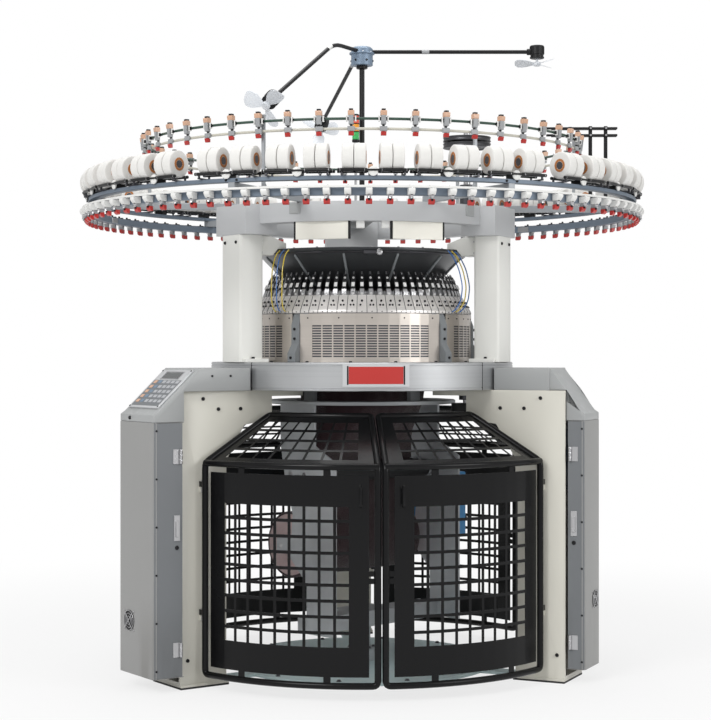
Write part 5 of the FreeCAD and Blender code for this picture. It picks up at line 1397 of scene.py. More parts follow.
@dataclass
class OperatorPanel(Assembly):
    """The panel on the left console: bezel, dark display, membrane keys and a key switch."""

    title: str = "operator panel"
    azimuth: float = -60.0
    flat_r: float = 942.0
    top_z: float = 1355.0
    rise: float = 183.0
    run: float = 199.0

    def matrix(self) -> Matrix:
        """From the panel's own plane, x across, y down the slope and z out of it, to its place."""
        tilt = Matrix.Rotation(math.atan2(self.rise, self.run), 4, "X")
        flip = Matrix.Rotation(math.pi, 4, "Z")
        return turn(self.azimuth) @ Matrix.Translation((0.0, -self.flat_r, self.top_z)) @ tilt @ flip

    def slab(self, x: tuple[float, float], y: tuple[float, float], z: tuple[float, float]) -> Form:
        """A block in the panel's own plane."""
        rings = [[Vector(p) for p in ((x[0], y[0], c), (x[1], y[0], c), (x[1], y[1], c), (x[0], y[1], c))]
                 for c in z]
        return Form().loop_faces(rings)

    def build(self) -> None:
        """Makes the plate, the display, the keys and the switch."""
        place = self.matrix()
        self.softer("operator_bezel", "operator_panel", PLATE_GREY, "panel_face", 2.0)
        glass = Form().add(self.slab((-73.0, 73.0), (37.0, 73.0), (2.0, 7.0)), place)
        self.form("operator_display", glass, DISPLAY, "panel_face", ease=1.0)
        foil = Form().add(self.slab((-118.0, 118.0), (84.0, 240.0), (7.6, 8.6)), place)
        self.form("operator_foil", foil, FOIL_GREY, "panel_face", ease=0.3)
        for name, finish, keep in (("pale", KEY_GREY, (0, 1, 2, 3)), ("blue", HUB_BLUE, (4,)),
                                   ("red", COPPER, (5,))):
            keys = Form()
            for row in range(5):
                for column in range(6):
                    if column in keep:
                        x, y = -96.0 + column * 38.0, 96.0 + row * 29.0
                        keys.add(self.slab((x - 13.0, x + 13.0), (y - 8.5, y + 8.5), (8.0, 9.8)), place)
            self.form("operator_keys_" + name, keys, finish, "panel_face", ease=0.7)
        edge = Form()
        for x, y in (((-79.0, 79.0), (31.0, 35.5)), ((-79.0, 79.0), (74.5, 79.0)),
                     ((-79.0, -74.5), (31.0, 79.0)), ((74.5, 79.0), (31.0, 79.0))):
            edge.add(self.slab(x, y, (7.5, 9.5)), place)
        self.form("operator_display_rim", edge, STEEL, "panel_face", ease=0.6)
        screws = Form()
        for x in (-124.0, 124.0):
            for y in (26.0, 244.0):
                screws.add(Form().spun([(4.0, -0.5), (4.0, 1.5), (2.0, 2.4)], 12, Vector((x, y, 8.0))),
                           place)
        self.form("operator_screws", screws, SCREW_BLACK, "panel_face")
        lock_at = turn(self.azimuth) @ front(-60.0, 1160.0, 1146.0)
        lock = Form().spun([(8.0, -2.0), (8.0, 4.0), (6.0, 6.0), (3.0, 6.0)], 18, lock_at,
                           turn(self.azimuth) @ OUTWARD)
        self.form("operator_lock", lock, SCREW_BLACK, "cabinet_paint")


@dataclass
class RearCap(Assembly):
    """The folded cap over the rear leg, with its screws."""

    title: str = "rear cap"

    def build(self) -> None:
        """Makes the cap."""
        self.softer("rear_cap_sheet", "rear_cap", CONSOLE_GREY, "cabinet_paint", 3.0)
        spots = [(s * 115.0, r, 1322.0) for s in (-1, 1) for r in (760.0, 860.0, 960.0)]
        places = [p for s in (-1, 1) for p in socket_screws([q for q in spots if q[0] * s > 0], 180.0, s)]
        self.repeat("rear_cap_screws", screw_head(5.0, 3.5), places, SCREW_BLACK, "cabinet_paint")


@dataclass
class Drive(Assembly):
    """Motor, belt, pulleys, pinion shaft, ring gear and bearing ring under the bed."""

    title: str = "drive"
    motor_r: float = 88.0
    motor_at: float = 930.0

    def build(self) -> None:
        """Makes the motor with its fins, the pulleys and the eased gears."""
        at = polar(60.0, self.motor_at, 0.0)
        body = [(60.0, 820.0), (self.motor_r - 10.0, 826.0), (self.motor_r - 10.0, 1092.0),
                (self.motor_r, 1094.0), (self.motor_r, 1100.0)]
        motor = Form().spun(body, 40, at)
        motor.box((-103.0, 103.0), (850.0, 990.0), (1100.0, 1113.8), 60.0)
        self.form("drive_motor_body", motor, MOTOR_PAINT, "motor_paint", replaces=("drive_motor",))
        fin = Form().box((-1.6, 1.6), (self.motor_r - 12.0, self.motor_r - 0.5), (845.0, 1080.0))
        fins = [Place(at, a) for a in range(0, 360, 12)]
        self.repeat("drive_motor_fins", fin, fins, MOTOR_PAINT, "motor_paint")
        small = [(15.0, 1041.0), (15.0, 1158.0), (38.0, 1160.0), (40.0, 1161.0), (40.0, 1195.0),
                 (38.0, 1196.0), (15.0, 1196.4), (15.0, 1202.0)]
        self.form("motor_pulley_wheel", Form().spun(small, 40, at), DARK_STEEL, "gear_steel", "motor_shaft",
                  ("motor_pulley",))
        self.softer("drive_belt_band", "drive_belt", RUBBER, "belt_rubber", 0.8, segments=1)
        self.softer("pinion_shaft", "drive_shaft", STEEL, "gear_steel", 0.8, segments=1, body="pinion")
        self.softer("ring_gear", "cylinder_gear", STEEL, "gear_steel", 0.8, segments=1, body="rotor")
        race = [(352.0, BED_LOW), (430.0, BED_LOW), (430.0, 1285.0), (427.0, 1288.0), (355.0, 1288.0),
                (352.0, 1285.0)]
        self.form("bearing_race", Form().spun(race, 120, closed=True), DARK_STEEL, "gear_steel",
                  replaces=("bearing_ring",))
        self.softer("shaft_housings", "shaft_bearings", DARK_STEEL, "gear_steel", 1.0, segments=1)


@dataclass
class Bed(Assembly):
    """The round bed with its turned face, dark seams, oil groove and the bare plate at its front."""

    title: str = "bed"
    bore: float = 455.0
    radius: float = 690.0
    low: float = BED_LOW
    top: float = BED_TOP

    def build(self) -> None:
        """Makes the ring, its seams, its plate and its bolts."""
        r = self.radius
        profile = [(self.bore, self.low), (r - 3.0, self.low), (r, self.low + 3.0), (r, self.low + 9.0),
                   (r - 2.5, self.low + 10.0), (r - 2.5, self.low + 12.0), (r, self.low + 13.0),
                   (r, self.top - 15.0), (r - 2.0, self.top - 13.5), (r - 2.0, self.top - 11.5),
                   (r, self.top - 10.0), (r, self.top - 4.0), (r - 4.0, self.top), (self.bore, self.top)]
        self.form("bed_casting", Form().spun(profile, 192, closed=True), BED_STEEL, "bed_metal",
                  replaces=("bed_ring",))
        seams = Form()
        for azimuth in (-48.7, 44.3, 135.0, 225.0):
            seams.box((-1.6, 1.6), (r - 6.0, r + 0.5), (self.low + 0.5, self.top - 0.8), azimuth)
        self.form("bed_seams", seams, SCREW_BLACK, "bed_metal")
        places = [facing_up(a, 560.0, self.top) for a in range(10, 370, 20)]
        self.repeat("bed_bolts", screw_head(7.0, 6.0), places, SCREW_BLACK, "bed_metal")
        self.badge()

    def curved(self, azimuths: tuple[float, float], z: tuple[float, float], r: tuple[float, float]) -> Form:
        """A plate that follows the bed's face between two azimuths."""
        steps = 16
        rings = [[polar(a, d, h) for d, h in ((r[0], z[0]), (r[1], z[0]), (r[1], z[1]), (r[0], z[1]))]
                 for a in spaced(azimuths[0], azimuths[1], steps)]
        return Form().loop_faces(rings)

    def badge(self) -> None:
        """The backing plate with a bare red field between two dark ends."""
        r = self.radius
        self.form("badge_plate", self.curved((-11.8, 11.8), (1277.0, 1373.0), (r - 1.0, r + 3.6)),
                  PLATE_GREY, "badge_grey", replaces=("front_badge",), ease=0.6)
        self.form("badge_field", self.curved((-9.6, 9.6), (1289.0, 1362.0), (r + 3.0, r + 4.6)),
                  RED_PLASTIC, "badge_grey", ease=0.4)
        ends = self.curved((-10.2, -9.7), (1286.0, 1365.0), (r + 3.0, r + 4.9))
        ends.add(self.curved((9.7, 10.2), (1286.0, 1365.0), (r + 3.0, r + 4.9)))
        self.form("badge_ends", ends, SCREW_BLACK, "badge_grey", ease=0.4)


# ---------------------------------------------------------------- take-down
@dataclass
class TakeDown(Assembly):
    """The rotating frame under the bed: knitted tube, nip rollers, wound roll and drive box."""

    title: str = "take-down"
    angle: float = 220.0
    plate_x: float = 394.0
    plate_thick: float = 12.0
    roller_r: float = 40.0
    roller_y: float = 43.3
    roller_z: float = 880.0
    roll_r: float = 150.0
    roll_half: float = 350.0
    roll_y: float = 110.0
    roll_z: float = 557.0
    waves: int = 9
    wave_share: float = 0.018
    half_width: float = 330.0
    web_thick: float = 6.0
    levels: tuple[tuple[float, float, float], ...] = (
        (1683.0, 352.0, 0.0), (1400.0, 322.0, 0.0), (1290.0, 290.0, 0.0), (1190.0, 282.0, 0.06),
        (1100.0, 276.0, 0.28), (1010.0, 276.0, 0.64), (928.0, 276.0, 0.985))

    def placed(self, form: Form) -> Form:
        """A form drawn along X, turned to its place at rest."""
        return Form().add(form, turn(self.angle))

    def build(self) -> None:
        """Makes the frame, the box, the rollers, the cloth and the roll."""
        self.softer("takedown_castings", "takedown_frame", TAKEDOWN_GREY, "takedown_grey", 1.6,
                    body="rotor")
        self.gearbox()
        for name, side in (("front", -1), ("rear", 1)):
            self.roller(name, side)
        self.tube()
        self.web()
        self.roll()

    def gearbox(self) -> None:
        """The blue drive box with its ribbed lid, bolts, sight glass and chain guard."""
        self.softer("takedown_box", "takedown_gearbox", GEARBOX_BLUE, "gearbox_blue", 5.0, segments=3,
                    body="rotor")
        x = -self.plate_x - self.plate_thick - 110.0
        lid = Form().box((x - 5.0, x + 1.0), (-168.0, 48.0), (585.0, 835.0))
        for z in spaced(620.0, 800.0, 6):
            lid.box((x - 9.0, x - 4.0), (-150.0, 30.0), (z - 4.0, z + 4.0))
        lid.box((-self.plate_x - self.plate_thick - 45.0, -self.plate_x - self.plate_thick - 5.0),
                (-60.0, 60.0), (858.0, 930.0))
        self.form("takedown_box_lid", self.placed(lid), GEARBOX_BLUE, "gearbox_blue", "rotor", ease=1.5)
        out = turn(self.angle) @ Vector((-1.0, 0.0, 0.0))
        bolts = Form()
        for y in (-38.0, 60.0, 158.0):
            for z in (595.0, 825.0):
                base = turn(self.angle) @ Vector((x - 5.0, y, z))
                bolts.spun([(7.0, -0.5), (7.0, 4.0), (5.5, 5.5)], 6, base, out)
        glass = Form().spun([(13.0, -0.5), (13.0, 3.0), (9.0, 4.0)], 20,
                            turn(self.angle) @ Vector((x, 172.0, 640.0)), out)
        self.form("takedown_box_bolts", bolts, STEEL, "gearbox_blue", "rotor")
        self.form("takedown_sight_glass", glass, DISPLAY, "gearbox_blue", "rotor")

    def roller(self, name: str, side: int) -> None:
        """A nip roller with a rubber sleeve, bright collars and journals."""
        y = side * self.roller_y
        end = self.plate_x + self.plate_thick
        start = turn(self.angle) @ Vector((-end, y, self.roller_z))
        along = turn(self.angle) @ ACROSS
        body = 2.0 * end
        inner = self.plate_thick + 0.4
        profile = [(10.0, 0.0), (12.0, 2.0), (12.0, inner), (self.roller_r - 2.0, inner),
                   (self.roller_r, inner + 2.0), (self.roller_r, inner + 18.0),
                   (self.roller_r - 1.0, inner + 19.0),
                   (self.roller_r - 1.0, body - inner - 19.0), (self.roller_r, body - inner - 18.0),
                   (self.roller_r, body - inner - 2.0), (self.roller_r - 2.0, body - inner),
                   (12.0, body - inner), (12.0, body - 2.0), (10.0, body)]
        self.form("nip_roller_" + name, Form().spun(profile, 48, start, along), STEEL, "roller_steel",
                  "nip_" + name, ("roller_" + name,))

        sleeve = [(self.roller_r - 0.9, 34.0), (self.roller_r - 0.1, 35.0),
                  (self.roller_r - 0.1, body - 35.0), (self.roller_r - 0.9, body - 34.0)]
        self.form("nip_sleeve_" + name, Form().spun(sleeve, 48, start, along), RUBBER, "roller_steel",
                  "nip_" + name)

    def section(self, z: float, inset: float, count: int) -> list[Vector]:
        """A closed wavy section of the tube at a height, inset from its outside."""
        for upper, lower in zip(self.levels, self.levels[1:]):
            if z >= lower[0]:
                break
        t = (upper[0] - z) / (upper[0] - lower[0])
        t = min(max(t, 0.0), 1.0)
        radius = upper[1] + (lower[1] - upper[1]) * t
        share = upper[2] + (lower[2] - upper[2]) * t
        points = []
        fine = 0.004 * min(1.0, max(0.0, (1640.0 - z) / 300.0))
        for k in range(count):
            angle = 2.0 * math.pi * k / count
            wave = 1.0 + self.wave_share * math.sin(angle * self.waves)
            wave += fine * math.sin(angle * 31.0 + z * 0.006) - fine
            x = (radius * (1.0 - share) + self.half_width * share) * wave * math.cos(angle)
            y = (radius * (1.0 - share) + self.web_thick / 2.0 * share) * wave * math.sin(angle)
            flat = inset * (1.0 - 0.75 * share)
            length = math.hypot(x, y)
            points.append(Vector((x - x / length * inset, y - y / length * flat, z)))
        return points

    def tube(self) -> None:
        """The knitted tube that hangs from the cylinder in folds and ends flat in the nip."""
        count, wall = 160, 1.6
        heights = spaced(self.levels[0][0], self.levels[-1][0] - 1.0, 48)
        rings = [self.section(z, 0.0, count) for z in heights]
        rings += [self.section(z, wall, count) for z in reversed(heights)]
        rows = heights + list(reversed(heights))
        marks = [[(900.0 * j / count, (1683.0 - z) / 2.0) for j in range(count + 1)] for z in rows]
        form = self.placed(Form().loop_faces(rings, closed=True, marks=marks))
        tube = self.form("knitted_tube", form, CLOTH, "cloth", "rotor", ("fabric_tube",))

    def web(self) -> None:
        """The flat web from the nip down to the roll."""
        half = self.half_width - 8.0
        path = [(0.0, 930.0), (0.0, 905.0), (0.0, 880.0), (0.0, 855.0), (0.5, 833.0), (3.0, 800.0),
                (9.0, 740.0), (15.0, 680.0), (20.0, 630.0)]
        rings = []
        marks = []
        for k, (r, z) in enumerate(path):
            sway = 0.8 * math.sin(k * 0.9)
            ring = []
            columns = 24
            for j in range(columns + 1):
                x = -half + 2.0 * half * j / columns
                ring.append(front(x, r + sway * math.sin(j * 0.7) * (1.0 if k > 4 else 0.0) + 2.4, z))
            for j in range(columns, -1, -1):
                x = -half + 2.0 * half * j / columns
                ring.append(front(x, r + sway * math.sin(j * 0.7) * (1.0 if k > 4 else 0.0) - 0.6, z))
            rings.append(ring)
            row = [(256.0 * j / columns, z / 2.0) for j in range(columns + 1)]
            marks.append(row + list(reversed(row)) + [row[0]])
        web = self.form("knitted_web", self.placed(Form().loop_faces(rings, marks=marks)), CLOTH, "cloth",
                        "rotor")

    def roll(self) -> None:
        """The wound roll: its knitted wrap, its layered ends and its core on the shaft."""
        along = turn(self.angle) @ ACROSS
        middle = turn(self.angle) @ Vector((0.0, -self.roll_y, self.roll_z))
        start = middle - along * self.roll_half
        length = 2.0 * self.roll_half
        r = self.roll_r
        wrap = [(r - 14.0, 1.5), (r - 5.0, 0.6), (r - 1.4, 3.0), (r - 0.4, 10.0)]
        for k, t in enumerate(spaced(28.0, length - 28.0, 18)):
            wrap.append((r - 0.4 - 1.1 * (k % 3 == 1) - 0.5 * (k % 2), t))
        wrap += [(r - 0.4, length - 10.0), (r - 1.4, length - 3.0), (r - 5.0, length - 0.6),
                 (r - 14.0, length - 1.5)]
        outer = Form()
        sides = 96
        rings, marks = [], []
        tilt = UP.rotation_difference(along).to_matrix()
        for radius, t in wrap + [(r - 15.0, length - 30.0), (r - 15.0, 30.0)]:
            ring = []
            for k in range(sides):
                a = 2.0 * math.pi * k / sides
                uneven = radius * (1.0 + 0.0022 * math.sin(3.0 * a + 0.8) - 0.0022)
                ring.append(tilt @ Vector((uneven * math.sin(a), -uneven * math.cos(a), t)) + start)
            rings.append(ring)
            marks.append([(j / sides * 370.0, t / 2.2) for j in range(sides + 1)])
        outer.loop_faces(rings, closed=True, marks=marks)
        self.form("cloth_roll_wrap", outer, CLOTH, "cloth_roll", "cloth_winder", ("fabric_roll",))
        ends = Form()
        for base, way in ((start, along), (start + along * length, -along)):
            profile = [(r - 8.0, 6.0), (r - 10.0, 2.2)]
            for k in range(18):
                radius = r - 13.0 - k * 5.4
                profile.append((radius, 1.0 + 1.6 * (k % 2) + 0.6 * math.sin(k * 1.7)))
            profile += [(40.0, 3.0), (40.0, 12.0)]
            ends.spun(profile, 72, base, way, marked=True)
        self.form("cloth_roll_ends", ends, ROLL_END, "cloth_roll", "cloth_winder")
        core = Form()
        for base, way in ((start, along), (start + along * length, -along)):
            core.spun([(38.0, -2.0), (38.0, 10.0), (30.0, 10.0), (30.0, -1.0), (33.0, -2.0)], 36, base, way,
                      closed=True)
            core.spun([(29.5, 0.5), (29.5, 14.0)], 28, base, way)
        self.form("cloth_roll_core", core, SENSOR_GREY, "cloth_roll", "cloth_winder")
        end = self.plate_x + self.plate_thick
        shaft = Form().rod(middle - along * end, middle + along * end, 12.0, 24, 1.5)
        self.form("cloth_roll_shaft", shaft, STEEL, "roller_steel", "cloth_winder")


# ---------------------------------------------------------------- knitting head
@dataclass
class KnittingHead(Assembly):
    """Cylinder, cam ring, guides, slotted covers, dish, columns and top ring."""

    title: str = "knitting head"
    cylinder_r: float = 381.0
    cylinder_top: float = 1690.0
    cover_r: float = 500.0
    stations: int = 72
    needles: int = 288
    brackets: tuple[float, ...] = (-80.0, -40.0, 40.0, 80.0, 160.0, 200.0)

    def build(self) -> None:
        """Makes the head from the cylinder outwards and upwards."""
        self.cylinder()
        self.cams()
        self.guides()
        self.covers()
        self.bracket_set()
        self.dish()
        self.column_set()
        self.top_ring()
        self.signs()
        self.oil_lines()

    def cylinder(self) -> None:
        """The grooved needle cylinder and its ring of needles."""
        r, top = self.cylinder_r, self.cylinder_top
        wall = [(r - 22.0, 1332.0), (r - 1.0, 1332.0), (r, 1333.0), (r, top - 9.0), (r - 2.2, top - 8.0),
                (r - 2.2, top - 1.0), (r - 3.0, top), (r - 20.0, top), (r - 22.0, top - 2.0)]
        self.form("cylinder_wall", Form().spun(wall, 144, closed=True), STEEL, "needle_steel", "rotor",
                  ("needle_cylinder",))
        needle = Form().box((-0.9, 0.9), (r - 2.4, r - 0.2), (top - 30.0, top + 2.5))
        needle.box((-0.7, 0.7), (r - 2.0, r - 0.2), (top + 2.0, top + 5.0))
        places = around(evenly(self.needles))
        self.repeat("cylinder_needles", needle, places, NEEDLE_STEEL, "needle_steel", "rotor")

    def cams(self) -> None:
        """The sloping cam ring with its seams, rims, dial studs and screws."""
        ring = [(400.0, CAM_LOW), (496.0, CAM_LOW), (500.0, 1595.0), (500.0, 1604.0), (498.0, 1608.0),
                (464.0, 1667.0), (460.0, CAM_TOP), (402.0, CAM_TOP), (400.0, 1670.0)]
        self.form("cam_ring_blocks", Form().spun(ring, 144, closed=True), CAM_STEEL, "cam_metal",
                  replaces=("cam_ring",))
        half = 180.0 / self.stations
        places = around([2.0 * half * k + half for k in range(self.stations)])
        seam = Form().side([(501.0, 1593.5), (501.0, 1604.8), (462.2, 1670.6), (459.0, 1672.6),
                            (457.0, 1668.0), (494.0, 1604.0), (496.0, 1593.5)], (-1.1, 1.1))
        self.repeat("cam_seams", seam, places, SCREW_BLACK, "cam_metal")
        down = math.degrees(math.atan2(61.0, 36.0))
        normal = -(90.0 - down)
        centres = around([2.0 * half * k for k in range(self.stations)])
        plate = Form().side([(493.0, 1620.5), (492.0, 1622.8), (474.0, 1654.0), (472.4, 1652.4),
                             (491.0, 1619.5)],
                            (-15.0, 15.0))
        self.repeat("cam_plates", plate, centres, CAM_STEEL, "cam_metal", ease=0.5)
        upper, lower, studs = [], [], []
        for k in range(self.stations):
            azimuth = 2.0 * half * k
            across = 6.5
            for shift, r, z, bag in ((-across, 490.0, 1628.0, lower), (across, 490.0, 1628.0, lower),
                                     (0.0, 479.5, 1646.0, upper)):
                if k % 4 == 3 and shift > 0.0:
                    continue
                at = turn(azimuth) @ front(shift, r, z)
                bag.append(Place(at, azimuth, normal))
            studs.append(Place(polar(azimuth, 499.5, 1599.0), azimuth, 0.0))
        self.repeat("cam_dials_low", screw_head(4.4, 3.0, 8), lower, SCREW_BLACK, "cam_metal")
        self.repeat("cam_dials_high", screw_head(5.0, 4.0, 8), upper, SCREW_BLACK, "cam_metal")
        self.repeat("cam_studs", screw_head(2.6, 1.6, 6), studs, SCREW_BLACK, "cam_metal")

    def guides(self) -> None:
        """The yarn guides that lean in over the cylinder, each with a dark back, a white block and two
        eyelets.
        """
        azimuths = evenly(self.stations)
        arm = Form().side([(455.0, 1671.0), (455.0, 1674.0), (409.5, 1776.0), (407.0, 1777.0),
                           (410.5, 1766.0), (428.0, 1700.0), (435.0, 1671.0)], (-3.0, 3.0))
        arm.side([(453.0, CAM_TOP), (453.0, 1684.0), (446.0, 1700.0), (434.0, 1700.0), (436.0, CAM_TOP)],
                 (-10.0, 10.0))
        self.repeat("guide_arms", arm, around(azimuths), STEEL, "guide_metal", replaces=("yarn_guides",),
                    ease=0.5)
        back = Form().side([(444.0, 1700.5), (446.5, 1701.5), (418.5, 1764.0), (416.0, 1762.5)],
                           (-8.5, 8.5))
        self.repeat("guide_backs", back, around(azimuths), SCREW_BLACK, "guide_metal")
        block = Form().side([(444.5, 1709.0), (449.0, 1711.0), (441.0, 1729.0), (436.5, 1727.0)],
                            (-7.0, 7.0))
        self.repeat("guide_blocks", block, around(azimuths), EYELET, "guide_metal", ease=0.8)
        lean = math.degrees(math.atan2(46.0, 103.0))
        places = [Place(polar(a, 453.0, 1678.5), a, 0.0) for a in azimuths]
        eye = Form().spun([(1.8, 0.0), (4.6, 0.0), (5.0, 1.4), (4.2, 2.6), (2.0, 2.6)], 10,
                          Vector(), OUTWARD, closed=True)
        self.repeat("guide_eyelets", eye, places, EYELET, "guide_metal")
        tops = [Place(polar(a, 426.0, 1748.0), a, -lean) for a in azimuths]
        self.repeat("guide_top_eyelets", eye, tops, EYELET, "guide_metal")

    def covers(self) -> None:
        """Slotted sheet covers between the brackets, with a plain band and screws along the top, and a dark
        sheet behind the slots as painted shade.
        """
        order = sorted(self.brackets)
        top_band, screws, painted_shade_sheet = Form(), [], Form()
        for k, first in enumerate(order):
            last = order[(k + 1) % len(order)] + (360.0 if k + 1 == len(order) else 0.0)
            low, high = first + 2.39, last - 2.39
            span = high - low
            margin, gap = 6.7, 5.62
            columns = max(2, round((span - 2.0 * margin) / gap))
            pitch = (span - 2.0 * margin) / columns
            mesh = perforated("vent_sheet_%d" % k, COVER_NICKEL, (columns, 13),
                              (low, high, self.cover_r - 1.2, 1380.0),
                              (low, high, self.cover_r - 1.2, 1591.0),
                              columns=(margin + pitch * 0.06, pitch, pitch * 0.88), rows=(22.0, 11.0, 6.6),
                              thickness=2.4)
            self.piece("vent_sheet_%d" % k, mesh, COVER_NICKEL, "cover_metal", MACHINE,
                       ("vent_covers",) if k == 0 else ())
            for share in (0.06, 0.28, 0.5, 0.72, 0.94):
                azimuth = low + span * share
                screws.append(Place(polar(azimuth, self.cover_r, 1572.0), azimuth, 0.0))
            steps = max(4, int(span / 3.0))
            # a dark sheet just behind the slots, as painted shade seen through them
            rings = [[polar(a, d, h) for d, h in ((496.0, 1382.0), (497.2, 1382.0), (497.2, 1588.0),
                                                  (496.0, 1588.0))] for a in spaced(low + 0.3, high - 0.3,
                                                                                    steps)]
            painted_shade_sheet.loop_faces(rings)
            edge = [[polar(a, d, h) for d, h in ((498.0, 1588.6), (500.6, 1588.6), (500.6, 1591.6),
                                                 (498.0, 1591.6))] for a in spaced(low, high, steps)]
            top_band.loop_faces(edge)
        self.form("vent_shade", painted_shade_sheet, DARK_STEEL, "cover_metal")
        self.form("vent_rims", top_band, STEEL, "cover_metal")
        self.repeat("vent_screws", screw_head(3.4, 2.4, 8), screws, SCREW_BLACK, "cover_metal")

    def bracket_set(self) -> None:
        """The brackets that carry the cam ring from the bed."""
        bracket = Form().side([(458.0, BED_TOP), (540.0, BED_TOP), (540.0, 1419.0), (512.0, 1459.0),
                               (512.0, 1542.0), (492.0, CAM_LOW), (458.0, CAM_LOW)], (-20.0, 20.0))
        self.repeat("ring_brackets", bracket, around(self.brackets), BRACKET_GREY, "cover_metal",
                    replaces=("cover_brackets",), ease=3.0)
        bolts = [Place(polar(a, 540.0, 1399.0), a) for a in self.brackets]
        bolts += [Place(polar(a, 512.0, z), a) for a in self.brackets for z in (1482.0, 1524.0)]
        self.repeat("bracket_bolts", screw_head(6.0, 5.0), bolts, SCREW_BLACK, "cover_metal")

    def dish(self) -> None:
        """The dish under the arms: eased shell, ribs whose lighter grey is a painted highlight of the light
        on their edges, drive block and bright knob.
        """
        shell = [(205.0, 1694.5), (262.0, 1704.0), (312.0, 1722.0), (352.0, 1748.0), (390.0, 1786.0),
                 (430.0, 1826.0), (468.0, 1860.0), (478.0, 1867.0), (480.0, 1870.0), (480.0, 1878.0),
                 (478.0, DISH_TOP), (448.0, DISH_TOP), (444.0, 1878.0), (330.0, 1790.0), (260.0, 1742.0),
                 (192.0, 1696.5), (190.0, 1695.0)]
        self.form("dish_shell", Form().spun(shell, 120, closed=True), DISH_DARK, "dish_paint",
                  replaces=("dish",))
        slope = (1868.0 - 1694.0) / (480.0 - 205.0)
        # the ribs are real; their grey, lighter than the shell, paints the highlight along their edges
        rib = Form()
        rib.side([(300.0, 1720.0), (352.0, 1751.0), (390.0, 1789.0), (430.0, 1829.0), (460.0, 1856.0),
                  (460.0, 1846.0), (432.0, 1819.0), (392.0, 1778.0), (354.0, 1739.0), (306.0, 1710.0)],
                 (-5.0, 5.0))
        self.repeat("dish_ribs", rib, around([30.0 * k + 15.0 for k in range(12)]), BRACKET_GREY,
                    "dish_paint", ease=1.5)
        r = 470.0
        z = 1694.0 + (r - 205.0) * slope - 1.0
        hoop = Form().spun([(r - 4.0, z - 1.6 - 4.0 * slope), (r + 4.0, z - 1.6 + 4.0 * slope),
                            (r + 4.6, z - 4.6 + 4.0 * slope), (r - 3.4, z - 4.6 - 4.0 * slope)], 96,
                            closed=True)
        self.form("dish_hoops", hoop, DARK_STEEL, "dish_paint")
        inner = Form().spun([(191.0, 1699.0), (204.0, 1699.0), (204.0, 1693.4), (191.0, 1693.4)], 72,
                            closed=True)
        self.form("dish_lower_ring", inner, STEEL, "dish_paint")
        slab = Form().box((-34.0, 34.0), (455.0, 479.0), (1850.0, 1866.0))
        knob = Form().spun([(9.0, -4.0), (9.0, 0.0), (5.0, 1.0), (5.0, 6.0), (13.0, 8.0), (15.0, 13.0),
                            (12.0, 20.0), (5.0, 23.0)], 24, front(0.0, 472.0, 1857.0), OUTWARD)
        self.form("dish_knob", Form().add(knob, turn(4.0)), STEEL, "dish_paint")
        self.form("dish_block", slab, DARK_STEEL, "dish_paint", ease=2.0)
        bolts = [facing_up(a, 464.0, DISH_TOP) for a in range(0, 360, 15)
                 if all(abs((a - leg + 180.0) % 360.0 - 180.0) > 8.0 for leg in LEGS)]
        self.repeat("dish_bolts", screw_head(5.0, 4.0, 8), bolts, STEEL, "dish_paint")

    def column_set(self) -> None:
        """The three columns with feet, bolts and the arms that hold the dish."""
        body = [(-80.0, 590.0), (-70.0, 580.0), (70.0, 580.0), (80.0, 590.0), (80.0, 690.0), (70.0, 700.0),
                (-70.0, 700.0), (-80.0, 690.0)]
        column = Form().plate(body, (BED_TOP, COLUMN_TOP))
        column.box((-100.0, 100.0), (565.0, 684.0), (BED_TOP, 1395.0))
        self.repeat("column_bodies", column, around(LEGS), COLUMN_WHITE, "column_paint",
                    replaces=("columns",), ease=2.2)
        arm = Form().side([(440.0, DISH_TOP), (484.0, DISH_TOP), (510.0, 1850.0), (580.0, 1850.0),
                           (580.0, COLUMN_TOP), (520.0, COLUMN_TOP), (440.0, 1906.0)], (-45.0, 45.0))
        arm.box((-52.0, 52.0), (572.0, 580.0), (1840.0, COLUMN_TOP))
        self.repeat("column_arm_blocks", arm, around(LEGS), COLUMN_WHITE, "column_paint",
                    replaces=("column_arms",), ease=2.6)
        spots = [facing_up_beside(a, x, 640.0, 1395.0) for a in LEGS for x in (-90.0, 90.0)]
        self.repeat("column_foot_bolts", screw_head(7.0, 8.0), spots, SCREW_BLACK, "column_paint")
        caps = [Place(turn(a) @ front(x, 700.0, 1902.0), a) for a in LEGS for x in (-46.0, 46.0)]
        self.repeat("column_top_bolts", screw_head(7.0, 5.0), caps, SCREW_BLACK, "column_paint")
        sides = []
        for a in LEGS:
            for way in (-1.0, 1.0):
                sides += [Place(turn(a) @ front(way * 52.0, 576.0, z), a + 90.0 * way)
                          for z in (1862.0, 1912.0)]
        self.repeat("arm_bolts", screw_head(6.0, 5.0), sides, STEEL, "column_paint")

    def top_ring(self) -> None:
        """The top casting with eased edges, lobe bolts, hub plate and hanging tab."""
        self.softer("top_casting", "top_plate", BAND_GREY, "band_paint", 3.0)
        places = [facing_up_beside(a, x, r, BAND_TOP) for a in LEGS
                  for x in (-84.0, 84.0) for r in (575.0, 672.0)]
        self.repeat("lobe_bolts", hex_head(11.0, 9.0), places, STEEL, "band_paint")
        hub = [facing_up(a, 98.0, BAND_TOP) for a in range(0, 360, 60)]
        self.repeat("hub_bolts", hex_head(8.0, 7.0), hub, STEEL, "band_paint")
        face = Form()
        for a in (-31.6, 42.0):
            face.add(Form().box((-26.0, 26.0), (637.0, 646.0), (2014.0, 2062.0)), turn(a))
        self.form("band_tabs", face, CONSOLE_GREY, "band_paint", ease=2.0)

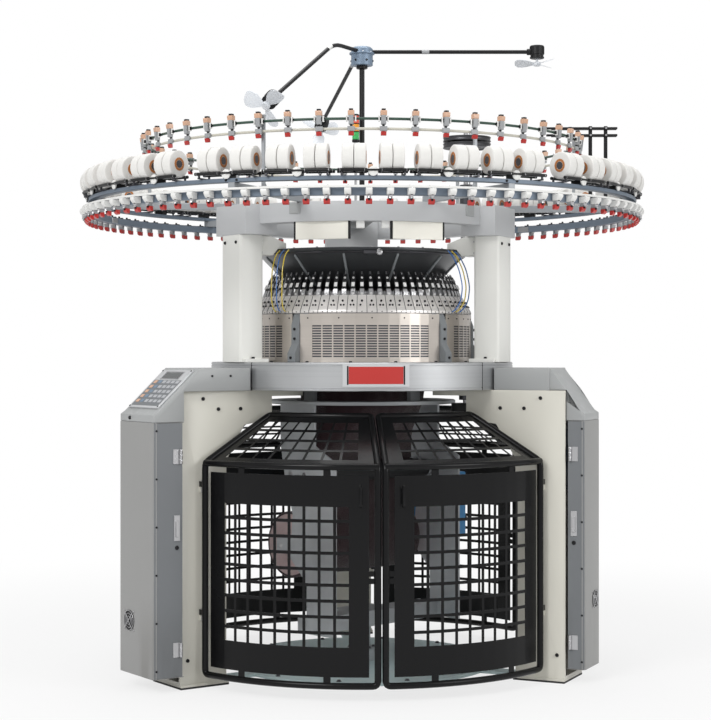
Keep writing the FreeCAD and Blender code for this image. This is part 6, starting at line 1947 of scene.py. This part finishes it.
    def signs(self) -> None:
        """Two bare cream plates with dark ends, and the two white blocks beside them."""
        plates, ends, blocks = Form(), Form(), Form()
        for azimuth in (-21.0, 17.6):
            plates.add(Form().box((-118.0, 118.0), (610.0, 622.0), (1905.0, 1981.0)), turn(azimuth))
            for way in (-1.0, 1.0):
                x = (way * 117.0, way * 125.0)
                ends.add(Form().box(x, (609.0, 623.0), (1904.6, 1981.4)), turn(azimuth))
        self.form("sign_boards", plates, SIGN_CREAM, "sign_cream", replaces=("sign_plates",), ease=1.6)
        self.form("sign_ends", ends, SCREW_BLACK, "sign_cream", ease=1.2)
        for azimuth in (-5.6, 4.4):
            blocks.add(Form().box((-18.0, 18.0), (604.0, 626.0), (1950.0, 1984.0)), turn(azimuth))
        self.form("sign_blocks", blocks, WHITE_PLASTIC, "sign_cream", ease=2.0)

    def oil_lines(self) -> None:
        """Thin oil lines that loop down from the dish to the cam ring."""
        number = 0
        for name, finish, azimuths in (("yellow", OIL_YELLOW, (-54.0, -47.0, 51.0, 134.0)),
                                       ("blue", OIL_BLUE, (-50.5, 47.5, 54.5, 226.0))):
            for a in azimuths:
                number += 1
                path = eased([polar(a, 480.0, 1873.0), polar(a, 504.0, 1852.0),
                              polar(a + 1.2, 532.0, 1790.0),
                              polar(a + 2.2, 545.0, 1715.0), polar(a + 1.6, 540.0, 1650.0),
                              polar(a + 0.4, 520.0, 1612.0), polar(a, 499.0, 1599.0)], 24.0)
                line = self.form("oil_line_%d" % number, Form().tube(path, 2.6, 8), finish, "cam_metal")
            fittings = [Place(polar(a, 497.0, 1599.0), a) for a in azimuths]
            self.repeat("oil_fittings_" + name, hex_head(5.0, 7.0), fittings, STEEL, "cam_metal")


# ---------------------------------------------------------------- creel
@dataclass
class Creel(Assembly):
    """The rings over the head: feeders, spools with their drives, stop sensors, posts, rack and pulleys."""

    title: str = "creel"
    rail_r: float = 1225.0
    feeders: int = 96
    feeder_r: float = 1243.15
    spool_z: float = 2183.0
    spool_r: float = 56.0
    pitch: float = 6.85
    sections: tuple[tuple[float, int], ...] = ((-3.0, 10), (69.0, 10), (141.0, 9), (213.0, 9), (285.0, 10))
    arms: tuple[float, ...] = (-29.5, 23.6, 84.0, 145.0, 215.0, 276.0)
    sensors: int = 48
    sensor_r: float = 985.0

    def build(self) -> None:
        """Makes the creel from the feeder rail upwards."""
        self.rails()
        self.feeder_set()
        self.spool_set()
        self.drives()
        self.post_set()
        self.sensor_set()
        self.rack()
        self.pulleys()

    def pair_azimuths(self) -> list[float]:
        """Where each pair of spools stands."""
        found = []
        for centre, count in self.sections:
            first = centre - self.pitch * (count - 1) / 2.0
            found += [first + self.pitch * k for k in range(count)]
        return found

    def module_azimuths(self) -> list[float]:
        """Where each drive box stands, between two pairs."""
        found = []
        for centre, count in self.sections:
            first = centre - self.pitch * (count - 1) / 2.0
            found += [first + (k + 0.5) * self.pitch for k in range(0, count - 1, 2)]
        return found

    def rails(self) -> None:
        """The two flat rings, with eased edges, joint plates and bolts."""
        low = [(1209.0, 2035.0), (1241.0, 2035.0), (1242.0, 2036.0), (1242.0, 2064.0), (1241.0, 2065.0),
               (1209.0, 2065.0), (1208.0, 2064.0), (1208.0, 2036.0)]
        self.form("feeder_ring", Form().spun(low, 192, closed=True), SLATE, "rail_slate",
                  replaces=("feeder_rail",))
        high = [(1206.0, CREEL_ARM_TOP), (1244.0, CREEL_ARM_TOP), (1245.0, 2096.0), (1245.0, 2110.0),
                (1244.0, SPOOL_RAIL_TOP), (1206.0, SPOOL_RAIL_TOP), (1205.0, 2110.0), (1205.0, 2096.0)]
        self.form("spool_ring", Form().spun(high, 192, closed=True), SLATE, "rail_slate",
                  replaces=("spool_rail",))
        plates = Form().box((-34.0, 34.0), (1205.0, 1208.5), (2038.0, 2062.0))
        self.repeat("rail_joints", plates, around([60.0 * k + 12.0 for k in range(6)]), STEEL, "rail_slate",
                    ease=0.8)
        bolts = [Place(turn(a) @ front(x, 1245.0, 2103.0), a) for a in self.arms for x in (-24.0, 24.0)]
        self.repeat("rail_bolts", screw_head(5.0, 4.0, 8), bolts, SCREW_BLACK, "rail_slate")

    def feeder_set(self) -> None:
        """The feeders: white body, red yarn guide, dark wheel, clamp and the belts over them."""
        places = around(evenly(self.feeders))
        r = self.feeder_r
        body = Form().side([(r, 2035.0), (r + 26.0, 2035.0), (r + 39.0, 2050.0), (r + 39.0, 2059.0),
                            (r + 36.0, 2061.0), (r, 2061.0)], (-13.0, 13.0))
        self.repeat("feeder_bodies", body, places, WHITE_PLASTIC, "feeder_plastic",
                    replaces=("yarn_feeders",), ease=1.6)
        stem = Form().side([(r, 2016.0), (r + 13.0, 2016.0), (r + 24.0, 2035.5), (r, 2035.5)], (-8.0, 8.0))
        self.repeat("feeder_stems", stem, places, SENSOR_GREY, "feeder_plastic", ease=1.0)
        hook = Form().side([(r + 22.0, 2030.0), (r + 27.0, 2036.0), (r + 25.0, 2036.0), (r + 19.0, 2022.0),
                            (r + 19.0, 2012.0), (r + 21.5, 2012.0), (r + 21.5, 2021.0)], (-4.0, 4.0))
        self.repeat("feeder_hooks", hook, places, SCREW_BLACK, "feeder_plastic")
        lower = Form().side([(r + 0.4, 2000.0), (r + 7.0, 1998.5), (r + 16.5, 2006.0), (r + 17.5, 2019.0),
                             (r + 0.4, 2019.0)], (-12.5, 12.5))
        self.repeat("feeder_guides", lower, places, RED_PLASTIC, "feeder_plastic", ease=0.8)
        wheel = Form().spun([(5.0, 2020.0), (8.6, 2020.0), (6.4, 2026.0), (8.6, 2033.0), (5.0, 2033.0)], 10,
                            front(0.0, r + 21.0, 0.0))
        wheel.spun([(8.4, 2060.6), (8.4, 2064.0), (2.0, 2064.5)], 10, front(0.0, r + 20.0, 0.0))
        self.repeat("feeder_wheels", wheel, places, STEEL, "feeder_plastic")
        clamp = Form().box((-7.0, 7.0), (r - 37.0, r + 3.0), (2064.8, 2069.0))
        clamp.box((-3.0, 3.0), (r - 22.0, r - 14.0), (2068.5, 2076.0))
        self.repeat("feeder_clamps", clamp, places, BLACK_PLASTIC, "feeder_plastic", ease=0.6)
        belt = [(r + 12.4, 2063.2), (r + 13.8, 2063.2), (r + 13.8, 2071.2), (r + 12.4, 2071.2)]
        band = [(r + 27.0, 2063.2), (r + 28.4, 2063.2), (r + 28.4, 2071.2), (r + 27.0, 2071.2)]
        self.form("feeder_belts", Form().spun(belt, 192, closed=True).spun(band, 192, closed=True),
                  BELT_WHITE, "feeder_plastic")

    def spool_set(self) -> None:
        """Pairs of wound spools, with their brown cores and dark end discs."""
        r = self.spool_r
        wound, cores, caps = Form(), Form(), Form()
        for way in (-1.0, 1.0):
            base = front(way * 1.2, self.rail_r, self.spool_z)
            out = ACROSS * way
            profile = [(26.0, 0.0), (r - 7.0, 0.0), (r - 2.2, 0.9), (r - 0.3, 3.4), (r - 0.4, 12.0),
                       (r, 14.5),
                       (r - 0.3, 31.0), (r - 0.3, 41.8), (r - 2.6, 44.8), (r - 8.0, 45.6), (26.0, 45.4)]
            wound.spun(profile, 28, base, out, marked=True)
            cores.spun([(27.0, 40.0), (27.0, 46.3), (24.5, 46.8), (17.5, 46.8), (17.0, 44.0)], 16, base,
                       out)
            caps.spun([(16.0, 40.0), (16.0, 46.4), (6.0, 46.4)], 12, base, out)
        places = around(self.pair_azimuths())
        self.repeat("spool_windings", wound, places, YARN_WHITE, "spool_white", replaces=("spools",))
        self.repeat("spool_cores", cores, places, CORE_BROWN, "spool_white")
        self.repeat("spool_core_ends", caps, places, DARK_STEEL, "spool_white")

    def drives(self) -> None:
        """Drive boxes, the rollers that turn the spools, their flanges and their joints."""
        modules = self.module_azimuths()
        box = Form().box((-17.0, 17.0), (1200.0, 1250.0), (SPOOL_RAIL_TOP, 2134.0))
        self.repeat("drive_bases", box, around(modules), BLACK_PLASTIC, "spool_drive",
                    replaces=("spool_drives",), ease=1.6)
        out = Vector((0.0, -1.0, 0.0))
        lids = Form()
        lids.spun([(18.0, 0.0), (19.5, 1.5), (19.5, 6.0), (16.0, 8.4), (6.0, 9.0)], 16,
                  front(0.0, 1248.0, 2127.0), out)
        lids.spun([(5.0, 8.8), (5.0, 10.5), (2.0, 10.8)], 8, front(0.0, 1248.0, 2127.0), out)
        self.repeat("drive_gearboxes", lids, around(modules), WHITE_PLASTIC, "spool_drive")
        posts = Form().box((-8.0, 8.0), (1219.0, 1231.0), (SPOOL_RAIL_TOP, 2141.5))
        self.repeat("drive_saddles", posts, around(modules), POST_GREY, "spool_drive", ease=1.0)
        roller, flange = Form(), Form()
        axis = ACROSS
        for r in (1191.0, 1259.0):
            base = front(-139.0, r, 2131.0)
            roller.spun([(5.4, 0.0), (6.6, 1.2), (6.6, 116.0), (4.0, 117.0), (4.0, 161.0), (6.6, 162.0),
                         (6.6, 276.8), (5.4, 278.0)], 12, base, axis)
            for t in (8.0, 104.0, 172.0, 268.0):
                flange.spun([(5.0, t), (6.9, t + 0.5), (6.9, t + 2.0), (5.0, t + 2.5)], 12, base, axis)
        self.repeat("drive_rollers", roller, around(modules), BLACK_PLASTIC, "spool_drive")
        self.repeat("drive_collars", flange, around(modules), STEEL, "spool_drive")
        foot = Form().box((-4.0, 4.0), (1185.0, 1265.0), (SPOOL_RAIL_TOP, 2117.0))
        for r in (1191.0, 1259.0):
            foot.box((-3.0, 3.0), (r - 4.5, r + 4.5), (2112.0, 2127.0))
        self.repeat("drive_feet", foot, around(self.foot_azimuths()), DARK_STEEL, "spool_drive", ease=0.6)

    def foot_azimuths(self) -> list[float]:
        """Where the rollers' outer ends are held, next to each box's pair of spools."""
        return [a + way * 5.6 for a in self.module_azimuths() for way in (-1.0, 1.0)]

    def post_set(self) -> None:
        """The six arms from the top ring, with the posts that hold the sensor rings."""
        arm = Form().box((-15.0, 15.0), (570.0, 1245.0), (BAND_TOP, CREEL_ARM_TOP))
        arm.box((-7.0, 7.0), (965.0, 978.6), (2094.0, 2396.0))
        self.repeat("creel_arms", arm, around(self.arms), POST_GREY, "post_paint", replaces=("ring_posts",),
                    ease=1.6)
        gusset = Form().side([(938.0, CREEL_ARM_TOP), (965.5, CREEL_ARM_TOP), (965.5, 2124.0)], (-3.0, 3.0))
        self.repeat("post_gussets", gusset, around(self.arms), POST_GREY, "post_paint", ease=0.5)
        bolts = [facing_up_beside(a, 0.0, r, CREEL_ARM_TOP) for a in self.arms
                 for r in (600.0, 660.0, 900.0, 1000.0)]
        self.repeat("arm_top_bolts", hex_head(7.0, 6.0), bolts, STEEL, "post_paint")

    def sensor_set(self) -> None:
        """The two thin rings with their stop sensors: copper cap, grey case and red yarn guide."""
        r = self.sensor_r
        for name, z, finish in (("low", 2325.0, RAIL_CREAM), ("high", 2366.0, RAIL_GREEN)):
            ring = Form()
            profile = [(r + 5.6 * math.cos(a), z + 5.6 * math.sin(a))
                       for a in [math.pi * k / 4.0 for k in range(8)]]
            ring.spun(profile, 160, closed=True)
            self.form("sensor_ring_" + name, ring, finish, "sensor_rail_paint",
                      replaces=("sensor_rails",) if name == "low" else ())
        places = around(evenly(self.sensors))
        case = Form().side([(991.2, 2340.0), (1008.0, 2342.0), (1012.0, 2378.0), (991.2, 2378.0)],
                           (-10.0, 10.0))
        case.box((-15.0, 15.0), (992.0, 1003.0), (2314.0, 2334.0))
        self.repeat("sensor_cases", case, places, SENSOR_GREY, "sensor_copper", ease=1.2)
        cap = Form().side([(991.2, 2376.0), (1012.0, 2377.0), (1015.0, 2394.0), (1012.0, 2397.0),
                           (995.0, 2397.0), (991.2, 2394.0)], (-13.0, 13.0))
        self.repeat("sensor_caps", cap, places, COPPER, "sensor_copper", replaces=("stop_sensors",),
                    ease=1.2)
        wings = Form().box((-22.0, 22.0), (992.0, 1002.0), (2357.0, 2371.0))
        wings.box((-5.0, 5.0), (991.5, 999.0), (2300.0, 2345.0))
        wings.box((-8.0, 8.0), (993.0, 1010.0), (2396.0, 2404.0))
        self.repeat("sensor_arms", wings, places, SCREW_BLACK, "sensor_copper", ease=0.8)
        plugs = Form()
        for way in (-1.0, 1.0):
            low, high = sorted((way * 15.0, way * 21.0))
            plugs.box((low, high), (993.0, 1004.0), (2352.0, 2376.0))
        self.repeat("sensor_plugs", plugs, places, WHITE_PLASTIC, "sensor_copper", ease=0.8)
        guide = Form().side([(993.0, 2296.0), (1003.0, 2296.0), (1008.0, 2312.0), (993.0, 2310.0)],
                            (-11.0, 11.0))
        self.repeat("sensor_guides", guide, places, RED_PLASTIC, "sensor_copper", ease=0.6)
        hook = Form().box((-3.5, 3.5), (978.0, 992.0), (2357.5, 2361.0))
        hook.box((-3.5, 3.5), (976.5, 979.6), (2358.0, 2375.0)).box((-3.5, 3.5), (978.0, 992.0),
                                                                    (2372.0, 2375.5))
        self.repeat("sensor_hooks", hook, places, STEEL, "sensor_copper")

    def rack(self) -> None:
        """The black rack of bars over one arm."""
        posts, bars = Form(), Form()
        for low, high in ((1040.0, 1056.0), (1110.0, 1126.0)):
            posts.add(Form().box((-8.0, 8.0), (low, high), (CREEL_ARM_TOP, 2460.0)), turn(84.0))
        for x, inner in (((-20.0, -8.0), 845.0), ((8.0, 20.0), 870.0)):
            for z in ((2412.0, 2422.0), (2444.0, 2454.0)):
                bars.add(Form().box(x, (inner, 1170.0), z), turn(84.0))
        self.form("rack_posts", posts, BLACK_PLASTIC, "rack_black", replaces=("pipe_rack",), ease=1.4)
        self.form("rack_bars", bars, BLACK_PLASTIC, "rack_black", ease=1.6)
        pins = Form()
        for r in (1048.0, 1118.0):
            for z in (2417.0, 2449.0):
                axis = turn(84.0) @ ACROSS
                base = polar(84.0, r, z) - axis * 24.0
                pins.spun([(5.0, 0.0), (5.0, 4.5), (3.0, 4.5), (3.0, 43.5), (5.0, 43.5), (5.0, 48.0)], 8,
                          base, axis)
        self.form("rack_pins", pins, STEEL, "rack_black")

    def pulleys(self) -> None:
        """The two quality pulleys on their shaft, with segment slots and a scale ring."""
        at = polar(45.0, 600.0, 0.0)
        shaft = [(13.0, CREEL_ARM_TOP), (15.0, 2097.0), (15.0, 2381.0), (13.0, 2383.0)]
        self.form("pulley_shaft", Form().spun(shaft, 24, at), STEEL, "pulley_metal", "quality_shaft",
                  ("quality_pulleys",))
        discs = Form()
        for low in (2315.0, 2343.0):
            discs.spun([(14.0, low + 1.0), (60.0, low + 1.0), (62.0, low + 3.0), (80.0, low + 3.0),
                        (82.0, low),
                        (104.0, low), (105.0, low + 1.5), (102.5, low + 7.0), (102.5, low + 13.0),
                        (105.0, low + 18.5),
                        (104.0, low + 20.0), (82.0, low + 20.0), (80.0, low + 17.0), (62.0, low + 17.0),
                        (60.0, low + 19.0), (14.0, low + 19.0)], 64, at)
        self.form("pulley_discs", discs, PULLEY_DARK, "pulley_metal", "quality_shaft")
        slots = Form()
        for low in (2315.0, 2343.0):
            for k in range(12):
                tip = turn(30.0 * k)
                slots.add(Form().box((-2.2, 2.2), (63.0, 79.0), (low + 16.0, low + 17.8)),
                          Matrix.Translation(at) @ tip)
        self.form("pulley_slots", slots, STEEL, "pulley_metal", "quality_shaft")
        nut = Form().spun([(20.0, 2362.5), (20.0, 2371.0), (18.0, 2373.0), (14.5, 2373.0)], 6, at)
        self.form("pulley_nut", nut, STEEL, "pulley_metal", "quality_shaft")


# ---------------------------------------------------------------- fans and lamp
@dataclass
class FanCross(Assembly):
    """The mast with its turning cross of three fans, and the lamp tower beside it."""

    title: str = "fan cross"
    fans: tuple[tuple[float, float, float, float, float, float], ...] = (
        (85.0, 805.0, 2804.0, 250.0, 2804.0, 90.0), (-35.0, 762.0, 2491.0, 250.0, 2804.0, 36.0),
        (-170.0, 780.0, 2575.0, 120.0, 2790.0, 36.0))

    def build(self) -> None:
        """Makes the mast, the hub, the arms, the motors, the blades and the lamp tower."""
        mast = [(46.0, BAND_TOP), (46.0, 2075.5), (44.5, 2077.0), (18.0, 2077.0), (14.0, 2084.0),
                (12.0, 2092.0),
                (12.0, 2724.0), (24.0, 2726.0), (26.0, 2728.0), (26.0, 2738.0), (24.5, 2739.4),
                (12.0, 2739.4), (12.0, 2798.0), (10.0, 2800.0)]
        self.form("mast_tube", Form().spun(mast, 32), BLACK_PLASTIC, "post_paint", replaces=("mast",))
        bolts = [facing_up(a, 34.0, 2077.0) for a in range(45, 360, 90)]
        self.repeat("mast_bolts", hex_head(5.0, 5.0), bolts, STEEL, "post_paint")
        self.hub()
        for k, fan in enumerate(self.fans):
            self.fan(k + 1, *fan)
        self.lamp()

    def hub(self) -> None:
        """The hub with its clamp disc, screws, bolts and cap."""
        hub = [(12.6, 2740.2), (48.0, 2740.2), (50.0, 2742.0), (50.0, 2790.0), (56.0, 2791.5),
               (58.0, 2793.0),
               (58.0, 2799.0), (56.0, 2800.0), (50.0, 2801.0), (50.0, 2816.0), (40.0, 2825.0),
               (12.6, 2827.0)]
        self.form("fan_hub", Form().spun(hub, 48, closed=True), HUB_BLUE, "hub_blue", "fan_cross",
                  ("fan_carrier",))
        screws = [Place(polar(a, 50.0, 2762.0), a) for a in range(20, 380, 60)]
        self.repeat("fan_hub_screws", screw_head(5.0, 3.0, 8), screws, SCREW_BLACK, "hub_blue", "fan_cross")
        places = [facing_up(a, 53.0, 2800.2) for a in range(0, 360, 45)]
        self.repeat("fan_hub_bolts", screw_head(3.2, 2.6, 8), places, STEEL, "hub_blue", "fan_cross")
        cap = Form().spun([(20.0, 2826.2), (20.0, 2828.6), (14.0, 2829.4), (12.4, 2829.4), (12.4, 2826.0)],
                          24, closed=True)
        self.form("fan_hub_cap", cap, STEEL, "hub_blue", "fan_cross")

    def fan(self, number: int, azimuth: float, end_r: float, end_z: float, elbow_r: float, elbow_z: float,
            dip: float) -> None:
        """One arm with its bands, clamp, motor, fins and blades."""
        slope = math.radians(dip)
        out = polar(azimuth, 1.0, 0.0)
        axis = (out * math.cos(slope) - UP * math.sin(slope)).normalized()
        end, elbow = polar(azimuth, end_r, end_z), polar(azimuth, elbow_r, elbow_z)
        start = polar(azimuth, 42.0, elbow_z)
        back = end - (end - elbow).normalized() * 26.0
        arm = Form().tube(eased([start, elbow, back], 60.0), 9.0, 16)
        name = "fan_arm_%d" % number
        self.form(name, arm, BLACK_PLASTIC, "hub_blue", "fan_cross")
        run = back - elbow
        profile = [(9.0, -17.0), (9.8, -16.0), (9.8, 16.0), (9.0, 17.0)]
        bands = Form().spun(profile, 16, elbow + run * 0.08, run.normalized())
        self.form("fan_arm_bands_%d" % number, bands, WHITE_PLASTIC if number == 2 else SENSOR_GREY,
                  "hub_blue", "fan_cross")
        motor = [(22.0, -30.0), (31.0, -28.0), (33.0, -25.0), (33.0, 12.0), (30.0, 14.0), (30.0, 22.0),
                 (33.0, 24.0), (33.0, 29.0), (30.0, 31.0), (10.0, 31.0)]
        shell = Form().spun(motor, 32, end, axis)
        clamp_at = end - (end - elbow).normalized() * 33.0
        shell.spun([(12.5, -14.0), (14.5, -12.0), (14.5, 12.0), (12.5, 14.0)], 16, clamp_at,
                   (end - elbow).normalized())
        if number == 1:
            motor_nodes = ("fan_motors",)
        else:
            motor_nodes = ()
        self.form("fan_motor_%d" % number, shell, BLACK_PLASTIC, "fan_motor_black", "fan_cross",
                  motor_nodes)
        fins = Form()
        across = axis.cross(Vector((0.31, 0.52, 0.79))).normalized()
        for k in range(18):
            spin = Matrix.Rotation(2.0 * math.pi * k / 18.0, 3, axis)
            way = spin @ across
            tangent = axis.cross(way)
            rings = [[end + axis * t + way * d + tangent * w for w,
                      d in ((-1.0, 31.0), (1.0, 31.0), (1.0, 34.0),
                          (-1.0, 34.0))] for t in (-22.0, 10.0)]
            fins.loop_faces(rings)
        self.form("fan_motor_fins_%d" % number, fins, BLACK_PLASTIC, "fan_motor_black", "fan_cross")
        self.blades(number, end, axis)

    def blades(self, number: int, end: Vector, axis: Vector) -> None:
        """Three dished blades with rounded tips on a boss, with their spindle."""
        node = "fan_blades_%d" % number
        body = "fan_%d" % number
        boss = Form().spun([(6.0, 31.4), (6.0, 47.0), (16.0, 47.5), (18.0, 49.5), (18.0, 62.0),
                            (14.0, 65.0)], 24,
                           end, axis)
        self.form("fan_boss_%d" % number, boss, BLADE, "blade_white", body)
        model = frame["nodes"][node]
        points = [model.matrix_world @ v.co for v in model.data.vertices]
        shape = Form()
        for way in self.measured(points, end, axis):
            tangent = axis.cross(way).normalized()
            pitch = self.pitch_of(points, end, axis, way)
            rings = []
            for r, low, high in ((14.0, -9.0, 9.0), (30.0, -22.0, 16.0), (50.0, -33.0, 25.0),
                                 (70.0, -36.0, 29.0),
                                 (88.0, -36.0, 27.0), (97.0, -30.0, 18.0), (102.0, -16.0, 6.0)):
                ring = []
                for w, dish in ((low, -0.9), (low * 0.5 + high * 0.5, 0.6), (high, -0.9)):
                    lift = math.tan(pitch) * w
                    ring.append(end + axis * (55.5 + lift + dish + 1.2) + way * r + tangent * w)
                for w, dish in ((high, -0.9), (low * 0.5 + high * 0.5, 0.6), (low, -0.9)):
                    lift = math.tan(pitch) * w
                    ring.append(end + axis * (55.5 + lift + dish - 1.2) + way * r + tangent * w)
                rings.append(ring)
            shape.loop_faces(rings)
        self.form("fan_rotor_%d" % number, shape, BLADE, "blade_white", body, (node,))

    def measured(self, points: Sequence[Vector], end: Vector, axis: Vector) -> list[Vector]:
        """The three directions in which the blades of a CAD rotor point."""
        spokes = []
        for p in points:
            rel = p / MM - end
            flat = rel - axis * rel.dot(axis)
            if flat.length > 100.0:
                spokes.append(flat.normalized())
        ways: list[Vector] = []
        for s in spokes:
            if all(s.dot(w) < 0.6 for w in ways):
                ways.append(s)
        return ways[:3]

    def pitch_of(self, points: Sequence[Vector], end: Vector, axis: Vector, way: Vector) -> float:
        """How steeply a blade of the CAD rotor is set, in radians."""
        tangent = axis.cross(way).normalized()
        wide = [(rel.dot(tangent), rel.dot(axis)) for rel in (p / MM - end for p in points)
                if rel.dot(way) > 60.0]
        low, high = min(wide), max(wide)
        return math.atan2(high[1] - low[1], high[0] - low[0])

    def lamp(self) -> None:
        """The lamp tower: post, three lenses with ribs, spacers and cap."""
        at = polar(-29.0, 70.0, 0.0)
        post = Form().spun([(14.0, BAND_TOP), (14.0, 2069.0), (6.0, 2071.0), (6.0, 2381.0)], 20, at)
        self.form("lamp_post", post, STEEL, "lamp_red", replaces=("signal_lamp",))
        case = Form().spun([(12.0, 2380.0), (17.0, 2382.0), (17.0, 2392.0), (14.0, 2393.0)], 24, at)
        for z in (2429.0, 2465.0):
            case.spun([(14.0, z - 2.0), (17.0, z - 1.5), (17.0, z + 1.5), (14.0, z + 2.0)], 24, at)
        case.spun([(14.0, 2501.0), (17.0, 2502.0), (16.0, 2507.0), (10.0, 2510.0)], 24, at)
        self.form("lamp_case", case, BLACK_PLASTIC, "lamp_red")
        for name, finish, low, high in (("red", LAMP_RED, 2466.5, 2501.5),
                                        ("amber", LAMP_AMBER, 2430.5, 2463.5),
                                        ("green", LAMP_GREEN, 2393.0, 2427.5)):
            profile = [(13.0, low)]
            for k in range(5):
                z = low + (high - low) * k / 5.0
                profile += [(15.0, z + 0.6), (16.6, z + (high - low) * 0.1),
                            (15.0, z + (high - low) * 0.2 - 0.6)]
            profile.append((13.0, high))
            self.form("lamp_lens_" + name, Form().spun(profile, 24, at), finish, "lamp_red")


SLOT_FINISHES: dict[str, Finish] = {
    "leg_paint": CREAM, "base_paint": AQUA, "cabinet_paint": CABINET_END, "cover_paint": SHADED_CABINET_SIDE,
    "panel_face": BLACK_PLASTIC, "bed_metal": BED_STEEL, "column_paint": COLUMN_WHITE,
    "band_paint": BAND_GREY,
    "dish_paint": DISH_DARK, "cam_metal": CAM_STEEL, "cover_metal": COVER_NICKEL, "guide_metal": STEEL,
    "needle_steel": NEEDLE_STEEL, "gear_steel": STEEL, "motor_paint": MOTOR_PAINT, "belt_rubber": RUBBER,
    "door_black": DOOR_BLACK, "takedown_grey": TAKEDOWN_GREY, "gearbox_blue": GEARBOX_BLUE,
    "roller_steel": STEEL,
    "cloth": CLOTH, "cloth_roll": ROLL_END, "rail_slate": SLATE, "sensor_rail_paint": RAIL_GREEN,
    "feeder_plastic": WHITE_PLASTIC, "spool_white": YARN_WHITE, "spool_drive": BLACK_PLASTIC,
    "sensor_copper": COPPER,
    "post_paint": POST_GREY, "rack_black": BLACK_PLASTIC, "pulley_metal": PULLEY_DARK, "hub_blue": HUB_BLUE,
    "fan_motor_black": BLACK_PLASTIC, "blade_white": BLADE, "lamp_red": LAMP_RED, "sign_cream": SIGN_CREAM,
    "badge_grey": PLATE_GREY}


DOORS = (("door_front_right", 0.0, 1), ("door_front_left", 0.0, -1), ("door_right_front", 120.0, -1),
         ("door_right_rear", 120.0, 1), ("door_left_front", -120.0, 1), ("door_left_rear", -120.0, -1))
ASSEMBLIES: tuple[Callable[[], Assembly], ...] = (
    Legs, Cabinet,
    lambda: Cabinet(side="right", azimuth=60.0, half=100.0, outer=1100.0, open_side=-1,
                    vent_at=(41.0, 350.0), vent_r=38.0),
    OperatorPanel, RearCap, Drive, Bed, TakeDown, KnittingHead, Creel, FanCross)


def dress_frame() -> None:
    """Gives every CAD node the finish of its slot, for the nodes that stay as they are."""
    for entry in frame["record"]["subparts"]:
        model = frame["nodes"][entry["node"]]
        finish = SLOT_FINISHES[entry["material_slot"]]
        model.data.materials.clear()
        model.data.materials.append(finish.material())


def main() -> None:
    """Builds the whole scene, one assembly after another."""
    logging.basicConfig(level=logging.INFO, format="%(message)s")
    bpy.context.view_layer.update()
    dress_frame()
    Studio().build()
    for node, centre, hand in DOORS:
        DoorLeaf(node=node, centre=centre, hand=hand).build()
    for assembly in ASSEMBLIES:
        made = assembly()
        made.build()
        LOG.info("%s: %d pieces", made.title, made.count)
    bpy.context.view_layer.update()


if __name__ == "__main__":
    main()
